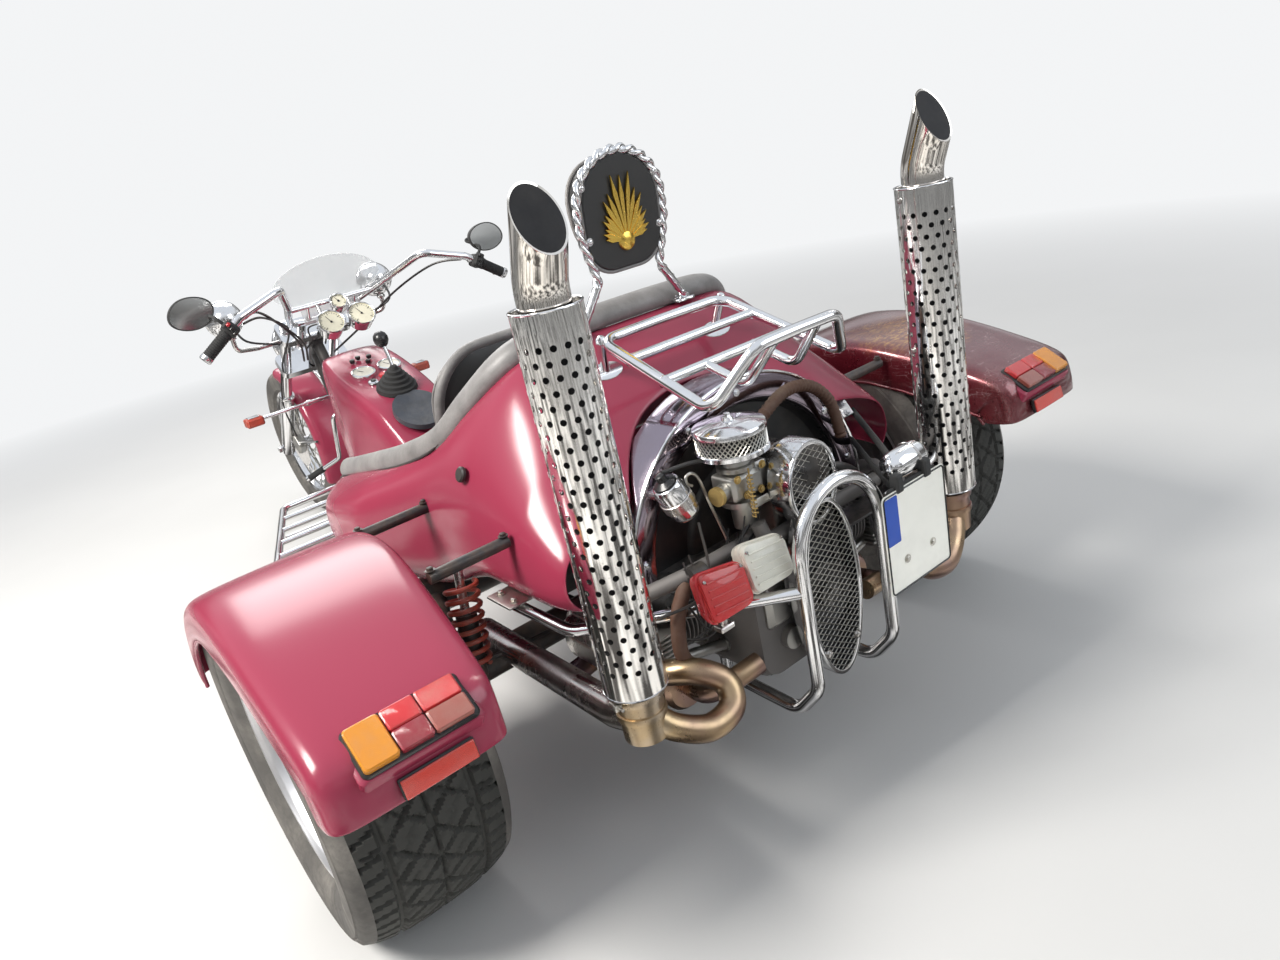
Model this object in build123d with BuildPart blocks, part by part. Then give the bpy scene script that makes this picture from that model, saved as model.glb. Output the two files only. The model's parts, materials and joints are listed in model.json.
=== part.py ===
from build123d import *
import os
from math import cos, radians, sin, sqrt

# Motorized trike with a rear air-cooled flat-four car engine.
# Millimetres, +Z up, the trike faces -Y, its left is +X.
# Places are given from the rear axle: AXLE_Y is the axle's place in the part's own frame,
# whose origin is the middle of the trike on the ground.
AXLE_Y = 1081.0

# Rear wheels
REAR_TYRE_R = 338.0
REAR_TYRE_W = 300.0
REAR_WHEEL_X = 750.0
REAR_BEAD_R = 190.5
REAR_RIM_W = 254.0
HUB_R = 62.0

# Front wheel and fork
WHEELBASE = 2434.0
FRONT_TYRE_R = 318.0
FRONT_TYRE_W = 116.0
FRONT_BEAD_R = 216.0
FRONT_RIM_W = 78.0
FRONT_AXLE_R = 10.0
RUN_FIT = 0.05
REAR_STUB_R = 22.0
STEM_R = 14.0
SEAT_FIT = 0.3
LIP_T = 6.0
LIP_H = 10.0
RAKE = 45.0
FORK_OFFSET = 45.0
FORK_HALF = 96.0
FORK_TUBE_R = 20.0
FORK_SLIDER_R = 27.0

# Body
TUB_HALF = 430.0
TUB_WALL = 8.0
SEAT_GAP = 1.0

# Fenders
FENDER_OUT = 914.0
FENDER_IN = 583.0
FENDER_WALL = 5.0

# Exhaust
STACK_X = 421.0
STACK_Y = 480.0
SLEEVE_R = 52.0
SLEEVE_WALL = 2.0
SLEEVE_BOTTOM = 460.0
SLEEVE_TOP = 1062.0
PIPE_R = 38.0
PIPE_WALL = 2.5
HOLE_R = 6.0
HOLES_ROUND = 14
HOLE_ROWS = 14

# Engine
CRANK_Z = 420.0
PULLEY_Y = 505.0
SHROUD_R = 298.0
SHROUD_Z = 513.3
SHROUD_Y = 352.0
GENERATOR_Z = 660.0

# Tubes
RACK_TUBE_R = 9.5
HOOP_TUBE_R = 12.5
BAR_TUBE_R = 12.5
FRAME_TUBE_R = 24.0
BOARD_TUBE_R = 11.0

AXLE_Z = REAR_TYRE_R
FRONT_Z = FRONT_TYRE_R

os.makedirs("parts", exist_ok=True)
TO_FRAME = Location((0, AXLE_Y, 0))


def bent_tube(points, radius, bend=60.0, mode=Mode.ADD):
    """Sweep a round bar along straight runs joined by bends into the piece that is open."""
    with BuildLine(mode=Mode.PRIVATE) as route:
        if len(points) == 2:
            Line(*points)
        else:
            FilletPolyline(*points, radius=bend)
    with BuildSketch(Plane(origin=route.line @ 0, z_dir=route.line % 0), mode=Mode.PRIVATE) as section:
        Circle(radius)
    sweep(section.sketch, path=route.line, mode=mode)


def both_sides(points):
    """Mirror a list of points to the right-hand side."""
    return [(-x, y, z) for x, y, z in points]


def rod(start, end, radius, mode=Mode.ADD):
    """Add a straight round bar between two points to the piece that is open."""
    along = Vector(*end) - Vector(*start)
    with BuildSketch(Plane(origin=start, z_dir=along), mode=Mode.PRIVATE) as section:
        Circle(radius)
    extrude(section.sketch, amount=along.length, mode=mode)


def save(part, label):
    """Name a finished piece, put it in the trike's frame and write it."""
    part.label = label
    placed = part.moved(TO_FRAME)
    placed.label = label
    export_step(placed, f"parts/{label}.step")


# Steering axis: through a point behind the front axle, leaning back by the rake
RAKE_UP = Vector(0, sin(radians(RAKE)), cos(radians(RAKE)))
RAKE_BACK = Vector(0, cos(radians(RAKE)), -sin(radians(RAKE)))
FRONT_AXLE = Vector(0, -WHEELBASE, FRONT_Z)
AXIS_FOOT = FRONT_AXLE + RAKE_BACK * FORK_OFFSET
LOWER_CLAMP = 560.0
UPPER_CLAMP = 740.0


def on_axis(along, side=0.0, forward=0.0):
    """A point in the fork's own frame: along the axis, to the left and ahead of it."""
    point = AXIS_FOOT + RAKE_UP * along - RAKE_BACK * forward
    return (side, point.Y, point.Z)


FORK_PLANE = Plane(origin=AXIS_FOOT, x_dir=(1, 0, 0), z_dir=RAKE_UP)

# Rear tyres and rims


def tyre_section(plane, bead, seat, outer, half, shoulder, bulge):
    """Section of a tyre on a plane whose X is the radius and whose Y is the width."""
    with BuildSketch(plane, mode=Mode.PRIVATE) as section:
        with BuildLine():
            Polyline(
                (bead, seat),
                (bead + LIP_H + 1, seat),
                (bead + (outer - bead) * 0.35, half + bulge),
                (outer - shoulder, half),
                (outer, half - shoulder),
                (outer, -half + shoulder),
                (outer - shoulder, -half),
                (bead + (outer - bead) * 0.35, -half - bulge),
                (bead + LIP_H + 1, -seat),
                (bead, -seat),
                close=True,
            )
        make_face()
    return section.sketch


def rim_section(plane, bead, half, well):
    """Section of a rim: flanges that hold the tyre's beads, and a well between them."""
    with BuildSketch(plane, mode=Mode.PRIVATE) as section:
        with BuildLine():
            Polyline(
                (bead - SEAT_FIT, half - LIP_T),
                (bead + LIP_H, half - LIP_T),
                (bead + LIP_H, half),
                (bead - 8, half),
                (bead - 14, half * 0.76),
                (bead - well, half * 0.16),
                (bead - well, -half * 0.24),
                (bead - 14, -half * 0.76),
                (bead - 8, -half),
                (bead + LIP_H, -half),
                (bead + LIP_H, -half + LIP_T),
                (bead - SEAT_FIT, -half + LIP_T),
                close=True,
            )
        make_face()
    return section.sketch


for side, sign in (("left", 1), ("right", -1)):
    centre = Plane(origin=(sign * REAR_WHEEL_X, 0, AXLE_Z), x_dir=(0, 0, 1), z_dir=(0, -1, 0))
    axle_line = Axis((0, 0, AXLE_Z), (1, 0, 0))
    with BuildPart() as rear_tyre:
        rear_seat = REAR_RIM_W / 2 - LIP_T - SEAT_FIT
        revolve(tyre_section(centre, REAR_BEAD_R, rear_seat, REAR_TYRE_R, REAR_TYRE_W / 2 - 4, 26, 4), axis=axle_line)
    save(rear_tyre.part, f"rear_tyre_{side}")

    face_x = sign * (REAR_WHEEL_X + 20)
    with BuildPart() as rear_rim:
        revolve(rim_section(centre, REAR_BEAD_R, REAR_RIM_W / 2, 30), axis=axle_line)
        with BuildSketch(Plane(origin=(face_x, 0, AXLE_Z), z_dir=(sign, 0, 0))):
            Circle(REAR_BEAD_R - 20)
            with PolarLocations(112, 8):
                Circle(26, mode=Mode.SUBTRACT)
        extrude(amount=-12)
        with BuildSketch(Plane(origin=(face_x, 0, AXLE_Z), z_dir=(sign, 0, 0))):
            Circle(HUB_R)
        extrude(amount=34)
        with BuildSketch(Plane(origin=(face_x - sign * 12, 0, AXLE_Z), z_dir=(sign, 0, 0))):
            Circle(REAR_STUB_R + RUN_FIT)
        extrude(amount=38, mode=Mode.SUBTRACT)
    save(rear_rim.part, f"rear_rim_{side}")

# Front wheel
front_axle_line = Axis((0, -WHEELBASE, FRONT_Z), (1, 0, 0))
front_centre = Plane(origin=(0, -WHEELBASE, FRONT_Z), x_dir=(0, 0, 1), z_dir=(0, -1, 0))
with BuildPart() as front_tyre:
    front_seat = FRONT_RIM_W / 2 - LIP_T - SEAT_FIT
    revolve(
        tyre_section(front_centre, FRONT_BEAD_R, front_seat, FRONT_TYRE_R, FRONT_TYRE_W / 2 - 3, 34, 3),
        axis=front_axle_line,
    )
save(front_tyre.part, "front_tyre")

SPOKES = 20
SPOKE_R = 2.4
with BuildPart() as front_rim:
    revolve(rim_section(front_centre, FRONT_BEAD_R, FRONT_RIM_W / 2, 18), axis=front_axle_line)
    with BuildSketch(Plane(origin=(-42, -WHEELBASE, FRONT_Z), z_dir=(1, 0, 0))):
        Circle(34)
        Circle(FRONT_AXLE_R + RUN_FIT, mode=Mode.SUBTRACT)
    extrude(amount=84)
    for count in range(SPOKES):
        side_x = 30 if count % 2 else -30
        turn = radians(360 / SPOKES * count)
        lean = radians(14 if count % 4 < 2 else -14)
        rod(
            (side_x, -WHEELBASE + 28 * cos(turn), FRONT_Z + 28 * sin(turn)),
            (
                side_x * 0.2,
                -WHEELBASE + (FRONT_BEAD_R - 10) * cos(turn + lean),
                FRONT_Z + (FRONT_BEAD_R - 10) * sin(turn + lean),
            ),
            SPOKE_R,
        )
save(front_rim.part, "front_rim")

CLAMP_FRONT = 76.0
CLAMP_BACK = 22.0
CROSSBAR_Y = -1600.0
CROSSBAR_Z = 941.0
CROSSBAR_R = 8.0

# Fork, axle and clamps
with BuildPart() as fork:
    for x in (-FORK_HALF, FORK_HALF):
        with BuildSketch(FORK_PLANE):
            with Locations((x, -FORK_OFFSET)):
                Circle(FORK_TUBE_R)
        extrude(amount=UPPER_CLAMP + 40)
        with BuildSketch(FORK_PLANE.offset(-25)):
            with Locations((x, -FORK_OFFSET)):
                Circle(FORK_SLIDER_R)
        extrude(amount=390)
    for along in (LOWER_CLAMP, UPPER_CLAMP):
        with BuildSketch(FORK_PLANE.offset(along)):
            with Locations((0, (CLAMP_BACK - CLAMP_FRONT) / 2)):
                RectangleRounded(2 * FORK_HALF + 70, CLAMP_FRONT + CLAMP_BACK, 20)
        extrude(amount=26)
    with BuildSketch(FORK_PLANE.offset(LOWER_CLAMP + 20)):
        Circle(STEM_R)
    extrude(amount=UPPER_CLAMP - LOWER_CLAMP)
    rod((-FORK_HALF - 34, -WHEELBASE, FRONT_Z), (FORK_HALF + 34, -WHEELBASE, FRONT_Z), FRONT_AXLE_R)
save(fork.part, "fork")

# Handlebar: clamps on the upper fork clamp, swept back and up to the grips
BAR_HALF = [
    on_axis(UPPER_CLAMP + 70, 40, 10),
    on_axis(UPPER_CLAMP + 80, 95, 10),
    (165, -1540, 960),
    (236, -1310, 1038),
    (378, -1288, 992),
    (500, -1290, 908),
]
GRIP_START = Vector(*BAR_HALF[4])
GRIP_END = Vector(*BAR_HALF[5])
with BuildPart() as handlebar:
    bent_tube(BAR_HALF, BAR_TUBE_R, 40)
    bent_tube(both_sides(BAR_HALF), BAR_TUBE_R, 40)
    rod(BAR_HALF[0], both_sides(BAR_HALF)[0], BAR_TUBE_R)
    rod((-150, CROSSBAR_Y, CROSSBAR_Z), (150, CROSSBAR_Y, CROSSBAR_Z), CROSSBAR_R)
    for x in (-52, 52):
        rod(on_axis(UPPER_CLAMP + 26, x, 10), on_axis(UPPER_CLAMP + 76, x, 10), 17)
save(handlebar.part, "handlebar")

with BuildPart() as grips:
    for sign in (1, -1):
        start = Vector(sign * GRIP_START.X, GRIP_START.Y, GRIP_START.Z)
        end = Vector(sign * GRIP_END.X, GRIP_END.Y, GRIP_END.Z)
        along = (end - start).normalized()
        inner = start + along * 62
        with BuildSketch(Plane(origin=inner, z_dir=along)):
            Circle(17)
            Circle(BAR_TUBE_R + 0.3, mode=Mode.SUBTRACT)
        extrude(amount=(end - inner).length - 2)
        with BuildSketch(Plane(origin=end + along * 1, z_dir=along)):
            Circle(18)
        extrude(amount=8)
        with BuildSketch(Plane(origin=end - along * 1.5, z_dir=along)):
            Circle(18)
            Circle(BAR_TUBE_R + 0.3, mode=Mode.SUBTRACT)
        extrude(amount=3)
save(grips.part, "grips")

# Switch boxes and levers beside the grips
with BuildPart() as controls:
    for sign in (1, -1):
        start = Vector(sign * GRIP_START.X, GRIP_START.Y, GRIP_START.Z)
        end = Vector(sign * GRIP_END.X, GRIP_END.Y, GRIP_END.Z)
        along = (end - start).normalized()
        box_start = start + along * 26
        with BuildSketch(Plane(origin=box_start, x_dir=(0, 1, 0), z_dir=along)):
            RectangleRounded(46, 42, 10)
            Circle(BAR_TUBE_R + 0.3, mode=Mode.SUBTRACT)
        extrude(amount=34)
        lever_a = box_start + along * 10 + Vector(0, -20, 0)
        lever_b = end + Vector(sign * -6, -52, 0)
        knee = start + along * 60 + Vector(0, -46, 0)
        rod(lever_a, knee, 5)
        rod(knee, lever_b, 5)
save(controls.part, "controls")

with BuildPart() as mirrors:
    for sign in (1, -1):
        start = Vector(sign * GRIP_START.X, GRIP_START.Y, GRIP_START.Z)
        end = Vector(sign * GRIP_END.X, GRIP_END.Y, GRIP_END.Z)
        along = (end - start).normalized()
        upward = Vector(0, 1, 0).cross(along).normalized() * -sign
        foot = start + along * 43 + upward * (21 + SEAT_FIT)
        head = Vector(sign * 492, -1322, 1034)
        rod(foot, foot + upward * 24, 5)
        rod(foot + upward * 22, head + Vector(0, -12, -6), 4.5)
        with BuildSketch(Plane(origin=head + Vector(0, -20, 0), x_dir=(1, 0, 0), z_dir=(0, 1, 0))):
            Ellipse(62, 46)
        extrude(amount=20)
save(mirrors.part, "mirrors")

# Lamps on the fork
HEADLIGHT_AT = (0, -2130, 770)
with BuildPart() as headlight:
    with BuildSketch(Plane(origin=HEADLIGHT_AT, x_dir=(1, 0, 0), z_dir=(0, -1, 0))):
        Circle(84)
    extrude(amount=52)
    with BuildSketch(Plane(origin=HEADLIGHT_AT, x_dir=(1, 0, 0), z_dir=(0, 1, 0))):
        Circle(84)
    extrude(amount=42, taper=38)
    rod(on_axis(573, 0, CLAMP_FRONT + SEAT_FIT), on_axis(573, 0, 140), 8)
save(headlight.part, "headlight")

with BuildPart() as spot_lamps:
    for sign in (1, -1):
        with Locations((sign * 285, -1880, 945)):
            Sphere(58)
        with BuildSketch(Plane(origin=(sign * 285, -1880, 945), z_dir=(0, -1, 0))):
            Circle(60)
        extrude(amount=40)
        bent_tube(
            [
                (sign * 285, -1880, 900),
                (sign * 285, -1880, 830),
                on_axis(700, sign * 200, FORK_OFFSET),
                on_axis(700, sign * (FORK_HALF + FORK_TUBE_R + SEAT_FIT), FORK_OFFSET),
            ],
            8,
            24,
        )
save(spot_lamps.part, "spot_lamps")

DIAL_OUT = Vector(0, 0.769, 0.639)
with BuildPart() as instruments:
    for x, y, z, radius, depth in ((-54, -1500, 884, 44, 62), (54, -1500, 884, 44, 62), (0, -1530, 940, 28, 44)):
        with BuildSketch(Plane(origin=(x, y, z), x_dir=(1, 0, 0), z_dir=DIAL_OUT)):
            Circle(radius)
        extrude(amount=-depth)
        back = Vector(x, y, z) - DIAL_OUT * (depth - 1)
        toward = (back - Vector(x, CROSSBAR_Y, CROSSBAR_Z)).normalized()
        rod(Vector(x, CROSSBAR_Y, CROSSBAR_Z) + toward * (CROSSBAR_R + SEAT_FIT), back, 6)
save(instruments.part, "instruments")

SCREEN_UP = Vector(0, 0.33, 0.944)
SCREEN_OUT = Vector(0, -0.944, 0.33)
with BuildPart() as windscreen:
    with BuildSketch(Plane(origin=(0, -1630.2, 880), x_dir=(1, 0, 0), z_dir=SCREEN_OUT)):
        with BuildLine():
            Polyline((-175, 100), (-108, 64), (-100, 0), (100, 0), (108, 64), (175, 100), (192, 122))
            ThreePointArc((192, 122), (0, 222), (-192, 122))
            Line((-192, 122), (-175, 100))
        make_face()
    extrude(amount=3)
save(windscreen.part, "windscreen")

# Front fender, carried on the fork between the legs
with BuildPart() as front_fender:
    fender_plane = Plane(origin=(0, -WHEELBASE, FRONT_Z), x_dir=(0, 1, 0), z_dir=(1, 0, 0))
    outer_r = FRONT_TYRE_R + 24
    with BuildSketch(fender_plane.offset(-FORK_HALF + FORK_SLIDER_R + SEAT_FIT)):
        with BuildLine():
            a0, a1 = -24, 84
            CenterArc((0, 0), outer_r, a0, a1 - a0)
            CenterArc((0, 0), outer_r - 4, a0, a1 - a0)
            for angle in (a0, a1):
                Line(
                    ((outer_r - 4) * cos(radians(angle)), (outer_r - 4) * sin(radians(angle))),
                    (outer_r * cos(radians(angle)), outer_r * sin(radians(angle))),
                )
        make_face()
    extrude(amount=2 * (FORK_HALF - FORK_SLIDER_R - SEAT_FIT))
save(front_fender.part, "front_fender")

# Console in front of the driver
CONSOLE_HALF = 150.0
with BuildPart() as console:
    with BuildSketch(Plane.YZ.offset(-CONSOLE_HALF)):
        with BuildLine():
            Polyline(
                (-1720, 540),
                (-1650, 742),
                (-1570, 768),
                (-1180, 640),
                (-1010, 480),
                (-1010, 330),
                (-1560, 330),
                close=True,
            )
        make_face()
    extrude(amount=2 * CONSOLE_HALF)
    with BuildSketch(Plane.XY.offset(300)):
        with BuildLine():
            Polyline((-60, -1760), (60, -1760), (150, -1440), (110, -980), (-110, -980), (-150, -1440), close=True)
        make_face()
    extrude(amount=500, mode=Mode.INTERSECT)
    dial_plane = Plane(origin=(0, -1375, 704), x_dir=(1, 0, 0), z_dir=(0, 128, 390))
    with BuildSketch(dial_plane):
        with Locations((-46, 0), (46, 0)):
            Circle(36)
    extrude(amount=10)
save(console.part, "console")

with BuildPart() as gear_lever:
    boot_plane = Plane(origin=(0, -1245, 662), x_dir=(1, 0, 0), z_dir=(0, 128, 390))
    with BuildSketch(boot_plane):
        Circle(62)
    extrude(amount=58, taper=34)
    rod((0, -1236, 690), (0, -1258, 800), 7)
    with Locations((0, -1258, 812)):
        Sphere(24)
save(gear_lever.part, "gear_lever")

# Body tub: a moulded shell, open below, with a seat well let into it
TUB_FRONT = -790.0
TUB_REAR = 345.0
TUB_SIDE = [
    (-760, 430),
    (TUB_FRONT, 520),
    (-700, 600),
    (-600, 622),
    (-110, 776),
    (40, 918),
    (110, 918),
    (330, 690),
    (TUB_REAR, 600),
    (TUB_REAR, 530),
    (60, 530),
    (-60, 430),
]
TUB_CROSS = [(430, 400), (445, 560), (435, 700), (390, 790), (265, 922), (200, 940)]
WELL_HALF = 350.0
WELL_BACK = [(-40, 640), (48, 905)]
WELL_SIDE = [(-740, 450), (-740, 800), (-120, 1000), (80, 1000), (48, 905), (-40, 640), (-330, 640), (-360, 450)]


def tub_form(inset, skirt):
    """The tub's form, shrunk by a wall and carried down below its edge by a skirt."""
    with BuildPart(mode=Mode.PRIVATE) as form:
        with BuildSketch(Plane.YZ.offset(-TUB_HALF - 20), mode=Mode.PRIVATE) as side:
            with BuildLine(mode=Mode.PRIVATE) as side_line:
                Polyline(*TUB_SIDE, close=True)
            make_face(side_line.edges())
            if inset:
                offset(amount=-inset, kind=Kind.INTERSECTION)
            if skirt:
                with Locations(((TUB_FRONT - 100 + TUB_REAR) / 2, 430)):
                    Rectangle(TUB_REAR - TUB_FRONT + 60, 90 - inset)
        extrude(side.sketch, amount=2 * TUB_HALF + 40)
        with BuildSketch(Plane.XZ.offset(900), mode=Mode.PRIVATE) as cross:
            with BuildLine(mode=Mode.PRIVATE) as cross_line:
                Polyline(*TUB_CROSS, *[(-x, z) for x, z in TUB_CROSS[::-1]], close=True)
            make_face(cross_line.edges())
            if inset:
                offset(amount=-inset, kind=Kind.INTERSECTION)
            if skirt:
                with Locations((0, 400)):
                    Rectangle(2 * (TUB_HALF - inset), 60)
        extrude(cross.sketch, amount=-1800, mode=Mode.INTERSECT)
        with BuildSketch(Plane.XY.offset(300), mode=Mode.PRIVATE) as plan:
            with Locations((0, (TUB_FRONT + TUB_REAR) / 2)):
                RectangleRounded(2 * (TUB_HALF + 10 - inset), TUB_REAR - TUB_FRONT - 2 * inset, 150 - inset)
        extrude(plan.sketch, amount=800, mode=Mode.INTERSECT)
    return form.part


TUB_OUTER = tub_form(0, False)
TUB_INNER = tub_form(TUB_WALL, True)
with BuildPart() as well_walls:
    with BuildSketch(Plane.YZ.offset(-WELL_HALF - TUB_WALL)):
        with BuildLine():
            Polyline(*WELL_SIDE, close=True)
        make_face()
        offset(amount=TUB_WALL, kind=Kind.INTERSECTION)
    extrude(amount=2 * (WELL_HALF + TUB_WALL))
    add(TUB_OUTER, mode=Mode.INTERSECT)

with BuildPart() as body_tub:
    add(TUB_OUTER)
    add(TUB_INNER, mode=Mode.SUBTRACT)
    add(well_walls.part)
    with BuildSketch(Plane.YZ.offset(-WELL_HALF)):
        with BuildLine():
            Polyline(*WELL_SIDE, close=True)
        make_face()
    extrude(amount=2 * WELL_HALF, mode=Mode.SUBTRACT)
    with BuildSketch(Plane.XZ.offset(-230)):
        with BuildLine():
            Polyline((-SHROUD_R - 8, 545), (-SHROUD_R - 8, 400), (SHROUD_R + 8, 400), (SHROUD_R + 8, 545))
            ThreePointArc((SHROUD_R + 8, 545), (0, 824), (-SHROUD_R - 8, 545))
        make_face()
    extrude(amount=-200, mode=Mode.SUBTRACT)
save(body_tub.part, "body_tub")

with BuildPart() as driver_seat:
    with BuildSketch(Plane.XY.offset(450.3)):
        with Locations((0, -560)):
            RectangleRounded(500, 350, 60)
    extrude(amount=110)
    with BuildSketch(Plane(origin=(0, -388, 560.6), x_dir=(1, 0, 0), z_dir=(0, -1, 0.18))):
        with Locations((0, 145)):
            RectangleRounded(480, 290, 110)
    extrude(amount=70)
save(driver_seat.part, "driver_seat")

WELL_UP = Vector(0, WELL_BACK[1][0] - WELL_BACK[0][0], WELL_BACK[1][1] - WELL_BACK[0][1]).normalized()
WELL_OUT = Vector(0, -WELL_UP.Z, WELL_UP.Y)
with BuildPart() as passenger_seat:
    with BuildSketch(Plane.XY.offset(640 + SEAT_FIT)):
        with Locations((0, -190)):
            RectangleRounded(660, 260, 60)
    extrude(amount=80)
    foot = Vector(0, WELL_BACK[0][0], WELL_BACK[0][1]) + WELL_OUT * SEAT_FIT
    with BuildSketch(Plane(origin=foot, x_dir=(1, 0, 0), z_dir=WELL_OUT)):
        with Locations((0, 182)):
            RectangleRounded(560, 186, 60)
    extrude(amount=44)
save(passenger_seat.part, "passenger_seat")

# Fenders over the rear wheels
FENDER_OUTLINE = [
    (-410, 440),
    (-395, 560),
    (-260, 668),
    (-80, 712),
    (80, 712),
    (330, 652),
    (500, 590),
    (525, 525),
    (522, 505),
]
for side, sign in (("left", 1), ("right", -1)):
    with BuildPart() as fender:
        with BuildSketch(Plane.YZ.offset(sign * FENDER_OUT)) as outline:
            with BuildLine():
                Polyline(*FENDER_OUTLINE, close=True)
            make_face()
        extrude(amount=-sign * (FENDER_OUT - FENDER_IN))
        with BuildSketch(Plane.YZ.offset(sign * (FENDER_OUT - FENDER_WALL))) as inside:
            with BuildLine():
                Polyline(*[(y * 0.985, z - 7) for y, z in FENDER_OUTLINE], (520, 300), (-410, 300), close=True)
            make_face()
        extrude(amount=-sign * (FENDER_OUT - FENDER_IN - 2 * FENDER_WALL), mode=Mode.SUBTRACT)
        with BuildSketch(Plane.YZ.offset(sign * (FENDER_OUT + 5))):
            with BuildLine():
                Polyline((-500, 300), (-350, 430), (-300, 560), (-170, 632), (150, 632), (330, 575), (480, 500), (600, 300), close=True)
            make_face()
        extrude(amount=-sign * (FENDER_OUT - FENDER_IN + 10), mode=Mode.SUBTRACT)
        for y, z in ((-120, 650), (200, 650)):
            rod((sign * (FENDER_IN + 3), y, z), (sign * (TUB_HALF + 10 + SEAT_FIT), y, z), 11)
    save(fender.part, f"fender_{side}")

with BuildPart() as tail_lamps:
    for sign in (1, -1):
        with BuildSketch(Plane(origin=(sign * 752, 418, 620.2), x_dir=(1, 0, 0), z_dir=(0, 62, 170))):
            with Locations((0, 0)):
                RectangleRounded(230, 84, 10)
        extrude(amount=26)
save(tail_lamps.part, "tail_lamps")

GEARBOX_R = 90.0
RAIL_Z = 330 - 50 - FRAME_TUBE_R - SEAT_FIT
# Rear axle, trailing arms and shock absorbers
with BuildPart() as rear_axle:
    for sign in (1, -1):
        rod((sign * (GEARBOX_R + SEAT_FIT), 0, AXLE_Z), (sign * 640, 0, AXLE_Z), 34)
        rod((sign * 640, 0, AXLE_Z), (sign * 752, 0, AXLE_Z), 118)
        rod((sign * 752, 0, AXLE_Z), (sign * 792, 0, AXLE_Z), REAR_STUB_R)
        rod((sign * 540, 10, AXLE_Z), (sign * 380, -420, 330), 22)
        rod((sign * 510, 60, AXLE_Z - 10), (sign * 505, 30, 640), 24)
        rod((sign * 560, 60, AXLE_Z), (sign * 420, 60, AXLE_Z - 10), 18)
    rod((-430, -420, 330), (430, -420, 330), 50)
save(rear_axle.part, "rear_axle")

TOW_LUG_T = 10.0
TOW_HOLE_R = 9.0
TOW_Y = -1706.0
TOW_Z = 206.0
BOARD_SLATS = (-1540, -1240, -1040)
# Frame: rails, cross members, down tube and steering head
HEAD_LOW = LOWER_CLAMP + 32
HEAD_HIGH = UPPER_CLAMP - 6
with BuildPart() as chassis:
    for sign in (1, -1):
        bent_tube(
            [(sign * 70, -1700, RAIL_Z), (sign * 150, -1500, RAIL_Z), (sign * 150, 100, RAIL_Z)],
            FRAME_TUBE_R,
            120,
        )
        for y in (-740, -500):
            rod((sign * 150, y, RAIL_Z), (sign * 150, y, 430 - SEAT_FIT), 16)
        for y in BOARD_SLATS:
            bent_tube([(sign * 150, y, RAIL_Z), (sign * 215, y, RAIL_Z), (sign * 215, y, 330 - BOARD_TUBE_R - SEAT_FIT)], 9, 20)
    for y in (-1400, -1100):
        rod((-150, y, RAIL_Z), (150, y, RAIL_Z), 18)
        rod((0, y, RAIL_Z), (0, y, 330 - SEAT_FIT), 16)
    with Locations((0, -270.3 - 6, 300)):
        Box(320, 12, 120)
    bent_tube([on_axis(HEAD_LOW + 58), (0, -1880, 520), (0, -1690, RAIL_Z), (0, -1480, RAIL_Z)], FRAME_TUBE_R, 90)
    rod((-80, -1690, RAIL_Z), (80, -1690, RAIL_Z), 18)
    with BuildSketch(Plane.YZ.offset(-TOW_LUG_T / 2)):
        with Locations((TOW_Y, TOW_Z + 16)):
            RectangleRounded(46, 66, 14)
        with Locations((TOW_Y, TOW_Z)):
            Circle(TOW_HOLE_R, mode=Mode.SUBTRACT)
    extrude(amount=TOW_LUG_T)
    bent_tube([on_axis(HEAD_HIGH - 30), (0, -1800, 560), (0, -1790, 440)], 20, 60)
    rod((0, -1790, 450), (0, -1850, 450), 18)
    with BuildSketch(FORK_PLANE.offset(HEAD_LOW)):
        Circle(STEM_R + 12)
    extrude(amount=HEAD_HIGH - HEAD_LOW)
    with BuildSketch(FORK_PLANE.offset(HEAD_LOW)):
        Circle(STEM_R + RUN_FIT)
    extrude(amount=HEAD_HIGH - HEAD_LOW, mode=Mode.SUBTRACT)
save(chassis.part, "frame")

with BuildPart() as footboards:
    for sign in (1, -1):
        for y, reach in zip(BOARD_SLATS, (395, 480, 545)):
            rod((sign * 174, y, 330), (sign * reach, y, 330), BOARD_TUBE_R)
        rod((sign * 395, -1540, 330), (sign * 600, -960, 330), BOARD_TUBE_R)
        rod((sign * 174, -1560, 330), (sign * 174, -900, 330), BOARD_TUBE_R)
save(footboards.part, "footboards")

with BuildPart() as indicators:
    for sign in (1, -1):
        rod((sign * (20 + SEAT_FIT), -1810, 592), (sign * 330, -1810, 592), 7)
        with Locations((sign * 340, -1810, 592)):
            Box(70, 26, 44)
save(indicators.part, "front_indicators")

# Engine
with BuildPart() as engine_block:
    with BuildSketch(Plane.XZ.offset(-118)):
        with Locations((0, 395)):
            RectangleRounded(290, 236, 50)
    extrude(amount=-342)
    with BuildSketch(Plane.XZ.offset(260)):
        with Locations((0, AXLE_Z)):
            Circle(GEARBOX_R)
    extrude(amount=-380)
save(engine_block.part, "engine_block")

HEAD_Z = 412.0
HEAD_H = 80.0
with BuildPart() as cylinders:
    for sign in (1, -1):
        for y in (205, 335):
            rod((sign * 145.3, y, 430), (sign * 265, y, 430), 45)
            for fin in range(5):
                rod((sign * (165 + fin * 20), y, 430), (sign * (169 + fin * 20), y, 430), 58)
        with Locations((sign * 296, 270, HEAD_Z)):
            Box(70, 270, HEAD_H)
        with BuildSketch(Plane(origin=(sign * 331, 270, HEAD_Z - 8), x_dir=(0, 1, 0), z_dir=(sign, 0, 0))):
            RectangleRounded(262, 88, 30)
        extrude(amount=32)
save(cylinders.part, "cylinders")

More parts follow.
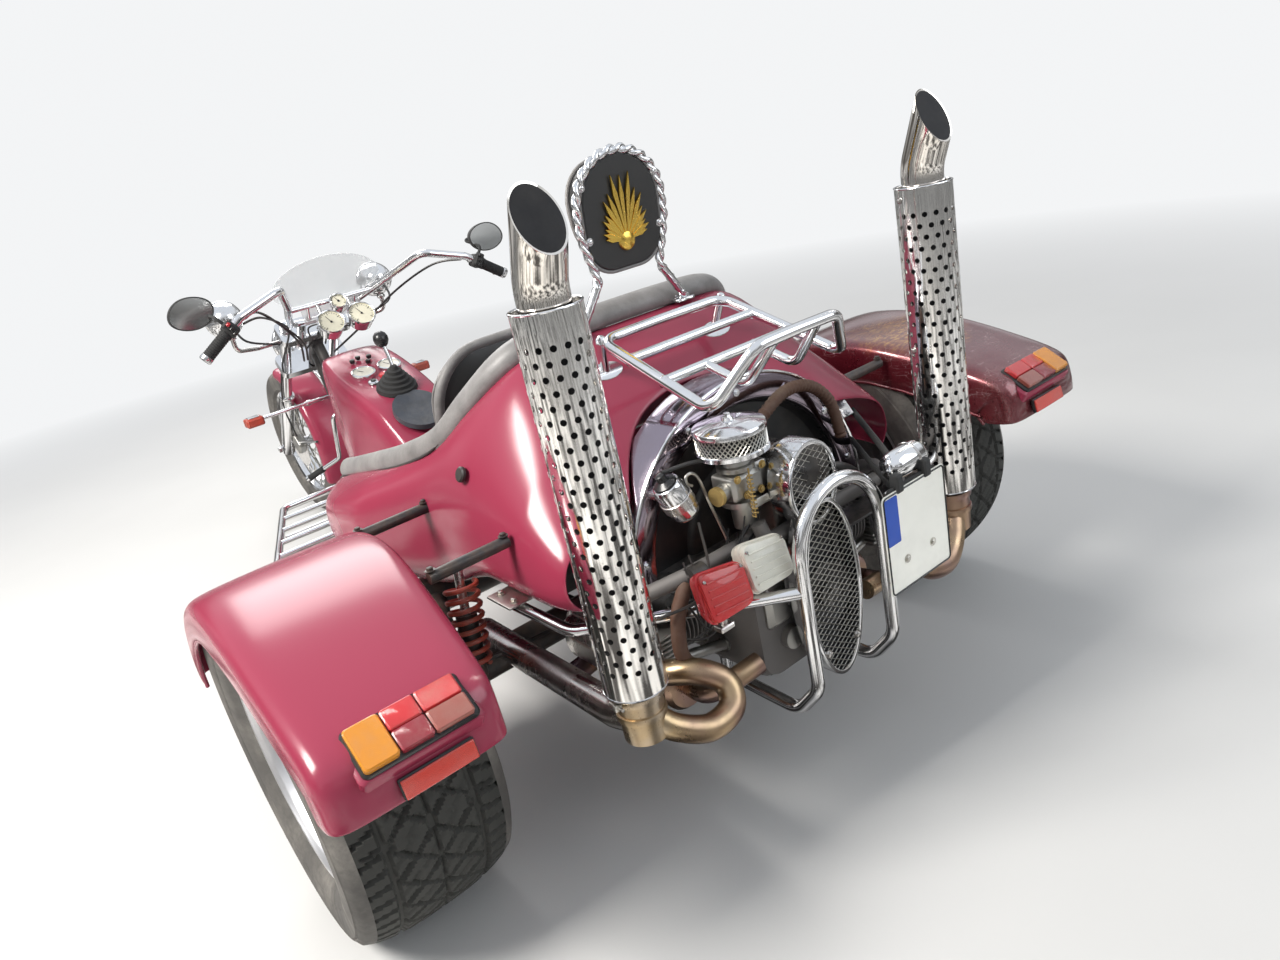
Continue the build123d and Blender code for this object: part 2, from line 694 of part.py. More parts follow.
with BuildPart() as fan_shroud:
    with BuildSketch(Plane.XZ.offset(-262)):
        with BuildLine():
            Polyline((-SHROUD_R, 545), (-SHROUD_R, SHROUD_Z), (SHROUD_R, SHROUD_Z), (SHROUD_R, 545))
            ThreePointArc((SHROUD_R, 545), (0, 815), (-SHROUD_R, 545))
        make_face()
    extrude(amount=-90)
    with BuildSketch(Plane.XZ.offset(-352)):
        with BuildLine():
            Polyline((-SHROUD_R + 12, 545), (-SHROUD_R + 12, SHROUD_Z + 12), (SHROUD_R - 12, SHROUD_Z + 12), (SHROUD_R - 12, 545))
            ThreePointArc((SHROUD_R - 12, 545), (0, 803), (-SHROUD_R + 12, 545))
        make_face()
    extrude(amount=14, mode=Mode.SUBTRACT)
save(fan_shroud.part, "fan_shroud")

with BuildPart() as belt_drive:
    rod((0, 352 + SEAT_FIT, GENERATOR_Z), (0, 470, GENERATOR_Z), 48)
    rod((0, 470, GENERATOR_Z), (0, 512, GENERATOR_Z), 12)
    rod((0, 486, GENERATOR_Z), (0, 508, GENERATOR_Z), 46)
    with Locations((0, 400, 568.3)):
        Box(70, 90, 110)
save(belt_drive.part, "generator")

with BuildPart() as crank_pulley:
    rod((0, 460.3, CRANK_Z), (0, 512, CRANK_Z), 16)
    rod((0, 486, CRANK_Z), (0, 508, CRANK_Z), 60)
save(crank_pulley.part, "crank_pulley")

with BuildPart() as belt_guard:
    guard_plane = Plane(origin=(0, 526, 0), x_dir=(1, 0, 0), z_dir=(0, -1, 0))
    with BuildSketch(guard_plane):
        with Locations((0, 436)):
            Ellipse(72, 178)
        with Locations((0, GENERATOR_Z)):
            Circle(60)
        with Locations((0, 436)):
            Ellipse(66, 172, mode=Mode.SUBTRACT)
        with Locations((0, GENERATOR_Z)):
            Circle(54, mode=Mode.SUBTRACT)
    extrude(amount=40)
    with BuildSketch(guard_plane):
        with Locations((0, 436)):
            Ellipse(68, 174)
        with Locations((0, GENERATOR_Z)):
            Circle(56)
    extrude(amount=3)
    for x in (-40, 40):
        rod((x, 525, 320), (x, 460 + SEAT_FIT, 320), 7)
save(belt_guard.part, "belt_guard")

FILTER_X, FILTER_Y = 92.0, 424.0
INTAKE_R = 13.0
INTAKE = [(315, 375, 520), (315, 290, 495), (315, 290, HEAD_Z + HEAD_H / 2 + SEAT_FIT)]
with BuildPart() as carburettor:
    rod((FILTER_X, FILTER_Y, 560), (FILTER_X, FILTER_Y, 718), 24)
    with Locations((FILTER_X, FILTER_Y, 670)):
        Box(70, 60, 60)
    bent_tube([(FILTER_X, 430, 610), (FILTER_X, 430, 552), (240, 430, 552), *INTAKE], INTAKE_R, 14)
    bent_tube(
        [(FILTER_X, 430, 580), (FILTER_X, 464, 552), (-240, 464, 552), *both_sides(INTAKE)], INTAKE_R, 14
    )
save(carburettor.part, "carburettor")

with BuildPart() as air_filter:
    rod((FILTER_X, FILTER_Y, 718.3), (FILTER_X, FILTER_Y, 724), 64)
    rod((FILTER_X, FILTER_Y, 724), (FILTER_X, FILTER_Y, 768), 61)
    rod((FILTER_X, FILTER_Y, 768), (FILTER_X, FILTER_Y, 776), 64)
save(air_filter.part, "air_filter")

# Exhausts: headers and an upright stack with a turned-out mouth on each side
for side, sign in (("left", 1), ("right", -1)):
    x = sign * STACK_X
    with BuildPart() as exhaust:
        bent_tube([(x, STACK_Y, 372), (x, STACK_Y, 1150), (x, STACK_Y + 95, 1262)], PIPE_R, 90)
        bent_tube(
            [(sign * 300, 160, HEAD_Z - HEAD_H / 2 - SEAT_FIT), (sign * 300, 160, 322), (sign * 430, 220, 322), (x, STACK_Y - 90, 345), (x, STACK_Y + 10, 376)],
            24,
            26,
        )
        bent_tube([(sign * 300, 380, HEAD_Z - HEAD_H / 2 - SEAT_FIT), (sign * 300, 380, 318), (sign * 310, 520, 350), (x, STACK_Y + 20, 392)], 22, 24)
        with BuildSketch(Plane(origin=(x, STACK_Y + 24, 1176), z_dir=(0, 0.93, 0.36))):
            Rectangle(300, 300)
        extrude(amount=200, mode=Mode.SUBTRACT)
        bent_tube(
            [(x, STACK_Y, 900), (x, STACK_Y, 1150), (x, STACK_Y + 95, 1262)],
            PIPE_R - PIPE_WALL,
            90,
            mode=Mode.SUBTRACT,
        )
    save(exhaust.part, f"exhaust_{side}")
    with BuildPart() as shield:
        with BuildSketch(Plane.XY.offset(SLEEVE_BOTTOM)):
            with Locations((x, STACK_Y)):
                Circle(SLEEVE_R)
                Circle(SLEEVE_R - SLEEVE_WALL, mode=Mode.SUBTRACT)
        extrude(amount=SLEEVE_TOP - SLEEVE_BOTTOM)
        for z in (SLEEVE_BOTTOM + 30, SLEEVE_TOP - 50):
            with BuildSketch(Plane.XY.offset(z)):
                with Locations((x, STACK_Y)):
                    Circle(SLEEVE_R - 1)
                    Circle(PIPE_R + 0.3, mode=Mode.SUBTRACT)
            extrude(amount=20)
    save(shield.part, f"heat_shield_{side}")

# Rear hoop, cross bar and lamps
HOOP_Y = 558.0
HOOP_X = 106.0
BAR_R = 10.0
BAR_START = Vector(HOOP_X, HOOP_Y, 490)
BAR_KNEE = Vector(395, 262, 466)
BAR_POINTS = [tuple(BAR_START), tuple(BAR_KNEE), (440, 150, 514)]
TUB_SILL = 530.0


def on_bar(point):
    """The place on the cross bar's straight run that is nearest to a point."""
    along = (BAR_KNEE - BAR_START).normalized()
    return BAR_START + along * (point - BAR_START).dot(along)


with BuildPart() as rear_hoop:
    bent_tube(
        [
            (HOOP_X, 300, 236),
            (HOOP_X, HOOP_Y - 60, 226),
            (HOOP_X, HOOP_Y, 300),
            (HOOP_X, HOOP_Y, 640),
            (-HOOP_X, HOOP_Y, 640),
            (-HOOP_X, HOOP_Y, 300),
            (-HOOP_X, HOOP_Y - 60, 226),
            (-HOOP_X, 300, 236),
        ],
        HOOP_TUBE_R,
        38,
    )
    for points in (BAR_POINTS, both_sides(BAR_POINTS)):
        bent_tube(points, BAR_R, 50)
    for sign in (1, -1):
        rod((sign * HOOP_X, 312, 236), (sign * HOOP_X, 312, 277 - SEAT_FIT), HOOP_TUBE_R)
        with Locations((sign * 428, 140, TUB_SILL - 10 - SEAT_FIT)):
            Box(40, 70, 20)
save(rear_hoop.part, "rear_hoop")

with BuildPart() as rear_lamps:
    for x, y, z in ((234, 500, 539), (139, 503, 549)):
        with Locations((x, y, z)):
            Box(92, 44, 84)
        low = Vector(x, y, z - 30)
        toward = (low - on_bar(low)).normalized()
        rod(on_bar(low) + toward * (BAR_R + SEAT_FIT), low, 6)
save(rear_lamps.part, "rear_lamps")

PLATE_X = -168.0
PLATE_Y = 586.0
PLATE_Z = 492.0
PLATE_BOLT = 38.0
PLATE_HOLE_R = 3.5
BOLT_Z = PLATE_Z - 40
with BuildPart() as number_plate:
    with BuildSketch(Plane.XZ.offset(-PLATE_Y)):
        with Locations((PLATE_X, PLATE_Z)):
            RectangleRounded(180, 196, 8)
        with Locations((PLATE_X - PLATE_BOLT, BOLT_Z), (PLATE_X + PLATE_BOLT, BOLT_Z)):
            Circle(PLATE_HOLE_R, mode=Mode.SUBTRACT)
    extrude(amount=-2)
save(number_plate.part, "number_plate")

with BuildPart() as plate_carrier:
    with BuildSketch(Plane.XZ.offset(-PLATE_Y + 5 + SEAT_FIT)):
        with Locations((PLATE_X, PLATE_Z + 12)):
            Rectangle(130, 186)
        with Locations((PLATE_X - PLATE_BOLT, BOLT_Z), (PLATE_X + PLATE_BOLT, BOLT_Z)):
            Circle(PLATE_HOLE_R, mode=Mode.SUBTRACT)
    extrude(amount=-5)
    with Locations((PLATE_X - 20, PLATE_Y - 20, 616)):
        Cylinder(24, 76, rotation=(0, 90, 0))
    with BuildSketch(Plane(origin=(-HOOP_X - HOOP_TUBE_R - SEAT_FIT, HOOP_Y, 560), z_dir=(-1, 0, 0))):
        Rectangle(16, 16)
    extrude(amount=40)
    with Locations((-150, 570, 560)):
        Box(16, 30, 16)
save(plate_carrier.part, "plate_carrier")

# Luggage rack
DECK_TOP = (110.0, 918.0)
DECK_END = (330.0, 690.0)
DECK_OUT = Vector(0, DECK_TOP[1] - DECK_END[1], DECK_END[0] - DECK_TOP[0]).normalized()


def deck_z(y):
    """Height of the sloping rear deck at a place along the trike."""
    return DECK_TOP[1] + (y - DECK_TOP[0]) * (DECK_END[1] - DECK_TOP[1]) / (DECK_END[0] - DECK_TOP[0])


with BuildPart() as luggage_rack:
    for sign in (1, -1):
        bent_tube(
            [(0, 188, 920), (sign * 150, 188, 920), (sign * 161, 470, 821), (sign * 66, 522, 913), (0, 522, 913)],
            RACK_TUBE_R,
            24,
        )
        foot = Vector(sign * 140, 166, deck_z(166))
        rod(Vector(sign * 150, 184, 918), foot + DECK_OUT * 5.2, RACK_TUBE_R)
        with BuildSketch(Plane(origin=foot + DECK_OUT * SEAT_FIT, x_dir=(1, 0, 0), z_dir=DECK_OUT)):
            Ellipse(34, 17)
        extrude(amount=5)
        bent_tube([(sign * 60, 357, 860), (sign * 60, 450, 832), (sign * 50, 522, 913)], RACK_TUBE_R - 2, 30)
    rod((-153, 268, 890), (153, 268, 890), RACK_TUBE_R - 1.5)
    rod((-157, 357, 860), (157, 357, 860), RACK_TUBE_R - 1.5)
save(luggage_rack.part, "luggage_rack")

LEAN = 0.1
SISSY_Y = 112.0
SISSY_LOW = 1010.0


def sissy(x, z):
    """A point of the backrest hoop, which leans back a little."""
    return (x, SISSY_Y + LEAN * (z - SISSY_LOW), z)


SISSY_HALF = [(133, 94, 918 + 5), sissy(72, 1010), sissy(100, 1080), sissy(100, 1150), sissy(60, 1236)]
with BuildPart() as sissy_bar:
    bent_tube(SISSY_HALF + both_sides(SISSY_HALF)[::-1], 8, 26)
    for sign in (1, -1):
        with Locations((sign * 133, 88, 918 + SEAT_FIT + 3)):
            Box(46, 40, 6)
save(sissy_bar.part, "sissy_bar")

with BuildPart() as backrest:
    back_y = SISSY_Y - 8.04 - SEAT_FIT
    with BuildSketch(Plane(origin=(0, back_y, SISSY_LOW), x_dir=(1, 0, 0), z_dir=(0, -1, LEAN))):
        with Locations((0, 122)):
            RectangleRounded(200, 196, 80)
    extrude(amount=50)
save(backrest.part, "backrest")
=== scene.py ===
"""Looks of a motorized trike: its finishes, its fine shapes, the studio and the camera."""

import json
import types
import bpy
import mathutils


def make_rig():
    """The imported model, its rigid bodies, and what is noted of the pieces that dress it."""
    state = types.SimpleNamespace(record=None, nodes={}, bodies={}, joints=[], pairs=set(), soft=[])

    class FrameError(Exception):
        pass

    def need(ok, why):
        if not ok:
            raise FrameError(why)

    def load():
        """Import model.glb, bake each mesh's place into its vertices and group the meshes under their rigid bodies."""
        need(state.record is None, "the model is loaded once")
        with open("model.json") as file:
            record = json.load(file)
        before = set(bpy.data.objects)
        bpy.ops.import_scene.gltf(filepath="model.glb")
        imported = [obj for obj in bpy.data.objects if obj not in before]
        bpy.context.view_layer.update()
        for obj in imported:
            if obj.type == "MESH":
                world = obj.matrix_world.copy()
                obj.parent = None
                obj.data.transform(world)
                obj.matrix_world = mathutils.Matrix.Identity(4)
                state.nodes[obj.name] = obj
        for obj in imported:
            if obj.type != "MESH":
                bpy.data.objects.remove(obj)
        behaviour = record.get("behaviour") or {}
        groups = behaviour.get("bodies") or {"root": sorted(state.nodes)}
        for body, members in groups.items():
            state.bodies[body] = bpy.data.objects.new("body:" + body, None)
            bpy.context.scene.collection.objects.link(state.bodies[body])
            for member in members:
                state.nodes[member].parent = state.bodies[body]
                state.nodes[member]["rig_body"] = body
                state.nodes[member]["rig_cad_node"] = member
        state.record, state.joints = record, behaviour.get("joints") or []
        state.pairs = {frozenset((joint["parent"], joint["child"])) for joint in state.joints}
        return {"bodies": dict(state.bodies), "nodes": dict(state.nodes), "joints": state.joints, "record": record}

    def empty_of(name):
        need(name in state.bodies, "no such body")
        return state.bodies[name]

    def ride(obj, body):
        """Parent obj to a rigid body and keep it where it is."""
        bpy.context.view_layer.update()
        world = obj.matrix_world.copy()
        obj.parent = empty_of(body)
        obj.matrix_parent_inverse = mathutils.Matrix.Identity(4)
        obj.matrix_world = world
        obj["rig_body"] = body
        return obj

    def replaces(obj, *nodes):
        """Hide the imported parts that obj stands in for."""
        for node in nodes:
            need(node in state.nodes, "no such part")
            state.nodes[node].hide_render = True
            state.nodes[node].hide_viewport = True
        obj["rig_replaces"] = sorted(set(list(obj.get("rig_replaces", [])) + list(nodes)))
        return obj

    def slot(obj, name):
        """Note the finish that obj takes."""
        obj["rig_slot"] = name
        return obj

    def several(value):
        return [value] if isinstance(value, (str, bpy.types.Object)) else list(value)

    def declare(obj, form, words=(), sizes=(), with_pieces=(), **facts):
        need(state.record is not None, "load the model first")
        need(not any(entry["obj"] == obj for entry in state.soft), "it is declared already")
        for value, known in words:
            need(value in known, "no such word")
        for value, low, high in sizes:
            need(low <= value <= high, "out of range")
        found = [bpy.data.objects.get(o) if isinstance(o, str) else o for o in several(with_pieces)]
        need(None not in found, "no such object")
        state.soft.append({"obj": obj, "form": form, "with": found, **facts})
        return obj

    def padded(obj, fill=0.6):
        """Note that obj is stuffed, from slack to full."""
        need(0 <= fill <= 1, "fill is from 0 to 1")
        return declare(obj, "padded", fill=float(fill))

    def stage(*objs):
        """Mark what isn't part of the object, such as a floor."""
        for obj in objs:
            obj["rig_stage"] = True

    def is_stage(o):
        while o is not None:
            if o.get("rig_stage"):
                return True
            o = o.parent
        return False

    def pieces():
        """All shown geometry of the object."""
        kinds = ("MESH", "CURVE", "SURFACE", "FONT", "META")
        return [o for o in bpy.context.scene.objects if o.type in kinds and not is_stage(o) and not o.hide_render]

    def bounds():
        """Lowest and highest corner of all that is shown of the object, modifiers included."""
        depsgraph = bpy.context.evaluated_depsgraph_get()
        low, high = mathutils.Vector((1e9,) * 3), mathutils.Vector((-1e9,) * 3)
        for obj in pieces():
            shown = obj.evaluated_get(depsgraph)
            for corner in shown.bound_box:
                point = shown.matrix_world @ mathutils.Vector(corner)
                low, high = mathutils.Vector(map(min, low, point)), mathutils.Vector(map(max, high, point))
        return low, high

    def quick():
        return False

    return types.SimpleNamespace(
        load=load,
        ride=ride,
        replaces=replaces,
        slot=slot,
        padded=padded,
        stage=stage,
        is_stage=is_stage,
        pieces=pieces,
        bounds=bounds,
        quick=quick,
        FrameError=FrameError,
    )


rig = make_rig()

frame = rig.load()

import json
import logging
import math
import random
from collections.abc import Callable, Sequence
from dataclasses import dataclass
from enum import Enum

import bmesh
import bpy
from mathutils import Matrix, Vector

log = logging.getLogger("trike")

MM = 0.001
AXLE_Y = 1081.0
AXLE_Z = 338.0
WHEELBASE = 2434.0
FRONT_Z = 318.0
RAKE = math.radians(45.0)
FORK_OFFSET = 45.0
FORK_HALF = 96.0
SMOOTH_ANGLE = 38.0
Colour = tuple[float, float, float]


class Body(str, Enum):
    """The rigid bodies that pieces ride on."""

    CHASSIS = "chassis"
    STEERING = "steering"
    FRONT_WHEEL = "front_wheel"
    REAR_LEFT = "rear_wheel_left"
    REAR_RIGHT = "rear_wheel_right"


def at(x: float, y: float, z: float) -> Vector:
    """A place given in millimetres from the middle of the rear axle, on the ground."""
    return Vector((x, y + AXLE_Y, z)) * MM


def mirrored(points: Sequence[Vector]) -> list[Vector]:
    """The same points on the other side of the trike."""
    return [Vector((-p.x, p.y, p.z)) for p in points]


def rounded(points: Sequence[Vector], bend: float, steps: int = 6) -> list[Vector]:
    """Rounds the corners of a route of straight runs.

    Args:
        points: The route's corners.
        bend: Radius of each bend in millimetres, less where a run is short.
        steps: Pieces of each arc.

    Returns:
        Points along the rounded route.
    """
    out = [points[0].copy()]
    for before, corner, after in zip(points, points[1:], points[2:]):
        into, away = (before - corner), (after - corner)
        turn = math.pi - into.angle(away)
        if turn < 0.02:
            out.append(corner.copy())
            continue
        reach = min(bend * MM * math.tan(turn / 2), 0.48 * into.length, 0.48 * away.length)
        radius = reach / math.tan(turn / 2)
        along = -into.normalized()
        side = (away.normalized() - along * away.normalized().dot(along)).normalized()
        start = corner - along * reach
        for step in range(steps + 1):
            phi = turn * step / steps
            out.append(start + side * radius * (1 - math.cos(phi)) + along * radius * math.sin(phi))
    out.append(points[-1].copy())
    return out


def flowing(points: Sequence[Vector], steps: int = 6, closed: bool = False) -> list[Vector]:
    """A smooth route through points.

    Args:
        points: Places that the route passes.
        steps: Pieces between two places.
        closed: Whether the route ends where it starts.

    Returns:
        Points along the route.
    """
    out = []
    count = len(points)
    runs = count if closed else count - 1
    for i in range(runs):
        if closed:
            a, b, c, d = (points[(i + k) % count] for k in (-1, 0, 1, 2))
        else:
            a, b = points[max(i - 1, 0)], points[i]
            c, d = points[i + 1], points[min(i + 2, count - 1)]
        for step in range(steps):
            t = step / steps
            out.append(
                0.5 * (
                    2 * b + (c - a) * t + (2 * a - 5 * b + 4 * c - d) * t**2
                    + (3 * b - a - 3 * c + d) * t**3
                )
            )
    if not closed:
        out.append(points[-1].copy())
    return out


def rounded_outline(
    width: float, height: float, radius: float, steps: int = 5
) -> list[tuple[float, float]]:
    """Outline of a rectangle with round corners, about its middle."""
    out = []
    for sx, sy, first in ((1, 1, 0), (-1, 1, 90), (-1, -1, 180), (1, -1, 270)):
        for step in range(steps + 1):
            angle = math.radians(first + 90 * step / steps)
            out.append(
                (
                    sx * (width / 2 - radius) + radius * math.cos(angle),
                    sy * (height / 2 - radius) + radius * math.sin(angle),
                )
            )
    return out


def oval_outline(
    half_width: float, half_height: float, steps: int = 40
) -> list[tuple[float, float]]:
    """Outline of an ellipse about its middle."""
    return [
        (half_width * math.cos(math.tau * k / steps), half_height * math.sin(math.tau * k / steps))
        for k in range(steps)
    ]


class NodeBoard:
    """Adds and links shader nodes in one tree."""

    def __init__(self, tree: bpy.types.NodeTree) -> None:
        """Starts on a tree."""
        self.tree = tree

    def add(self, kind: str, inputs: dict | None = None, **settings: object) -> bpy.types.Node:
        """Adds a node.

        Args:
            kind: The node's type, without its "ShaderNode" start.
            inputs: Socket names or numbers to values or to the output sockets that feed them.
            **settings: The node's own settings.

        Returns:
            The new node.
        """
        node = self.tree.nodes.new("ShaderNode" + kind)
        for key, value in settings.items():
            setattr(node, key, value)
        for key, value in (inputs or {}).items():
            if isinstance(value, bpy.types.NodeSocket):
                self.tree.links.new(value, node.inputs[key])
            else:
                node.inputs[key].default_value = value
        return node

    def place(self) -> bpy.types.NodeSocket:
        """The surface's own place, which moves with the piece."""
        return self.add("TexCoord").outputs["Object"]

    def noise(
        self, scale: float, detail: float = 4.0, rough: float = 0.6, vector: object = None
    ) -> bpy.types.NodeSocket:
        """A noise value over the surface."""
        feed = vector if vector is not None else self.place()
        node = self.add(
            "TexNoise", {"Scale": scale, "Detail": detail, "Roughness": rough, "Vector": feed}
        )
        return node.outputs["Fac"]

    def math(
        self, operation: str, a: object, b: object = 0.0, clamp: bool = False
    ) -> bpy.types.NodeSocket:
        """A sum on one or two values."""
        return self.add("Math", {0: a, 1: b}, operation=operation, use_clamp=clamp).outputs[0]

    def spread(
        self, value: object, low: float, high: float, out_low: float = 0.0, out_high: float = 1.0
    ) -> bpy.types.NodeSocket:
        """A value stretched from one range to another, held inside it."""
        node = self.add(
            "MapRange",
            {
                "Value": value, "From Min": low, "From Max": high, "To Min": out_low,
                "To Max": out_high,
            },
            clamp=True,
        )
        return node.outputs["Result"]

    def mix(self, factor: object, a: object, b: object) -> bpy.types.NodeSocket:
        """A colour between two colours."""
        node = self.add("Mix", {}, data_type="RGBA")
        for key, value in ((0, factor), (6, a), (7, b)):
            if isinstance(value, bpy.types.NodeSocket):
                self.tree.links.new(value, node.inputs[key])
            else:
                is_colour = isinstance(value, tuple)
                node.inputs[key].default_value = (*value, 1.0) if is_colour else value
        return node.outputs[2]

    def stretched(self, x: float, y: float, z: float) -> bpy.types.NodeSocket:
        """The surface's place, scaled along each axis."""
        return self.add("Mapping", {"Vector": self.place(), "Scale": (x, y, z)}).outputs["Vector"]


class Effect:
    """A shader node group with named sockets, built once and used by many finishes."""

    built: dict[str, bpy.types.NodeTree] = {}

    def __init__(
        self,
        name: str,
        inputs: Sequence[tuple[str, float | Colour]],
        outputs: Sequence[tuple[str, str]],
        draw: Callable[[NodeBoard, bpy.types.Node, bpy.types.Node], None],
    ) -> None:
        """Names the group's sockets and the function that draws its nodes."""
        self.name, self.inputs, self.outputs, self.draw = name, inputs, outputs, draw

    def tree(self) -> bpy.types.NodeTree:
        """The group's tree, built on first use."""
        if self.name in Effect.built:
            return Effect.built[self.name]
        tree = bpy.data.node_groups.new(self.name, "ShaderNodeTree")
        for name, value in self.inputs:
            kind = "NodeSocketColor" if isinstance(value, tuple) else "NodeSocketFloat"
            socket = tree.interface.new_socket(name, in_out="INPUT", socket_type=kind)
            socket.default_value = (*value, 1.0) if isinstance(value, tuple) else value
        for name, kind in self.outputs:
            tree.interface.new_socket(name, in_out="OUTPUT", socket_type=kind)
        source = tree.nodes.new("NodeGroupInput")
        sink = tree.nodes.new("NodeGroupOutput")
        self.draw(NodeBoard(tree), source, sink)
        Effect.built[self.name] = tree
        return tree

    def use(self, board: NodeBoard, **values: object) -> bpy.types.Node:
        """Places the group in a material, with values by socket name (spaces as underscores)."""
        node = board.tree.nodes.new("ShaderNodeGroup")
        node.node_tree = self.tree()
        for key, value in values.items():
            socket = node.inputs[key.replace("_", " ")]
            if isinstance(value, bpy.types.NodeSocket):
                board.tree.links.new(value, socket)
            else:
                socket.default_value = (*value, 1.0) if isinstance(value, tuple) else value
        return node


COLOUR = "NodeSocketColor"
VALUE = "NodeSocketFloat"


def draw_dust(board: NodeBoard, source: bpy.types.Node, sink: bpy.types.Node) -> None:
    """Dust and dried dirt: patches from two noises, thicker on what faces up."""
    place = board.place()
    broad = board.add(
        "TexNoise",
        {"Vector": place, "Scale": source.outputs["Scale"], "Detail": 5.0, "Roughness": 0.62},
    )
    fine = board.noise(90.0, 3.0, 0.7, place)
    facing = board.add("SeparateXYZ", {0: board.add("NewGeometry").outputs["Normal"]}).outputs["Z"]
    lift = board.spread(facing, -0.4, 1.0, 0.35, 1.0)
    patches = board.math("MULTIPLY", board.spread(broad.outputs["Fac"], 0.42, 0.7), lift)
    speckled = board.math("MULTIPLY", patches, board.spread(fine, 0.3, 0.62, 0.45, 1.0))
    mask = board.math("MULTIPLY", speckled, source.outputs["Amount"], clamp=True)
    board.tree.links.new(mask, sink.inputs["Mask"])
    mixed = board.mix(mask, source.outputs["Base"], source.outputs["Dirt"])
    board.tree.links.new(mixed, sink.inputs["Color"])


def draw_scratches(board: NodeBoard, source: bpy.types.Node, sink: bpy.types.Node) -> None:
    """Fine scratches: thin level lines of two stretched noises, broken into strokes."""
    strokes = []
    for x, y, z in ((3.0, 14.0, 9.0), (11.0, 2.5, 12.0)):
        lines = board.noise(5.0, 1.0, 0.5, board.stretched(x, y, z))
        near = board.math("ABSOLUTE", board.math("SUBTRACT", lines, 0.5))
        strokes.append(board.spread(near, 0.0, 0.006, 1.0, 0.0))
    both = board.math("MAXIMUM", strokes[0], strokes[1])
    broken = board.spread(board.noise(16.0, 2.0), 0.52, 0.6)
    mask = board.math(
        "MULTIPLY", board.math("MULTIPLY", both, broken), source.outputs["Amount"], clamp=True
    )
    board.tree.links.new(mask, sink.inputs["Mask"])


def draw_edge_wear(board: NodeBoard, source: bpy.types.Node, sink: bpy.types.Node) -> None:
    """Wear on convex edges, broken up by noise."""
    point = board.add("NewGeometry").outputs["Pointiness"]
    edge = board.spread(point, 0.53, 0.62)
    mask = board.math("MULTIPLY", edge, board.spread(board.noise(45.0, 4.0), 0.38, 0.6))
    board.tree.links.new(
        board.math("MULTIPLY", mask, source.outputs["Amount"], clamp=True), sink.inputs["Mask"]
    )


def draw_flake(board: NodeBoard, source: bpy.types.Node, sink: bpy.types.Node) -> None:
    """Metallic flake: tiny cells of lighter colour, and slow drifts of tone."""
    cells = board.add("TexVoronoi", {"Scale": 950.0, "Vector": board.place()})
    spark = board.spread(
        board.add("SeparateXYZ", {0: cells.outputs["Color"]}).outputs["X"], 0.55, 1.0
    )
    drift = board.spread(board.noise(2.3, 3.0), 0.3, 0.7)
    tone = board.mix(drift, source.outputs["Base"], source.outputs["Faded"])
    part = board.math("MULTIPLY", spark, source.outputs["Amount"])
    board.tree.links.new(board.mix(part, tone, source.outputs["Flake"]), sink.inputs["Color"])


def draw_grain(board: NodeBoard, source: bpy.types.Node, sink: bpy.types.Node) -> None:
    """Pebbled leathercloth grain with soft creases."""
    cells = board.add(
        "TexVoronoi", {"Scale": source.outputs["Scale"], "Vector": board.place()},
        feature="SMOOTH_F1",
    )
    creases = board.noise(14.0, 5.0, 0.65)
    height = board.math("ADD", cells.outputs["Distance"], board.math("MULTIPLY", creases, 0.8))
    board.tree.links.new(height, sink.inputs["Height"])
    tone = board.spread(creases, 0.3, 0.75)
    board.tree.links.new(
        board.mix(tone, source.outputs["Dark"], source.outputs["Light"]), sink.inputs["Color"]
    )


def draw_smear(board: NodeBoard, source: bpy.types.Node, sink: bpy.types.Node) -> None:
    """Wiped and smeared gloss: a roughness that drifts between two values."""
    smear = board.noise(6.0, 6.0, 0.7, board.stretched(1.0, 1.6, 0.7))
    low, high = source.outputs["Low"], source.outputs["High"]
    span = board.math("SUBTRACT", high, low)
    value = board.math("ADD", low, board.math("MULTIPLY", board.spread(smear, 0.35, 0.7), span))
    board.tree.links.new(value, sink.inputs["Roughness"])


def draw_pits(board: NodeBoard, source: bpy.types.Node, sink: bpy.types.Node) -> None:
    """Rust pits: small clustered specks."""
    cells = board.add(
        "TexVoronoi",
        {"Scale": source.outputs["Scale"], "Vector": board.place(), "Randomness": 1.0},
    )
    specks = board.spread(cells.outputs["Distance"], 0.12, 0.24, 1.0, 0.0)
    where = board.spread(board.noise(9.0, 4.0), 0.5, 0.68)
    mask = board.math(
        "MULTIPLY", board.math("MULTIPLY", specks, where), source.outputs["Amount"], clamp=True
    )
    board.tree.links.new(mask, sink.inputs["Mask"])


def draw_tint(board: NodeBoard, source: bpy.types.Node, sink: bpy.types.Node) -> None:
    """Heat colours of a hot pipe: straw, bronze, purple and blue in drifting bands."""
    bands = board.noise(3.2, 4.0, 0.55)
    ramp = board.add("ValToRGB", {"Fac": bands})
    stops = (
        (0.30, (0.50, 0.47, 0.43)), (0.42, (0.52, 0.36, 0.16)), (0.52, (0.30, 0.15, 0.09)),
        (0.62, (0.24, 0.15, 0.27)), (0.72, (0.42, 0.40, 0.44)),
    )
    elements = ramp.color_ramp.elements
    while len(elements) < len(stops):
        elements.new(0.5)
    for element, (position, colour) in zip(elements, stops):
        element.position = position
        element.color = (*colour, 1.0)
    mixed = board.mix(source.outputs["Amount"], source.outputs["Base"], ramp.outputs["Color"])
    board.tree.links.new(mixed, sink.inputs["Color"])


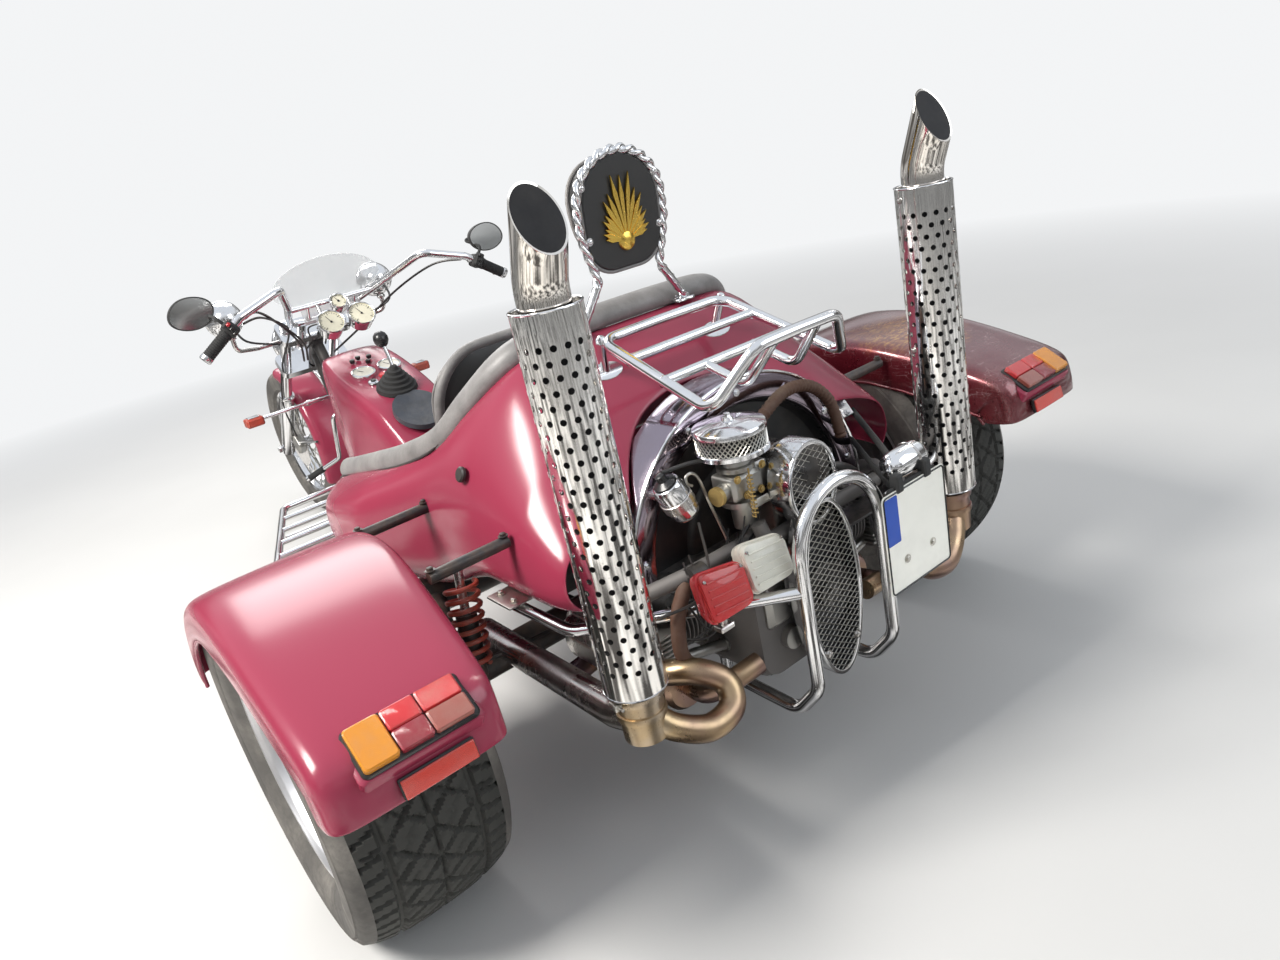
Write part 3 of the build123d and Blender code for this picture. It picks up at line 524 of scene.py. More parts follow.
DUST = Effect(
    "dust",
    [("Base", (0.5, 0.5, 0.5)), ("Dirt", (0.3, 0.26, 0.2)), ("Scale", 5.0), ("Amount", 0.5)],
    [("Color", COLOUR), ("Mask", VALUE)], draw_dust,
)
SCRATCHES = Effect("scratches", [("Amount", 0.5)], [("Mask", VALUE)], draw_scratches)
EDGE_WEAR = Effect("edge_wear", [("Amount", 0.5)], [("Mask", VALUE)], draw_edge_wear)
FLAKE = Effect(
    "metal_flake",
    [
        ("Base", (0.3, 0.0, 0.05)), ("Faded", (0.4, 0.1, 0.15)), ("Flake", (0.8, 0.4, 0.5)),
        ("Amount", 0.3),
    ],
    [("Color", COLOUR)], draw_flake,
)
GRAIN = Effect(
    "leathercloth_grain",
    [("Dark", (0.01, 0.01, 0.01)), ("Light", (0.05, 0.05, 0.05)), ("Scale", 700.0)],
    [("Color", COLOUR), ("Height", VALUE)], draw_grain,
)
SMEAR = Effect("smeared_gloss", [("Low", 0.05), ("High", 0.2)], [("Roughness", VALUE)], draw_smear)
PITS = Effect("rust_pits", [("Scale", 160.0), ("Amount", 0.5)], [("Mask", VALUE)], draw_pits)
TINT = Effect(
    "heat_tint", [("Base", (0.5, 0.5, 0.5)), ("Amount", 0.5)], [("Color", COLOUR)], draw_tint
)


@dataclass(frozen=True)
class Finish:
    """A named surface finish, and the record's slot that it belongs to."""

    name: str
    slot: str

    def dress(self, board: NodeBoard, shader: bpy.types.Node) -> None:
        """Feeds the shader. Each kind of finish has its own."""
        raise NotImplementedError

    def material(self) -> bpy.types.Material:
        """The finish's material, made on first use."""
        found = bpy.data.materials.get(self.name)
        if found:
            return found
        material = bpy.data.materials.new(self.name)
        material.use_nodes = True
        board = NodeBoard(material.node_tree)
        self.dress(board, material.node_tree.nodes["Principled BSDF"])
        return material

    @staticmethod
    def bump(
        board: NodeBoard, shader: bpy.types.Node, height: object, strength: float, depth: float
    ) -> None:
        """Raises the surface by a height map."""
        node = board.add("Bump", {"Height": height, "Strength": strength, "Distance": depth})
        board.tree.links.new(node.outputs["Normal"], shader.inputs["Normal"])


@dataclass(frozen=True)
class Lacquer(Finish):
    """Metallic lacquer under a clear coat, sun-faded, scratched and dusty."""

    base: Colour = (0.088, 0.004, 0.010)
    faded: Colour = (0.160, 0.016, 0.026)
    flake: Colour = (0.42, 0.07, 0.095)
    dirt: float = 0.22

    def dress(self, board: NodeBoard, shader: bpy.types.Node) -> None:
        """Flake colour, scratches, dust, an uneven clear coat."""
        flake = FLAKE.use(board, Base=self.base, Faded=self.faded, Flake=self.flake, Amount=0.32)
        scratch = SCRATCHES.use(board, Amount=0.55)
        marked = board.mix(scratch.outputs["Mask"], flake.outputs["Color"], (0.75, 0.5, 0.52))
        dust = DUST.use(board, Base=marked, Dirt=(0.42, 0.33, 0.28), Scale=4.0, Amount=self.dirt)
        board.tree.links.new(dust.outputs["Color"], shader.inputs["Base Color"])
        smear = SMEAR.use(board, Low=0.22, High=0.40)
        board.tree.links.new(smear.outputs["Roughness"], shader.inputs["Roughness"])
        shader.inputs["Metallic"].default_value = 0.5
        shader.inputs["Coat Weight"].default_value = 1.0
        shader.inputs["Coat Roughness"].default_value = 0.06
        self.bump(board, shader, board.noise(60.0, 2.0), 0.04, 0.002)


@dataclass(frozen=True)
class Polished(Finish):
    """Chrome or polished steel with smears, specks of rust and worn dull patches."""

    base: Colour = (0.83, 0.83, 0.84)
    low: float = 0.05
    high: float = 0.2
    pits: float = 0.5
    tint: float = 0.0
    grime: float = 0.16

    def dress(self, board: NodeBoard, shader: bpy.types.Node) -> None:
        """Smeared gloss with pits, grime and, on hot pipes, heat colours."""
        colour: object = self.base
        if self.tint:
            colour = TINT.use(board, Base=self.base, Amount=self.tint).outputs["Color"]
        pits = PITS.use(board, Scale=170.0, Amount=self.pits)
        rusted = board.mix(pits.outputs["Mask"], colour, (0.13, 0.06, 0.03))
        dust = DUST.use(board, Base=rusted, Dirt=(0.16, 0.13, 0.10), Scale=9.0, Amount=self.grime)
        board.tree.links.new(dust.outputs["Color"], shader.inputs["Base Color"])
        smear = SMEAR.use(board, Low=self.low, High=self.high)
        rough = board.math(
            "ADD", smear.outputs["Roughness"], board.math("MULTIPLY", pits.outputs["Mask"], 0.5)
        )
        rough = board.math(
            "ADD", rough, board.math("MULTIPLY", dust.outputs["Mask"], 0.5), clamp=True
        )
        board.tree.links.new(rough, shader.inputs["Roughness"])
        metal = board.math(
            "SUBTRACT", 1.0, board.math("MULTIPLY", pits.outputs["Mask"], 0.8), clamp=True
        )
        board.tree.links.new(metal, shader.inputs["Metallic"])
        self.bump(board, shader, board.noise(38.0, 3.0), 0.05, 0.0015)


@dataclass(frozen=True)
class Rubber(Finish):
    """Tyre rubber, greyed with road dust, worn paler on the tread."""

    base: Colour = (0.030, 0.029, 0.028)
    dust: Colour = (0.20, 0.18, 0.155)
    worn: Colour = (0.11, 0.10, 0.09)
    amount: float = 0.5

    def dress(self, board: NodeBoard, shader: bpy.types.Node) -> None:
        """Dusty matt rubber with fine grain."""
        dust = DUST.use(board, Base=self.base, Dirt=self.dust, Scale=7.0, Amount=self.amount)
        wear = EDGE_WEAR.use(board, Amount=0.5)
        worn = board.mix(wear.outputs["Mask"], dust.outputs["Color"], self.worn)
        board.tree.links.new(worn, shader.inputs["Base Color"])
        rough = board.spread(board.noise(30.0, 4.0), 0.3, 0.7, 0.62, 0.88)
        board.tree.links.new(rough, shader.inputs["Roughness"])
        self.bump(board, shader, board.noise(420.0, 3.0), 0.25, 0.0006)


@dataclass(frozen=True)
class Vinyl(Finish):
    """Black leathercloth with grain, creases and a little dust."""

    dark: Colour = (0.012, 0.012, 0.013)
    light: Colour = (0.045, 0.045, 0.048)
    scale: float = 620.0
    dirt: float = 0.3

    def dress(self, board: NodeBoard, shader: bpy.types.Node) -> None:
        """Grained colour and height, with dust lying on top."""
        grain = GRAIN.use(board, Dark=self.dark, Light=self.light, Scale=self.scale)
        dust = DUST.use(
            board, Base=grain.outputs["Color"], Dirt=(0.22, 0.20, 0.18), Scale=6.0,
            Amount=self.dirt,
        )
        board.tree.links.new(dust.outputs["Color"], shader.inputs["Base Color"])
        rough = board.spread(board.noise(12.0, 4.0), 0.3, 0.7, 0.38, 0.6)
        board.tree.links.new(rough, shader.inputs["Roughness"])
        shader.inputs["Sheen Weight"].default_value = 0.12
        self.bump(board, shader, grain.outputs["Height"], 0.35, 0.0008)


@dataclass(frozen=True)
class Painted(Finish):
    """Plain paint or plastic with chips, dust and an uneven gloss."""

    base: Colour = (0.02, 0.02, 0.022)
    chip: Colour = (0.10, 0.06, 0.04)
    low: float = 0.3
    high: float = 0.55
    chips: float = 0.5
    dirt: Colour = (0.17, 0.14, 0.11)
    amount: float = 0.4

    def dress(self, board: NodeBoard, shader: bpy.types.Node) -> None:
        """Paint colour with worn edges and dirt."""
        wear = EDGE_WEAR.use(board, Amount=self.chips)
        shades = board.mix(
            board.noise(5.0, 4.0), self.base, tuple(c * 1.25 + 0.004 for c in self.base)
        )
        worn = board.mix(wear.outputs["Mask"], shades, self.chip)
        dust = DUST.use(board, Base=worn, Dirt=self.dirt, Scale=8.0, Amount=self.amount)
        board.tree.links.new(dust.outputs["Color"], shader.inputs["Base Color"])
        smear = SMEAR.use(board, Low=self.low, High=self.high)
        board.tree.links.new(smear.outputs["Roughness"], shader.inputs["Roughness"])
        self.bump(board, shader, board.noise(130.0, 3.0), 0.08, 0.0008)


@dataclass(frozen=True)
class CastMetal(Finish):
    """Bare cast alloy or iron: oxidised, oily and rusty in patches."""

    base: Colour = (0.30, 0.29, 0.27)
    oil: Colour = (0.035, 0.028, 0.02)
    rust: Colour = (0.16, 0.075, 0.035)
    rusty: float = 0.4
    oily: float = 0.8
    metallic: float = 0.7

    def dress(self, board: NodeBoard, shader: bpy.types.Node) -> None:
        """Patches of oil and rust over rough metal."""
        pits = PITS.use(board, Scale=60.0, Amount=self.rusty)
        broad = board.spread(board.noise(7.0, 5.0, 0.7), 0.5, 0.66)
        rust = board.math(
            "MAXIMUM", pits.outputs["Mask"], board.math("MULTIPLY", broad, self.rusty)
        )
        rusted = board.mix(rust, self.base, self.rust)
        oil = DUST.use(board, Base=rusted, Dirt=self.oil, Scale=11.0, Amount=self.oily)
        board.tree.links.new(oil.outputs["Color"], shader.inputs["Base Color"])
        metal = board.math("MULTIPLY", board.math("SUBTRACT", 1.0, rust, clamp=True), self.metallic)
        board.tree.links.new(metal, shader.inputs["Metallic"])
        rough = board.spread(board.noise(25.0, 4.0), 0.3, 0.7, 0.42, 0.75)
        board.tree.links.new(rough, shader.inputs["Roughness"])
        self.bump(board, shader, board.noise(240.0, 4.0), 0.35, 0.0008)


@dataclass(frozen=True)
class Lens(Finish):
    """Moulded lamp lens with fine ribs, seen as deep coloured plastic with painted highlights along the ribs."""

    base: Colour = (0.6, 0.02, 0.02)
    rib_highlight: Colour = (0.75, 0.05, 0.03)
    rib: float = 260.0

    def dress(self, board: NodeBoard, shader: bpy.types.Node) -> None:
        """Ribs in the height, painted highlights in the tone along the ribs, dust in the grooves."""
        place = board.place()
        ribs = board.add(
            "TexWave", {"Vector": place, "Scale": self.rib, "Distortion": 0.0}, bands_direction="X"
        )
        # Lighter rib bands are painted highlights.
        tone = board.mix(board.spread(ribs.outputs["Fac"], 0.2, 0.9), self.base, self.rib_highlight)
        dust = DUST.use(board, Base=tone, Dirt=(0.3, 0.24, 0.2), Scale=20.0, Amount=0.25)
        board.tree.links.new(dust.outputs["Color"], shader.inputs["Base Color"])
        board.tree.links.new(
            SMEAR.use(board, Low=0.06, High=0.2).outputs["Roughness"], shader.inputs["Roughness"]
        )
        shader.inputs["Coat Weight"].default_value = 0.8
        shader.inputs["Coat Roughness"].default_value = 0.04
        self.bump(board, shader, ribs.outputs["Fac"], 0.25, 0.0008)


@dataclass(frozen=True)
class Clear(Finish):
    """Clear plastic sheet or glass, faintly dusty."""

    tint: Colour = (0.93, 0.95, 0.95)

    def dress(self, board: NodeBoard, shader: bpy.types.Node) -> None:
        """Plain transmission with a little haze."""
        dust = DUST.use(board, Base=self.tint, Dirt=(0.75, 0.74, 0.7), Scale=10.0, Amount=0.3)
        board.tree.links.new(dust.outputs["Color"], shader.inputs["Base Color"])
        board.tree.links.new(
            SMEAR.use(board, Low=0.02, High=0.1).outputs["Roughness"], shader.inputs["Roughness"]
        )
        shader.inputs["Transmission Weight"].default_value = 1.0
        shader.inputs["Metallic"].default_value = 0.0
        shader.inputs["IOR"].default_value = 1.2


@dataclass(frozen=True)
class PaintedReflection(Lacquer):
    """Lacquer with a painted reflection: a mottled gold and brown patch round one place."""

    # Middle and radius of the painted reflection, in metres.
    centre: tuple[float, float, float] = (0.0, 0.0, 0.0)
    reach: float = 0.2

    def dress(self, board: NodeBoard, shader: bpy.types.Node) -> None:
        """The lacquer, with the painted reflection laid over its colour."""
        Lacquer.dress(self, board, shader)
        under = shader.inputs["Base Color"].links[0].from_socket
        offset = board.add("VectorMath", {0: board.place(), 1: self.centre}, operation="DISTANCE")
        ragged = board.math(
            "ADD", offset.outputs["Value"], board.math("MULTIPLY", board.noise(9.0, 5.0), 0.16)
        )
        # Painted reflection: gold and brown mottle, faded out at a ragged edge.
        fade = board.spread(ragged, self.reach, self.reach + 0.07, 1.0, 0.0)
        strokes = board.noise(48.0, 6.0, 0.75, board.stretched(1.0, 2.2, 1.4))
        ramp = board.add("ValToRGB", {"Fac": strokes})
        first, last = ramp.color_ramp.elements
        first.position, first.color = 0.36, (0.09, 0.02, 0.012, 1)
        last.position, last.color = 0.64, (0.55, 0.30, 0.05, 1)
        middle = ramp.color_ramp.elements.new(0.5)
        middle.color = (0.26, 0.07, 0.02, 1)
        mixed = board.mix(board.math("MULTIPLY", fade, 0.85), under, ramp.outputs["Color"])
        board.tree.links.new(mixed, shader.inputs["Base Color"])


MAROON = Lacquer("maroon_lacquer", "maroon_lacquer")
# Maroon lacquer with a painted reflection in gold and brown on the fender's crown.
MAROON_PAINTED_REFLECTION = PaintedReflection(
    "maroon_painted_reflection", "maroon_lacquer", centre=tuple(at(-735, 190, 700)), reach=0.16
)
CHROME = Polished("chrome_bright", "chrome")
CHROME_DULL = Polished(
    "chrome_dulled", "chrome", base=(0.66, 0.64, 0.62), low=0.12, high=0.34, pits=0.8, grime=0.4
)
SMOKED = Polished(
    "smoked_chrome", "chrome", base=(0.34, 0.29, 0.34), low=0.05, high=0.2, pits=0.4, grime=0.25
)
SHIELD = Polished(
    "shield_chrome", "chrome", base=(0.90, 0.88, 0.85), low=0.04, high=0.17, pits=0.3, grime=0.1
)
MOUTH_CHROME = Polished(
    "mouth_chrome", "chrome_pipe", base=(0.90, 0.86, 0.80), low=0.04, high=0.15, pits=0.4,
    tint=0.06, grime=0.1,
)
HOT_PIPE = Polished(
    "heat_tinted_pipe", "chrome_pipe", base=(0.46, 0.40, 0.35), low=0.18, high=0.42, pits=1.0,
    tint=0.7, grime=0.5,
)
THICK_PIPE = Polished(
    "silencer_pipe", "chrome_pipe", base=(0.72, 0.70, 0.67), low=0.14, high=0.34, pits=0.6,
    tint=0.15, grime=0.3,
)
# Matt black: soot inside the stack mouths, painted shade on the pipe under each shield and behind the belt guard's
# mesh, and a band behind the air filter's weave.
SOOT_AND_SHADE = Painted(
    "exhaust_soot", "chrome_pipe", base=(0.012, 0.012, 0.014), low=0.7, high=0.9, chips=0.0,
    amount=0.15,
)
TYRE = Rubber(
    "tyre_rubber", "tyre_rubber", base=(0.125, 0.108, 0.092), dust=(0.34, 0.29, 0.24),
    worn=(0.25, 0.215, 0.18), amount=1.0,
)
TYRE_WALL = Rubber(
    "tyre_sidewall", "tyre_rubber", base=(0.085, 0.080, 0.074), dust=(0.34, 0.315, 0.28),
    amount=0.9,
)
ALLOY = Polished(
    "wheel_alloy", "wheel_alloy", base=(0.68, 0.68, 0.69), low=0.18, high=0.36, pits=0.3,
    grime=0.35,
)
FRAME_BLACK = Painted("frame_black", "black_frame")
VINYL = Vinyl("black_vinyl", "black_vinyl")
TRIM = Vinyl(
    "grey_edge_trim", "black_vinyl", dark=(0.14, 0.135, 0.132), light=(0.30, 0.29, 0.285),
    scale=500.0, dirt=0.5,
)
GRIP = Rubber(
    "grip_rubber", "grip_rubber", base=(0.015, 0.015, 0.016), dust=(0.08, 0.08, 0.08), amount=0.3
)
PLASTIC = Painted(
    "black_plastic", "black_plastic", base=(0.015, 0.015, 0.016), low=0.3, high=0.5, chips=0.2
)
ENGINE_ALLOY = CastMetal("engine_alloy", "engine_alloy")
ENGINE_IRON = CastMetal("engine_iron", "engine_iron", base=(0.12, 0.11, 0.10), rusty=0.7)
ENGINE_BLACK = Painted(
    "engine_tinware", "engine_alloy", base=(0.016, 0.016, 0.017), chip=(0.2, 0.19, 0.18), low=0.25,
    high=0.5, chips=0.8, amount=0.55,
)
BRASS = CastMetal(
    "yellowed_zinc", "engine_alloy", base=(0.55, 0.40, 0.16), rusty=0.25, oily=0.4, metallic=0.9
)
RED_METAL = Painted(
    "red_pump", "engine_alloy", base=(0.38, 0.05, 0.03), low=0.3, high=0.5, amount=0.5
)
RUST_HOSE = Painted(
    "rusty_hose", "engine_iron", base=(0.070, 0.028, 0.015), chip=(0.15, 0.07, 0.04), low=0.6,
    high=0.85, chips=0.8, amount=0.6,
)
CABLE = Painted(
    "cable_black", "black_plastic", base=(0.014, 0.014, 0.015), low=0.35, high=0.55, chips=0.0,
    amount=0.35,
)
STEEL_WIRE = Polished("zinc_wire", "chrome", base=(0.62, 0.60, 0.55), low=0.2, high=0.4, pits=0.3)
MIRROR = Polished(
    "mirror_glass", "mirror_glass", base=(0.9, 0.92, 0.92), low=0.01, high=0.03, pits=0.02,
    grime=0.08,
)
RED_LENS = Lens("red_lens", "lamp_lens", base=(0.42, 0.012, 0.018), rib_highlight=(0.72, 0.04, 0.04))
DARK_RED_LENS = Lens(
    "dark_red_lens", "lamp_lens", base=(0.20, 0.008, 0.018), rib_highlight=(0.34, 0.02, 0.035)
)
AMBER_LENS = Lens("amber_lens", "lamp_lens", base=(0.50, 0.15, 0.008), rib_highlight=(0.85, 0.36, 0.02))
SMOKE_LENS = Lens("smoked_lens", "lamp_lens", base=(0.24, 0.06, 0.045), rib_highlight=(0.42, 0.13, 0.10))
WHITE_LENS = Lens(
    "white_lens", "lamp_lens", base=(0.62, 0.61, 0.52), rib_highlight=(0.85, 0.84, 0.76), rib=300.0
)
REFLECTOR = Lens(
    "reflector_red", "lamp_lens", base=(0.40, 0.01, 0.01), rib_highlight=(0.95, 0.10, 0.06), rib=700.0
)
LAMP_GLASS = Polished(
    "lamp_glass", "chrome", base=(0.85, 0.87, 0.88), low=0.03, high=0.1, pits=0.02
)
RED_SHELL = Painted(
    "red_lamp_shell", "lamp_lens", base=(0.50, 0.02, 0.03), chip=(0.5, 0.1, 0.1), low=0.15,
    high=0.3, chips=0.2, amount=0.2,
)
WHITE_SHELL = Painted(
    "white_lamp_shell", "lamp_lens", base=(0.62, 0.60, 0.53), chip=(0.5, 0.5, 0.45), low=0.2,
    high=0.35, chips=0.2, amount=0.3,
)
PLATE_FACE = Painted(
    "plate_face", "plate_white", base=(0.84, 0.83, 0.76), chip=(0.6, 0.6, 0.55), low=0.3,
    high=0.45, chips=0.1, amount=0.25,
)
PLATE_BLUE = Painted(
    "plate_blue", "plate_white", base=(0.01, 0.07, 0.42), chip=(0.1, 0.15, 0.45), low=0.3,
    high=0.45, chips=0.1, amount=0.2,
)
BLACK_INK = Painted(
    "black_enamel", "black_plastic", base=(0.012, 0.012, 0.013), low=0.2, high=0.35, chips=0.0,
    amount=0.15,
)
GOLD = Polished(
    "gilt_badge", "chrome", base=(0.92, 0.62, 0.13), low=0.16, high=0.32, pits=0.1, grime=0.35
)
DIAL = Painted(
    "dial_face", "chrome", base=(0.66, 0.63, 0.50), chip=(0.6, 0.6, 0.5), low=0.25, high=0.4,
    chips=0.0, amount=0.2,
)
SCREEN = Clear("clear_screen", "clear_screen")
BLUE_CLOTH = Vinyl(
    "seat_cover_blue", "black_vinyl", dark=(0.012, 0.016, 0.024), light=(0.03, 0.04, 0.06),
    scale=500.0,
)


class Sculpt:
    """Collects the faces of one piece, each with its finish, and makes it a shown object."""

    def __init__(self, name: str, finish: Finish) -> None:
        """Starts an empty piece with the finish of its first faces."""
        self.name = name
        self.bm = bmesh.new()
        self.finishes: list[Finish] = []
        self.index = 0
        self.use(finish)

    def use(self, finish: Finish) -> "Sculpt":
        """Sets the finish of the faces that follow."""
        if finish not in self.finishes:
            self.finishes.append(finish)
        self.index = self.finishes.index(finish)
        return self

    def face(self, verts: Sequence[bmesh.types.BMVert]) -> None:
        """Adds one face, unless its corners fall together."""
        unique = list(dict.fromkeys(verts))
        if len(unique) < 3:
            return
        try:
            made = self.bm.faces.new(unique)
        except ValueError:
            return
        made.material_index = self.index

    def loft(
        self, rings: Sequence[Sequence[Vector]], wrap: bool = True, caps: bool = True,
        loop: bool = False,
    ) -> None:
        """Skins rings of equal length.

        Args:
            rings: The sections, in order.
            wrap: Whether each ring closes on itself.
            caps: Whether the first and last ring are filled.
            loop: Whether the last ring joins the first.
        """
        rows = [[self.bm.verts.new(p) for p in ring] for ring in rings]
        size = len(rows[0])
        pairs = list(zip(rows, rows[1:])) + ([(rows[-1], rows[0])] if loop else [])
        for low, high in pairs:
            for i in range(size if wrap else size - 1):
                j = (i + 1) % size
                self.face((low[i], low[j], high[j], high[i]))
        if wrap and caps and not loop:
            self.face(rows[0][::-1])
            self.face(rows[-1])

    def tube(
        self,
        route: Sequence[Vector],
        radius: float | Sequence[float],
        sides: int = 14,
        closed: bool = False,
        flat: float = 1.0,
        twist: float = 0.0,
        up: Vector | None = None,
    ) -> None:
        """Sweeps a round or flattened bar along a route.

        Args:
            route: Points of the middle line.
            radius: Radius in millimetres, one or one for each point.
            sides: Corners of the section.
            closed: Whether the route ends where it starts.
            flat: The section's second half-axis as a share of its first.
            twist: Turns of the section per metre.
            up: Direction of the section's first half-axis at the start.
        """
        count = len(route)
        radii = list(radius) if isinstance(radius, Sequence) else [radius] * count
        heading = (route[1] - route[0]).normalized()
        axis = up if up is not None else (
            Vector((0, 0, 1)) if abs(heading.z) < 0.9 else Vector((0, 1, 0))
        )
        side = (axis - heading * axis.dot(heading)).normalized()
        rings = []
        travelled = 0.0
        for i, here in enumerate(route):
            after = route[(i + 1) % count] if closed or i + 1 < count else here
            before = route[i - 1] if closed or i > 0 else here
            tangent = (after - before).normalized()
            side = (side - tangent * side.dot(tangent)).normalized()
            other = tangent.cross(side)
            if i:
                travelled += (here - route[i - 1]).length
            spin = math.tau * twist * travelled
            ring = []
            for k in range(sides):
                angle = math.tau * k / sides
                u, v = math.cos(angle), math.sin(angle) * flat
                cosine, sine = math.cos(spin), math.sin(spin)
                u, v = u * cosine - v * sine, u * sine + v * cosine
                ring.append(here + (side * u + other * v) * radii[i] * MM)
            rings.append(ring)
        self.loft(rings, loop=closed)

    def rod(self, start: Vector, end: Vector, radius: float, sides: int = 14) -> None:
        """A straight round bar."""
        self.tube([start, end], radius, sides)

    def lathe(
        self,
        profile: Sequence[tuple[float, float]],
        origin: Vector,
        axis: Vector,
        segments: int = 40,
        sweep: float = 360.0,
        start: float = 0.0,
        zero: Vector | None = None,
        close: bool = False,
    ) -> None:
        """Turns a profile about an axis.

        Args:
            profile: Radius and height pairs in millimetres.
            origin: The place of height nought on the axis.
            axis: The axis's direction.
            segments: Faces round.
            sweep: Angle turned through, in degrees.
            start: First angle, in degrees from zero.
            zero: Direction of angle nought.
            close: Whether the profile's end joins its start.
        """
        axis = axis.normalized()
        seed = zero if zero is not None else (
            Vector((0, 0, 1)) if abs(axis.z) < 0.9 else Vector((1, 0, 0))
        )
        u = (seed - axis * seed.dot(axis)).normalized()
        v = axis.cross(u)
        full = sweep >= 360
        points = list(profile) + ([profile[0]] if close else [])
        rings = []
        for k in range(segments if full else segments + 1):
            angle = math.radians(start + sweep * k / segments)
            outward = u * math.cos(angle) + v * math.sin(angle)
            rings.append([origin + (outward * r + axis * h) * MM for r, h in points])
        self.loft(rings, wrap=False, caps=False, loop=full)

    def slab(
        self, outline: Sequence[tuple[float, float]], origin: Vector, right: Vector, up: Vector,
        depth: float, inset: float = 0.0,
    ) -> None:
        """A flat plate from an outline.

        Args:
            outline: Its corners in millimetres, along right and up.
            origin: The place of the outline's nought.
            right: Its first direction.
            up: Its second direction.
            depth: Thickness in millimetres along right x up.
            inset: How much the far face's rim is drawn in, for a soft edge.
        """
        normal = right.cross(up).normalized()
        base = [origin + (right * x + up * y) * MM for x, y in outline]
        rings = [base]
        if inset:
            middle = sum(base, Vector()) / len(base)
            lifted = [p + normal * (depth - inset) * MM for p in base]
            rings.append(lifted)
            rings.append(
                [p + (middle - p).normalized() * inset * MM + normal * inset * MM for p in lifted]
            # The right fender's lacquer carries a painted reflection.
            )
        else:
            rings.append([p + normal * depth * MM for p in base])
        self.loft(rings)

    def box(
        self, centre: Vector, size: tuple[float, float, float], right: Vector | None = None,
        up: Vector | None = None, bevel: float = 2.0,
    ) -> None:
        """A block with softened edges, by its middle and its size in millimetres."""
        right = (right or Vector((1, 0, 0))).normalized()
        up = (up or Vector((0, 0, 1))).normalized()
        deep = right.cross(up)
        w, d, h = (s / 2 for s in size)
        b = min(bevel, w * 0.8, d * 0.8, h * 0.8)
        outline = rounded_outline(2 * w, 2 * h, b, 3)
        small = rounded_outline(2 * (w - b), 2 * (h - b), b * 0.4, 3)
        rings = []
        for shape, along in ((small, -d), (outline, -d + b), (outline, d - b), (small, d)):
            rings.append([centre + (right * x + up * z - deep * along) * MM for x, z in shape])
        self.loft(rings)

    def bolt(
        self, place: Vector, out: Vector, size: float = 6.0, height: float = 5.0,
        washer: bool = True,
    ) -> None:
        """A hexagon head on a washer."""
        if washer:
            self.lathe([(0, 1.4), (size * 1.5, 1.4), (size * 1.5, 0)], place, out, 14)
        self.lathe(
            [(0, height + 1.4), (size * 0.8, height + 1.4), (size, height + 0.6), (size, 1.2)],
            place, out, 6,
        )

    def made(
        self,
        body: Body,
        replaces: Sequence[str] = (),
        smooth: float = SMOOTH_ANGLE,
        levels: int = 0,
        thickness: float = 0.0,
        bevel: float = 0.0,
        weld: float = 0.01,
    ) -> bpy.types.Object:
        """Closes the piece off and puts it in the scene.

        Args:
            body: The body it rides on.
            replaces: The frame's nodes that it stands for.
            smooth: Angle in degrees up to which faces shade as one.
            levels: Subdivision levels.
            thickness: Wall in millimetres grown inwards from a skin.
            bevel: Width in millimetres of softened edges.
            weld: Corners closer than this many millimetres become one.

        Returns:
            The shown object.
        """
        bmesh.ops.remove_doubles(self.bm, verts=self.bm.verts, dist=weld * MM)
        bmesh.ops.recalc_face_normals(self.bm, faces=self.bm.faces)
        mesh = bpy.data.meshes.new(self.name)
        self.bm.to_mesh(mesh)
        self.bm.free()
        for finish in self.finishes:
            mesh.materials.append(finish.material())
        mesh.polygons.foreach_set("use_smooth", [True] * len(mesh.polygons))
        obj = bpy.data.objects.new(self.name, mesh)
        bpy.context.scene.collection.objects.link(obj)
        if thickness:
            wall = obj.modifiers.new("wall", "SOLIDIFY")
            wall.thickness, wall.offset = thickness * MM, -1.0
        if bevel:
            soft = obj.modifiers.new("soft edges", "BEVEL")
            soft.width, soft.segments, soft.limit_method = bevel * MM, 2, "ANGLE"
            soft.angle_limit = math.radians(40)
        if levels:
            fine = obj.modifiers.new("fine", "SUBSURF")
            fine.levels = fine.render_levels = levels
        elif obj.modifiers:
            graph = bpy.context.evaluated_depsgraph_get()
            obj.data = bpy.data.meshes.new_from_object(obj.evaluated_get(graph))
            obj.modifiers.clear()
            obj.data.set_sharp_from_angle(angle=math.radians(smooth))
        else:
            mesh.set_sharp_from_angle(angle=math.radians(smooth))
        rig.slot(obj, self.finishes[0].slot)
        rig.ride(obj, body.value)
        if replaces:
            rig.replaces(obj, *replaces)
        log.info("%s: %d faces", self.name, len(mesh.polygons))
        return obj


X = Vector((1, 0, 0))
Y = Vector((0, 1, 0))
Z = Vector((0, 0, 1))


def dressed(node: str, finish: Finish) -> bpy.types.Object:
    """Gives a carried-over frame node a finish of its own."""
    obj = frame["nodes"][node]
    for index in range(len(obj.data.materials)):
        obj.data.materials[index] = finish.material()
    log.info("%s: carried over, %s", node, finish.name)
    return obj


def around(centre: Vector, u: Vector, v: Vector, angle: float, radius: float) -> Vector:
    """The place at an angle on a circle of so many millimetres in the plane of two directions."""
    return centre + (u * math.cos(angle) + v * math.sin(angle)) * radius * MM


def facing(right: Vector, up: Vector, out: Vector, depth: float) -> float:
    """A slab's depth with the sign that makes it grow along the outward direction."""
    return depth if right.cross(up).dot(out) > 0 else -depth


def ellipse_ring(
    centre: Vector, u: Vector, v: Vector, a: float, b: float, sides: int
) -> list[Vector]:
    """Points of an ellipse with half-axes in millimetres."""
    return [
        centre + (
            u * a * math.cos(math.tau * k / sides) + v * b * math.sin(math.tau * k / sides)
        ) * MM
        for k in range(sides)
    ]


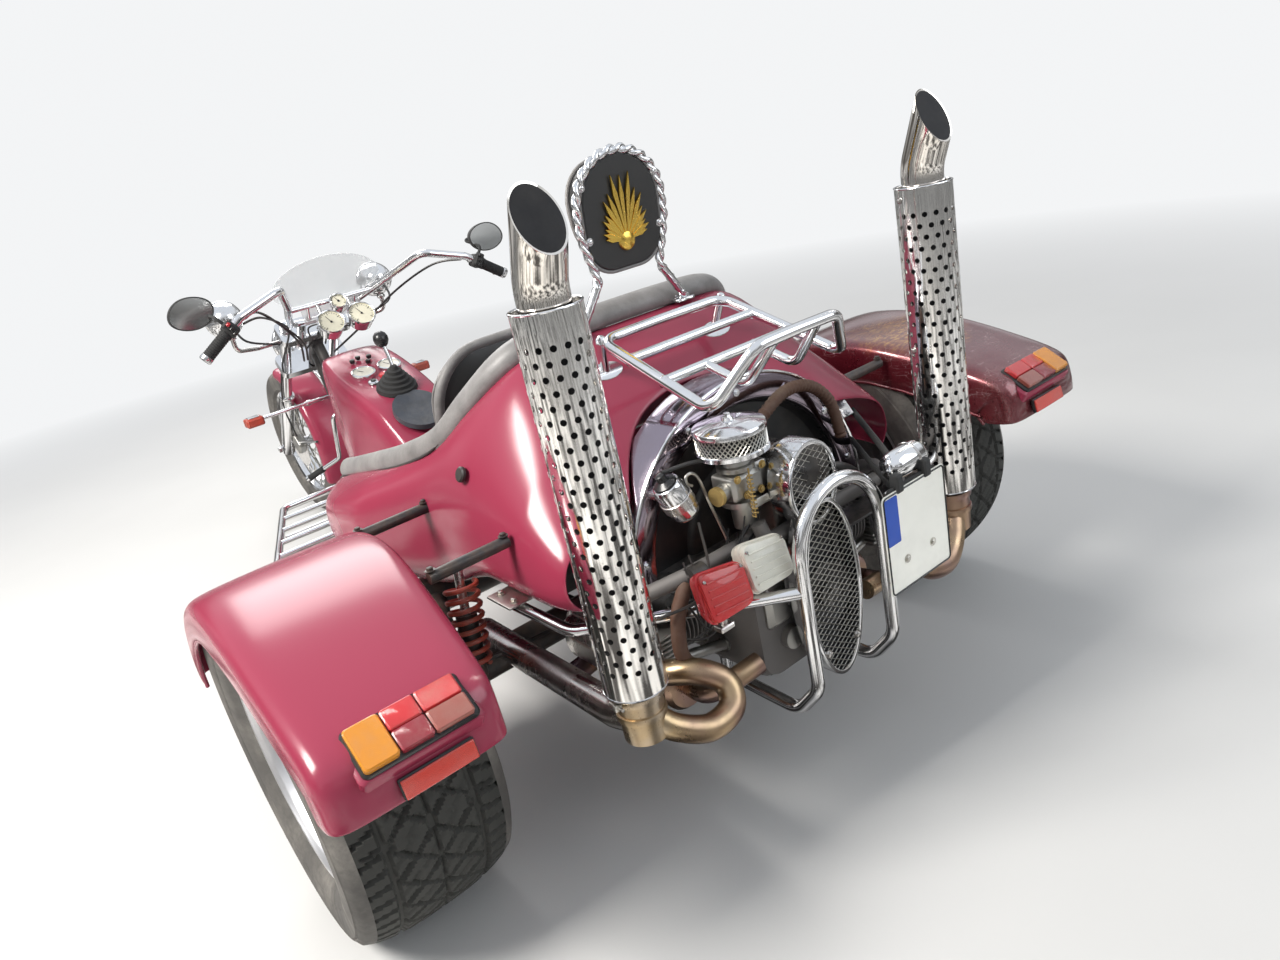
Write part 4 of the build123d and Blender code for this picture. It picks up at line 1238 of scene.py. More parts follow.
@dataclass
class TyreSize:
    """Sizes of a tyre in millimetres."""

    radius: float
    half: float
    bead: float
    bead_half: float
    tread_half: float
    groove: float


class Tread(Enum):
    """Kinds of tread pattern."""

    DIAMOND = 1
    RIBBED = 2


class Wheel:
    """A wheel with its tyre, on one body."""

    # Front tread: one rib groove on each side and leaning sipes outside it.
    RIB, RIB_HALF, SIPE_FROM, SIPE_LEAN, SIPE_PITCH = 10.0, 3.0, 12.0, 0.6, 26.0
    # Rear tread: diamond blocks between two grooves round the tyre, lugs on the shoulders.
    BAND, BAND_HALF, CENTRE_HALF = 78.0, 4.0, 2.6
    BLOCK_LEAN, BLOCK_PITCH, BLOCK_CUT = 0.9, 66.0, 0.11
    FINE_AT, FINE_HALF, FINE_DEPTH = 0.55, 0.035, 0.45
    LUG_LEAN, LUG_PITCH, CUT_SHARE = 0.35, 33.0, 0.2
    # Wide rim: faces round the disc, and which of every eight are left open.
    FACES, FACES_A_WINDOW, OPEN_FACES, WINDOW_R = 64, 8, (2, 3, 4, 5), 92
    BOLTS, BOLT_CIRCLE = 5, 50
    # Wire rim: crossed spokes and their nipples.
    SPOKES, SPOKE_LEAN, SPOKE_R, NIPPLE_R, NIPPLE = 40, 32, 1.8, 3.2, 16

    def __init__(
        self, body: Body, hub: Vector, outward: float, size: TyreSize, tread: Tread
    ) -> None:
        """Sets the wheel's place, which side faces out, its size and its tread."""
        self.body, self.hub, self.outward, self.size, self.tread = body, hub, outward, size, tread

    def depth(self, along: float, across: float) -> float:
        """Depth of the tread below its crown, as a share of the full groove, at a place on it."""
        far = abs(across)
        if self.tread is Tread.RIBBED:
            phase = (along + far * self.SIPE_LEAN) / self.SIPE_PITCH % 1.0
            sipe = phase < self.CUT_SHARE and self.SIPE_FROM < far
            return 1.0 if abs(far - self.RIB) < self.RIB_HALF or sipe else 0.0
        if abs(far - self.BAND) < self.BAND_HALF or far < self.CENTRE_HALF:
            return 1.0
        if far < self.BAND:
            first = ((along + across * self.BLOCK_LEAN) / self.BLOCK_PITCH) % 1.0
            second = ((along - across * self.BLOCK_LEAN) / self.BLOCK_PITCH) % 1.0
            if min(first, second) < self.BLOCK_CUT:
                return 1.0
            return self.FINE_DEPTH if abs(first - self.FINE_AT) < self.FINE_HALF else 0.0
        return 1.0 if (
            (along + far * self.LUG_LEAN) / self.LUG_PITCH
        ) % 1.0 < self.CUT_SHARE else 0.0

    def tyre(self, name: str, node: str, around: int, across: int) -> None:
        """Builds tread and side walls.

        Args:
            name: Name of the shown piece.
            node: The frame's node that it stands for.
            around: Faces round the tread.
            across: Faces across the tread.
        """
        s = self.size
        piece = Sculpt(name, TYRE)
        shoulder = (s.half - s.tread_half) * 0.55
        rows = []
        for k in range(around):
            angle = math.tau * k / around
            outward = Vector((0, math.cos(angle), math.sin(angle)))
            row = []
            for j in range(across + 1):
                t = -1 + 2 * j / across
                width = s.tread_half * t
                crown = s.radius - shoulder * abs(t) ** 3
                crown -= s.groove * self.depth(angle * s.radius, width)
                row.append(self.hub + X * width * MM + outward * crown * MM)
            rows.append(row)
        piece.loft(rows, wrap=False, caps=False, loop=True)
        edge = s.radius - shoulder
        span = edge - s.bead
        wall = [
            (edge, s.tread_half),
            (edge - span * 0.06, s.half * 0.93),
            (edge - span * 0.17, s.half * 0.985),
            (edge - span * 0.19, s.half * 0.972),
            (edge - span * 0.22, s.half * 0.995),
            (edge - span * 0.40, s.half),
            (edge - span * 0.60, s.half * 0.985),
            (edge - span * 0.62, s.half * 0.97),
            (edge - span * 0.66, s.half * 0.972),
            (edge - span * 0.82, s.half * 0.91),
            (s.bead + 6, s.bead_half),
            (s.bead, s.bead_half - 3),
            (s.bead - 2, s.bead_half - 14),
        ]
        piece.use(TYRE_WALL)
        for side in (1, -1):
            piece.lathe([(r, side * w) for r, w in wall], self.hub, X, around // 2, zero=Y)
        piece.made(self.body, [node], weld=0.2)

    def wide_rim(self, name: str, node: str) -> None:
        """A wide alloy rim: polished barrel, dished disc with windows, hub cap and bolts."""
        s, out = self.size, self.outward
        piece = Sculpt(name, ALLOY)
        w, b = s.bead_half, s.bead
        barrel = [
            (b + 8, w + 3), (b + 10, w + 5), (b + 8, w + 7), (b + 1, w + 6), (b - 4, w),
            (b - 8, w - 4), (b - 12, w - 22),
            (b - 14, w - 26), (b - 24, w - 70), (b - 30, w * 0.15), (b - 30, -w * 0.3),
            (b - 12, -w + 22), (b - 4, -w), (b + 8, -w - 4),
        ]
        piece.lathe([(r, h * out) for r, h in barrel], self.hub, X, 96, zero=Y)
        face = self.hub + X * out * 20 * MM
        rings = [
            (40, 16), (58, 12), (72, 3), (86, -1), (92, -2), (132, -2), (140, 0), (152, 6),
            (166, 4), (172, -6),
        ]
        rows = []
        for k in range(self.FACES):
            angle = math.tau * k / self.FACES
            spoke = Y * math.cos(angle) + Z * math.sin(angle)
            rows.append(
                [piece.bm.verts.new(face + (spoke * r + X * out * h) * MM) for r, h in rings]
            )
        for k in range(self.FACES):
            for j in range(len(rings) - 1):
                window = k % self.FACES_A_WINDOW in self.OPEN_FACES and rings[j][0] == self.WINDOW_R
                if not window:
                    after = rows[(k + 1) % self.FACES]
                    piece.face((rows[k][j], after[j], after[j + 1], rows[k][j + 1]))
        piece.use(CHROME)
        cap = [(0, 40), (14, 39), (24, 35), (28, 30), (29, 16), (33, 14), (42, 14)]
        piece.lathe([(r, h * out) for r, h in cap], face, X, 40)
        for k in range(self.BOLTS):
            angle = math.tau * k / self.BOLTS
            spot = around(face, Y, Z, angle, self.BOLT_CIRCLE) + X * out * 13 * MM
            piece.bolt(spot, X * out, 7, 9)
        piece.use(ENGINE_IRON)
        drum = [(0, -14), (112, -14), (114, -18), (114, -52), (100, -56), (0, -56)]
        piece.lathe([(r, h * out) for r, h in drum], face, X, 48)
        piece.made(self.body, [node], thickness=0.0)

    def wire_rim(self, name: str, node: str) -> None:
        """A chromed rim laced with crossed wire spokes to a narrow hub."""
        s = self.size
        piece = Sculpt(name, CHROME)
        w, b = s.bead_half, s.bead
        section = [
            (b + 8, w + 3), (b + 9, w + 5), (b + 4, w + 6), (b - 5, w + 1), (b - 10, w * 0.5),
            (b - 16, w * 0.42), (b - 17, 0),
        ]
        section += [(r, -h) for r, h in section[-2::-1]]
        inner = [(b - 8, -w * 0.4), (b - 13, 0), (b - 8, w * 0.4)]
        piece.lathe(section + [(r + 4, h) for r, h in inner], self.hub, X, 96, zero=Y, close=True)
        hub = [
            (12, 42), (24, 42), (36, 38), (36, 33), (22, 28), (20, 0), (22, -28), (36, -33),
            (36, -38), (24, -42), (12, -42),
        ]
        piece.use(ALLOY).lathe(hub, self.hub, X, 40)
        piece.use(STEEL_WIRE)
        for k in range(self.SPOKES):
            turn = math.tau * k / self.SPOKES
            side = 1 if k % 2 else -1
            lean = math.radians(self.SPOKE_LEAN if k % 4 < 2 else -self.SPOKE_LEAN)
            start = Y * math.cos(turn + lean) * 32 + Z * math.sin(turn + lean) * 32 + X * side * 34
            end = Y * math.cos(turn) * (b - 14) + Z * math.sin(turn) * (b - 14) + X * side * 6
            piece.rod(self.hub + start * MM, self.hub + end * MM, self.SPOKE_R, 8)
            nipple = (start - end).normalized()
            piece.rod(
                self.hub + end * MM, self.hub + (end + nipple * self.NIPPLE) * MM, self.NIPPLE_R, 8
            )
        piece.use(CHROME_DULL)
        piece.lathe([(30, 46), (104, 46), (104, 50), (30, 50)], self.hub, X, 48, close=True)
        piece.made(self.body, [node])


class Fender:
    """A broad saddle fender over a rear wheel, with its lamp cluster."""

    # Back and up places of the crown, from the front lip over the wheel to the rear one.
    SIDE_LINE = (
        (-352, 432), (-346, 480), (-318, 532), (-262, 586), (-200, 632), (-130, 666),
        (-60, 688), (0, 695), (80, 696), (170, 689), (260, 671), (340, 650),
        (410, 630), (462, 612), (486, 594), (496, 566), (500, 536), (502, 512),
    )
    OUT, IN = 914.0, 583.0
    WALL, LIP = 4.5, 4
    LAMP_AT, REFLECTOR_X, REFLECTOR_Z = (768, 473, 590), 760, 535
    STRUTS, STRUT_IN, STRUT_OUT, STRUT_R = ((-120, 650), (200, 650)), 437, 590, 11

    def __init__(self, sign: float, finish: Finish) -> None:
        """Sets the side that it stands on and its finish."""
        self.sign, self.finish = sign, finish
        self.word = "left" if sign > 0 else "right"

    def saddle(self) -> None:
        """The moulded saddle: rounded crown, down-turned outer lip and a deep inner wall."""
        piece = Sculpt(f"fender_shell_{self.word}", self.finish)
        line = [Vector((0, y, z)) * MM for y, z in self.SIDE_LINE]
        rings = []
        for i, here in enumerate(line):
            ahead = line[min(i + 1, len(line) - 1)] - line[max(i - 1, 0)]
            down = Vector((0, ahead.z, -ahead.y)).normalized()
            ease = min(1.0, i / 2.0, (len(line) - 1 - i) / 2.0 + 0.35)
            outer, inner = 58 + 16 * ease, 66 + 30 * ease
            inward = self.IN + 58 * max(0.0, min(1.0, (here.y - 0.05) / 0.45))
            section = (
                (self.OUT, outer), (self.OUT, outer * 0.55), (self.OUT - 3, 20), (self.OUT - 13, 7),
                (self.OUT - 32, 1),
                (self.OUT - 80, -1), (760, -2), (inward + 70, -1), (inward + 28, 1),
                (inward + 10, 8), (inward + 2, 22),
                (inward, inner * 0.6), (inward, inner),
            )
            rings.append(
                [
                    at(self.sign * x, here.y / MM, here.z / MM) + down * depth * MM
                    for x, depth in section
                ]
            )
        piece.loft(rings, wrap=False, caps=False)
        piece.made(Body.CHASSIS, [f"fender_{self.word}"], thickness=self.WALL, levels=2)
        lip = Sculpt(f"fender_lip_{self.word}", self.finish)
        for end in (0, -1):
            shift = Vector((-self.sign * 5 if end == 0 else self.sign * 2, 0, 0)) * MM
            lip.tube([ring[end] + shift for ring in rings], self.LIP, 10)
        lip.use(FRAME_BLACK)
        for y, z in self.STRUTS:
            lip.rod(
                at(self.sign * self.STRUT_IN, y, z), at(self.sign * self.STRUT_OUT, y, z),
                self.STRUT_R,
            )
            for x in (self.STRUT_IN + 6, self.STRUT_OUT - 6):
                lip.bolt(at(self.sign * x, y, z + 12), Z, 6)
        lip.made(Body.CHASSIS)

    def lamps(self) -> None:
        """A block in the fender's colour with five lenses, and a reflector under it."""
        out = Vector((0.0, 0.55, 0.835)).normalized()
        right, up = X * self.sign, Vector((0, -0.835, 0.55)).normalized()
        normal = right.cross(up)
        flip = 1 if normal.dot(out) > 0 else -1
        centre = at(self.sign * self.LAMP_AT[0], *self.LAMP_AT[1:])
        piece = Sculpt(f"tail_lamp_{self.word}", PLASTIC)

        def block(
            x: float, y: float, w: float, h: float, low: float, high: float, finish: Finish,
            soft: float = 3,
        ) -> None:
            piece.use(finish)
            shape = rounded_outline(w, h, min(w, h) * 0.12)
            base = centre + (right * x + up * y + out * low) * MM
            piece.slab(shape, base, right, up * flip, (high - low), soft)

        block(0, 0, 184, 84, -26, 7, MAROON, 6)
        block(0, 0, 172, 76, 4, 12, BLACK_INK)
        block(57, 0, 50, 68, 10, 22, AMBER_LENS)
        for x, w, finish in ((6, 48, DARK_RED_LENS), (-49, 58, SMOKE_LENS)):
            block(x, -17, w, 33, 10, 22, finish)
        for x, w, finish in ((6, 48, RED_LENS), (-49, 58, RED_LENS)):
            block(x, 17, w, 33, 10, 22, finish)
        piece.made(Body.CHASSIS, ["tail_lamps"] if self.sign > 0 else [])
        strip = Sculpt(f"reflector_{self.word}", BLACK_INK)
        lean = Vector((0, -0.22, 0.975)).normalized()
        for finish, back, size, soft in (
            (BLACK_INK, 507, (112, 8, 30), 2), (REFLECTOR, 511, (108, 7, 27), 1.5)
        ):
            strip.use(finish).box(
                at(self.sign * self.REFLECTOR_X, back, self.REFLECTOR_Z), size, X, lean, soft
            )
        strip.made(Body.CHASSIS)


@dataclass(frozen=True)
class Station:
    """One cross-section of the tub's left half, in millimetres."""

    y: float
    sill: tuple[float, float]
    wide: tuple[float, float]
    shoulder: tuple[float, float]
    edge: tuple[float, float]
    floor: float


class Tub:
    """The moulded body tub, its padded coaming and its seats."""

    STATIONS = (
        Station(-788, (290, 455), (300, 500), (295, 530), (285, 548), 548),
        Station(-770, (345, 438), (362, 500), (355, 550), (338, 574), 572),
        Station(-745, (400, 434), (452, 486), (440, 556), (366, 592), 585),
        Station(-730, (410, 432), (472, 486), (462, 560), (380, 602), 452),
        Station(-660, (430, 430), (494, 500), (488, 580), (402, 628), 450),
        Station(-560, (440, 430), (514, 520), (506, 602), (405, 650), 450),
        Station(-400, (440, 430), (518, 532), (508, 632), (402, 686), 450),
        Station(-362, (436, 430), (510, 535), (502, 640), (400, 694), 452),
        Station(-335, (432, 430), (502, 538), (495, 646), (398, 700), 638),
        Station(-250, (428, 432), (476, 545), (470, 664), (393, 722), 640),
        Station(-110, (424, 470), (438, 556), (436, 694), (376, 768), 640),
        Station(-40, (424, 502), (441, 569), (424, 733), (330, 836), 642),
        Station(40, (424, 528), (441, 580), (415, 745), (262, 905), 890),
        Station(62, (424, 529), (441, 582), (413, 741), (254, 914), 915),
        Station(90, (424, 530), (441, 585), (410, 735), (250, 918), 922),
        Station(150, (424, 530), (441, 588), (411, 718), (248, 878), 884),
        Station(226, (424, 530), (441, 590), (412, 700), (250, 800), 806),
        Station(234, (424, 530), (441, 590), (412, 696), (252, 790), 0),
        Station(300, (420, 530), (438, 590), (410, 660), (268, 722), 0),
        Station(340, (400, 530), (425, 590), (400, 640), (282, 676), 0),
    )
    # The round opening over the engine: its radius and the height of its middle.
    ARCH_R, ARCH_Z = 307.4, 515.6
    SEAT_HALF, ROLL, ROLL_FLAT, ROLL_FILL, PIPING = 350.0, 23, 0.72, 0.5, 3.0

    def half_ring(self, s: Station) -> list[tuple[float, float]]:
        """Across and up places of one half section, from the sill to the middle."""
        (xs, zs), (xw, zw), (xh, zh), (xe, ze) = s.sill, s.wide, s.shoulder, s.edge
        ring = [(xs - 8, zs), (xs, zs), (xw, zs + (zw - zs) * 0.5), (xw, zw)]
        ring += [((xw * 2 + xh) / 3 + 2, (zw + zh) / 2), (xh, zh)]
        ring += [(xe + (xh - xe) * 0.45, ze - (ze - zh) * 0.28), (xe, ze)]
        if s.floor == 0:
            drop = max(ze - self.ARCH_Z, 0)
            arch = min(math.sqrt(self.ARCH_R**2 - drop**2), xe - 6)
            return ring + [(xe + (arch - xe) * k / 5, ze) for k in range(1, 6)]
        if s.floor > ze - 30:
            return ring + [
                (xe * (1 - k / 5), ze + (s.floor - ze) * math.sin(math.pi / 2 * k / 5))
                for k in range(1, 6)
            ]
        inner = min(self.SEAT_HALF, xe - 40)
        return ring + [
            (xe - 22, ze - 5), (inner, ze - 34), (inner, (ze + s.floor) / 2),
            (inner - 12, s.floor), (0, s.floor),
        ]

    def shell(self) -> None:
        """The tub as one moulded skin from sill to seat well and rear deck."""
        piece = Sculpt("tub_shell", MAROON)
        for sign in (1, -1):
            rings = [[at(sign * x, s.y, z) for x, z in self.half_ring(s)] for s in self.STATIONS]
            first = [p.lerp(at(p.x / MM, -790, 500), 0.04) for p in rings[0]]
            piece.loft([first] + rings, wrap=False, caps=False)
        piece.made(Body.CHASSIS, ["body_tub"], thickness=6.0, levels=2, weld=0.6)

    def coaming(self) -> None:
        """The padded roll along the tub's edge and over the seat back."""
        side = [
            (0, -779, 574), (200, -777, 574), (330, -764, 582), (382, -728, 607), (404, -660, 634),
            (408, -560, 656), (405, -400, 692), (395, -250, 728), (376, -110, 776), (331, -38, 842),
            (276, 28, 906), (214, 58, 932), (110, 62, 938),
        ]
        left = [at(*p) for p in side]
        route = flowing(left + [at(0, 62, 939)] + mirrored(left)[:0:-1], 5, closed=True)
        piece = Sculpt("coaming_roll", TRIM)
        radii = [self.ROLL + 5 * min(1.0, max(0.0, (p.z - 0.62) / 0.2)) for p in route]
        piece.tube(route, radii, 18, closed=True, flat=self.ROLL_FLAT, up=Z)
        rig.padded(piece.made(Body.CHASSIS), fill=self.ROLL_FILL)
        piping = Sculpt("coaming_piping", CABLE)
        below = [
            p + Vector((0.020 * (1 if p.x > 0 else -1) * min(1, abs(p.x) / 0.2), 0, -0.017))
            for p in route
        ]
        piping.tube(below, self.PIPING, 8, closed=True)
        piping.made(Body.CHASSIS)

    def details(self) -> None:
        """The arch's bracket tab, side grommet, seams and screws of the rear deck."""
        piece = Sculpt("tub_fittings", ALLOY)
        out = Vector((0, 0.72, 0.69)).normalized()
        for sign in (1, -1):
            piece.box(at(sign * 300, 330, 655), (34, 4, 44), X, Vector((0, -0.6, 0.8)), 1.5)
            piece.bolt(at(sign * 300, 334, 664), out, 5, 4)
            piece.bolt(at(sign * 300, 341, 645), out, 5, 4)
        piece.use(CABLE)
        for sign in (1, -1):
            piece.lathe(
                [(0, 5), (12, 5), (15, 2), (15, -3)], at(sign * 418, 40, 740),
                Vector((sign, 0, 0.45)), 24,
            )
        piece.made(Body.CHASSIS)


class Cushions:
    """Stuffed seats: flat bags blown up as cloth, then edged with piping and sewn in channels."""

    FILL = 0.75
    # Cloth: size of its cells and the most that it may swell, in metres, and its pressure.
    CELL, SWELL, PRESSURE, STIFFNESS, FRAMES = 0.0075, 0.011, 2.2, 40.0, 14
    PIPING, SEAM = 4.0, 1.8
    # The seat-back shell's hollow, in millimetres, at half its width.
    HOLLOW, HOLLOW_HALF = 20, 250

    def pad(
        self, name: str, node: str, size: tuple[float, float, float], corner: float, place: Matrix,
        finish: Finish, channels: int,
    ) -> None:
        """Makes one pad.

        Args:
            name: Name of the shown piece.
            node: The frame's node that it stands for, or an empty string.
            size: Width, length and thickness in millimetres.
            corner: Radius of its corners.
            place: Where its middle and axes are.
            finish: Its covering.
            channels: Number of sewn channels across it.
        """
        width, length, thick = size
        piece = Sculpt(name, finish)
        shape = rounded_outline(width - 16, length - 16, corner, 8)
        rings = []
        for inset, height in (
            (0.30, -0.5), (0.06, -0.49), (0.0, -0.3), (0.0, 0.3), (0.06, 0.49), (0.30, 0.5)
        ):
            scale = 1 - inset
            rings.append(
                [Vector((x * scale, y * scale, height * (thick - 8))) * MM for x, y in shape]
            )
        piece.loft(rings)
        bmesh.ops.transform(piece.bm, matrix=place, verts=piece.bm.verts)
        obj = piece.made(Body.CHASSIS, [node] if node else [])
        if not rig.quick():
            self.blow(obj)
        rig.padded(obj, fill=self.FILL)
        piping = Sculpt(name + "_piping", TRIM)
        loop = [place @ (Vector((x * 1.012, y * 1.012, 0.28 * thick)) * MM) for x, y in shape]
        piping.tube(loop, self.PIPING, 8, closed=True)
        for k in range(channels):
            y = (k + 1) / (channels + 1) - 0.5
            reach = width * 0.40
            seam = [
                place @ (Vector((t * reach, y * length, thick * 0.52)) * MM)
                for t in (-1, -0.5, 0, 0.5, 1)
            ]
            piping.tube(seam, self.SEAM, 6)
        piping.made(Body.CHASSIS)

    def blow(self, obj: bpy.types.Object) -> None:
        """Blows a pad up as cloth over a few frames and keeps the result."""
        scene = bpy.context.scene
        remesh = obj.modifiers.new("cover", "REMESH")
        remesh.mode, remesh.voxel_size, remesh.use_smooth_shade = "VOXEL", self.CELL, True
        graph = bpy.context.evaluated_depsgraph_get()
        obj.data = bpy.data.meshes.new_from_object(obj.evaluated_get(graph))
        obj.modifiers.clear()
        cloth = obj.modifiers.new("blow", "CLOTH")
        settings = cloth.settings
        settings.use_pressure, settings.uniform_pressure_force = True, self.PRESSURE
        settings.effector_weights.gravity = 0.0
        settings.tension_stiffness = settings.compression_stiffness = self.STIFFNESS
        settings.quality = 4
        cloth.point_cache.frame_start, cloth.point_cache.frame_end = 1, self.FRAMES
        for number in range(1, self.FRAMES + 1):
            scene.frame_set(number)
        graph = bpy.context.evaluated_depsgraph_get()
        before = [v.co.copy() for v in obj.data.vertices]
        blown = bpy.data.meshes.new_from_object(obj.evaluated_get(graph))
        for vertex, start in zip(blown.vertices, before):
            move = vertex.co - start
            if move.length > self.SWELL:
                vertex.co = start + move.normalized() * self.SWELL
        obj.modifiers.clear()
        obj.data = blown
        scene.frame_set(1)
        fine = obj.modifiers.new("fine", "SUBSURF")
        fine.levels = fine.render_levels = 1

    def hollow(self, x: float) -> float:
        """How far the seat-back shell is hollowed at a place across it."""
        return -self.HOLLOW * (x / self.HOLLOW_HALF) ** 2

    def shell(self, place: Matrix) -> None:
        """The driver's seat-back shell: a dark curved panel with a grey edge."""
        piece = Sculpt("driver_shell", VINYL)
        shape = rounded_outline(500, 330, 130, 10)
        rings = []
        for scale, depth in ((1.0, 6), (1.0, -6), (0.9, -16), (0.6, -26), (0.2, -30)):
            rings.append(
                [
                    place @ (Vector((x * scale, y * scale, depth + self.hollow(x))) * MM)
                    for x, y in shape
                ]
            )
        piece.loft(rings, caps=True)
        piece.use(TRIM)
        piece.tube(
            [place @ (Vector((x, y, self.hollow(x))) * MM) for x, y in shape], 13, 12, closed=True
        )
        piece.made(Body.CHASSIS)

    def build(self) -> None:
        """All the trike's pads."""
        turn = Matrix.Rotation
        flat = Matrix.Translation(at(0, -560, 506))
        self.pad("driver_cushion", "driver_seat", (490, 340, 105), 60, flat, VINYL, 4)
        lean = Matrix.Translation(at(0, -440, 716)) @ turn(math.radians(80), 4, "X")
        self.pad("driver_back", "", (470, 300, 62), 118, lean, VINYL, 3)
        self.shell(Matrix.Translation(at(0, -400, 716)) @ turn(math.radians(80), 4, "X"))
        seat = Matrix.Translation(at(0, -190, 681)) @ turn(0, 4, "X")
        self.pad("passenger_cushion", "passenger_seat", (650, 250, 78), 60, seat, VINYL, 3)
        tilt = math.atan2(905 - 640, 48 + 40)
        back = Matrix.Translation(at(0, -3, 822)) @ turn(tilt, 4, "X")
        self.pad("passenger_back", "", (552, 184, 46), 60, back, VINYL, 2)


class Backrest:
    """The sissy bar's pad with its board, its gilt fan badge and its twisted hoop."""

    LEAN = 0.1
    # The fan badge: its rays and the half-width and height that they reach, in millimetres.
    RAYS, FAN_WIDE, FAN_HIGH = 17, 56, 132
    # The hoop: half-width and top of its legs, and its two strands wound round each other.
    HOOP, HOOP_TOP, LEG = 100, 1139, 8.4
    STRAND, STRAND_OUT, STRAND_TURN = 5.4, 4.4, 0.052

    def point(self, x: float, z: float, out: float) -> Vector:
        """A place on the backrest's leaning plane, so far behind it."""
        return at(x, 112 + self.LEAN * (z - 1010) + out, z)

    def build(self, cushions: Cushions) -> None:
        """Pad in front, board and badge behind, hoop of two twisted strands on plain feet."""
        tilt = math.radians(90) + math.atan(self.LEAN) * -1
        place = Matrix.Translation(self.point(0, 1130, -31)) @ Matrix.Rotation(
            -tilt + math.radians(180), 4, "X"
        )
        cushions.pad("backrest_pad", "backrest", (184, 202, 46), 80, place, VINYL, 0)
        board = Sculpt("backrest_board", VINYL)
        up, out = Vector((0, self.LEAN, 1)).normalized(), Vector((0, 1, -self.LEAN)).normalized()
        arch = [(x, z) for x, z in rounded_outline(180, 212, 60, 10) if z < 10]
        arch += [
            (90 * math.cos(a), 16 + 88 * math.sin(a))
            for a in (math.radians(7.5 * k) for k in range(25))
        ]
        arch.sort(key=lambda p: math.atan2(p[1], p[0]))
        board.slab(arch, self.point(0, 1126, -7), X * -1, up, 11, 5)
        board.use(TRIM)
        board.tube(
            [self.point(x * 1.01, 1126 + z * 1.01, -1) for x, z in arch], 3.6, 10, closed=True
        )
        board.made(Body.CHASSIS)
        badge = Sculpt("backrest_badge", GOLD)
        middle = self.point(0, 1070, 5)
        for k in range(self.RAYS):
            lean = math.radians(12 + 156 * k / (self.RAYS - 1))
            flat = (math.cos(lean) / self.FAN_WIDE) ** 2 + (math.sin(lean) / self.FAN_HIGH) ** 2
            reach = 1 / math.sqrt(flat) * (1.0 if k % 2 else 0.9)
            ray = X * math.cos(lean) + up * math.sin(lean)
            across = out.cross(ray)
            shape = [(16, -1.6), (reach * 0.72, -5.0), (reach, 0), (reach * 0.72, 5.0), (16, 1.6)]
            foot = middle + out * (k % 2) * 0.0012
            badge.slab(shape, foot, ray, across, facing(ray, across, out, 4), 1.2)
        badge.lathe([(0, 8), (10, 7), (17, 4), (19, 0)], middle, out, 32)
        badge.made(Body.CHASSIS)
        hoop = Sculpt("backrest_hoop", CHROME)
        half = [
            (133, 926), (128, 934), (74, 1010), (92, 1066), (self.HOOP, 1100),
            (self.HOOP, self.HOOP_TOP),
        ]
        legs = rounded([self.point(x, z, -18 if z < 930 else 0) for x, z in half], 30, 8)
        top = [
            self.point(self.HOOP * math.cos(a), self.HOOP_TOP + self.HOOP * math.sin(a) * 0.95, 0)
            for a in (math.radians(10 * k) for k in range(1, 18))
        ]
        other = mirrored(legs[::-1])
        route = legs + top + other
        fine = [a.lerp(b, t / 5) for a, b in zip(route, route[1:]) for t in range(5)] + [route[-1]]
        for strand in (0.0, math.pi):
            travelled, wound = 0.0, []
            for i, here in enumerate(fine):
                heading = (fine[min(i + 1, len(fine) - 1)] - fine[max(i - 1, 0)]).normalized()
                side = heading.cross(out).normalized()
                turn = strand + travelled / self.STRAND_TURN * math.tau
                wound.append(around(here, side, out, turn, self.STRAND_OUT))
                travelled += (fine[i + 1] - here).length if i + 1 < len(fine) else 0.0
            hoop.tube(wound, self.STRAND, 8)
        for leg in (legs[:12], other[-12:]):
            hoop.tube(leg, self.LEG, 14)
        for side in (1, -1):
            hoop.slab(rounded_outline(50, 42, 12, 5), at(side * 133, 88, 921), X, Y, 5, 1)
            for dz in (1085, 1180):
                hoop.bolt(self.point(side * 84, dz, 3), out, 5, 4)
        hoop.made(Body.CHASSIS, ["sissy_bar"], smooth=60)


class Rack:
    """Chromed luggage rack with its raised rear bar."""

    TUBE = 10.0

    def build(self) -> None:
        """Side rails, cross bars, raised rear bar and feet."""
        piece = Sculpt("rack", CHROME)
        right = [
            at(0, 188, 921), at(150, 188, 920), at(161, 470, 821), at(96, 524, 911),
            at(0, 524, 912),
        ]
        half = rounded(right, 34, 8)
        piece.tube(half[:-1] + mirrored(half[::-1])[:-1], self.TUBE, 16, closed=True)
        inner = rounded([at(60, 352, 862), at(60, 452, 830), at(50, 524, 912)], 34, 8)
        for sign in (1, -1):
            piece.tube(inner if sign > 0 else mirrored(inner), self.TUBE - 1.5, 14)
            foot = at(sign * 140, 166, 860)
            piece.tube(
                [at(sign * 150, 186, 918), at(sign * 146, 176, 892), foot], self.TUBE - 1, 14
            )
        for y, z, x in ((268, 892, 153), (357, 861, 157)):
            piece.tube([at(-x, y, z), at(x, y, z)], self.TUBE - 1, 14)
        out = Vector((0, 228, 220)).normalized()
        for sign in (1, -1):
            depth = facing(X, out.cross(X), out, 5)
            piece.slab(oval_outline(36, 19), at(sign * 140, 168, 858), X, out.cross(X), depth, 1.2)
        piece.made(Body.CHASSIS, ["luggage_rack"])


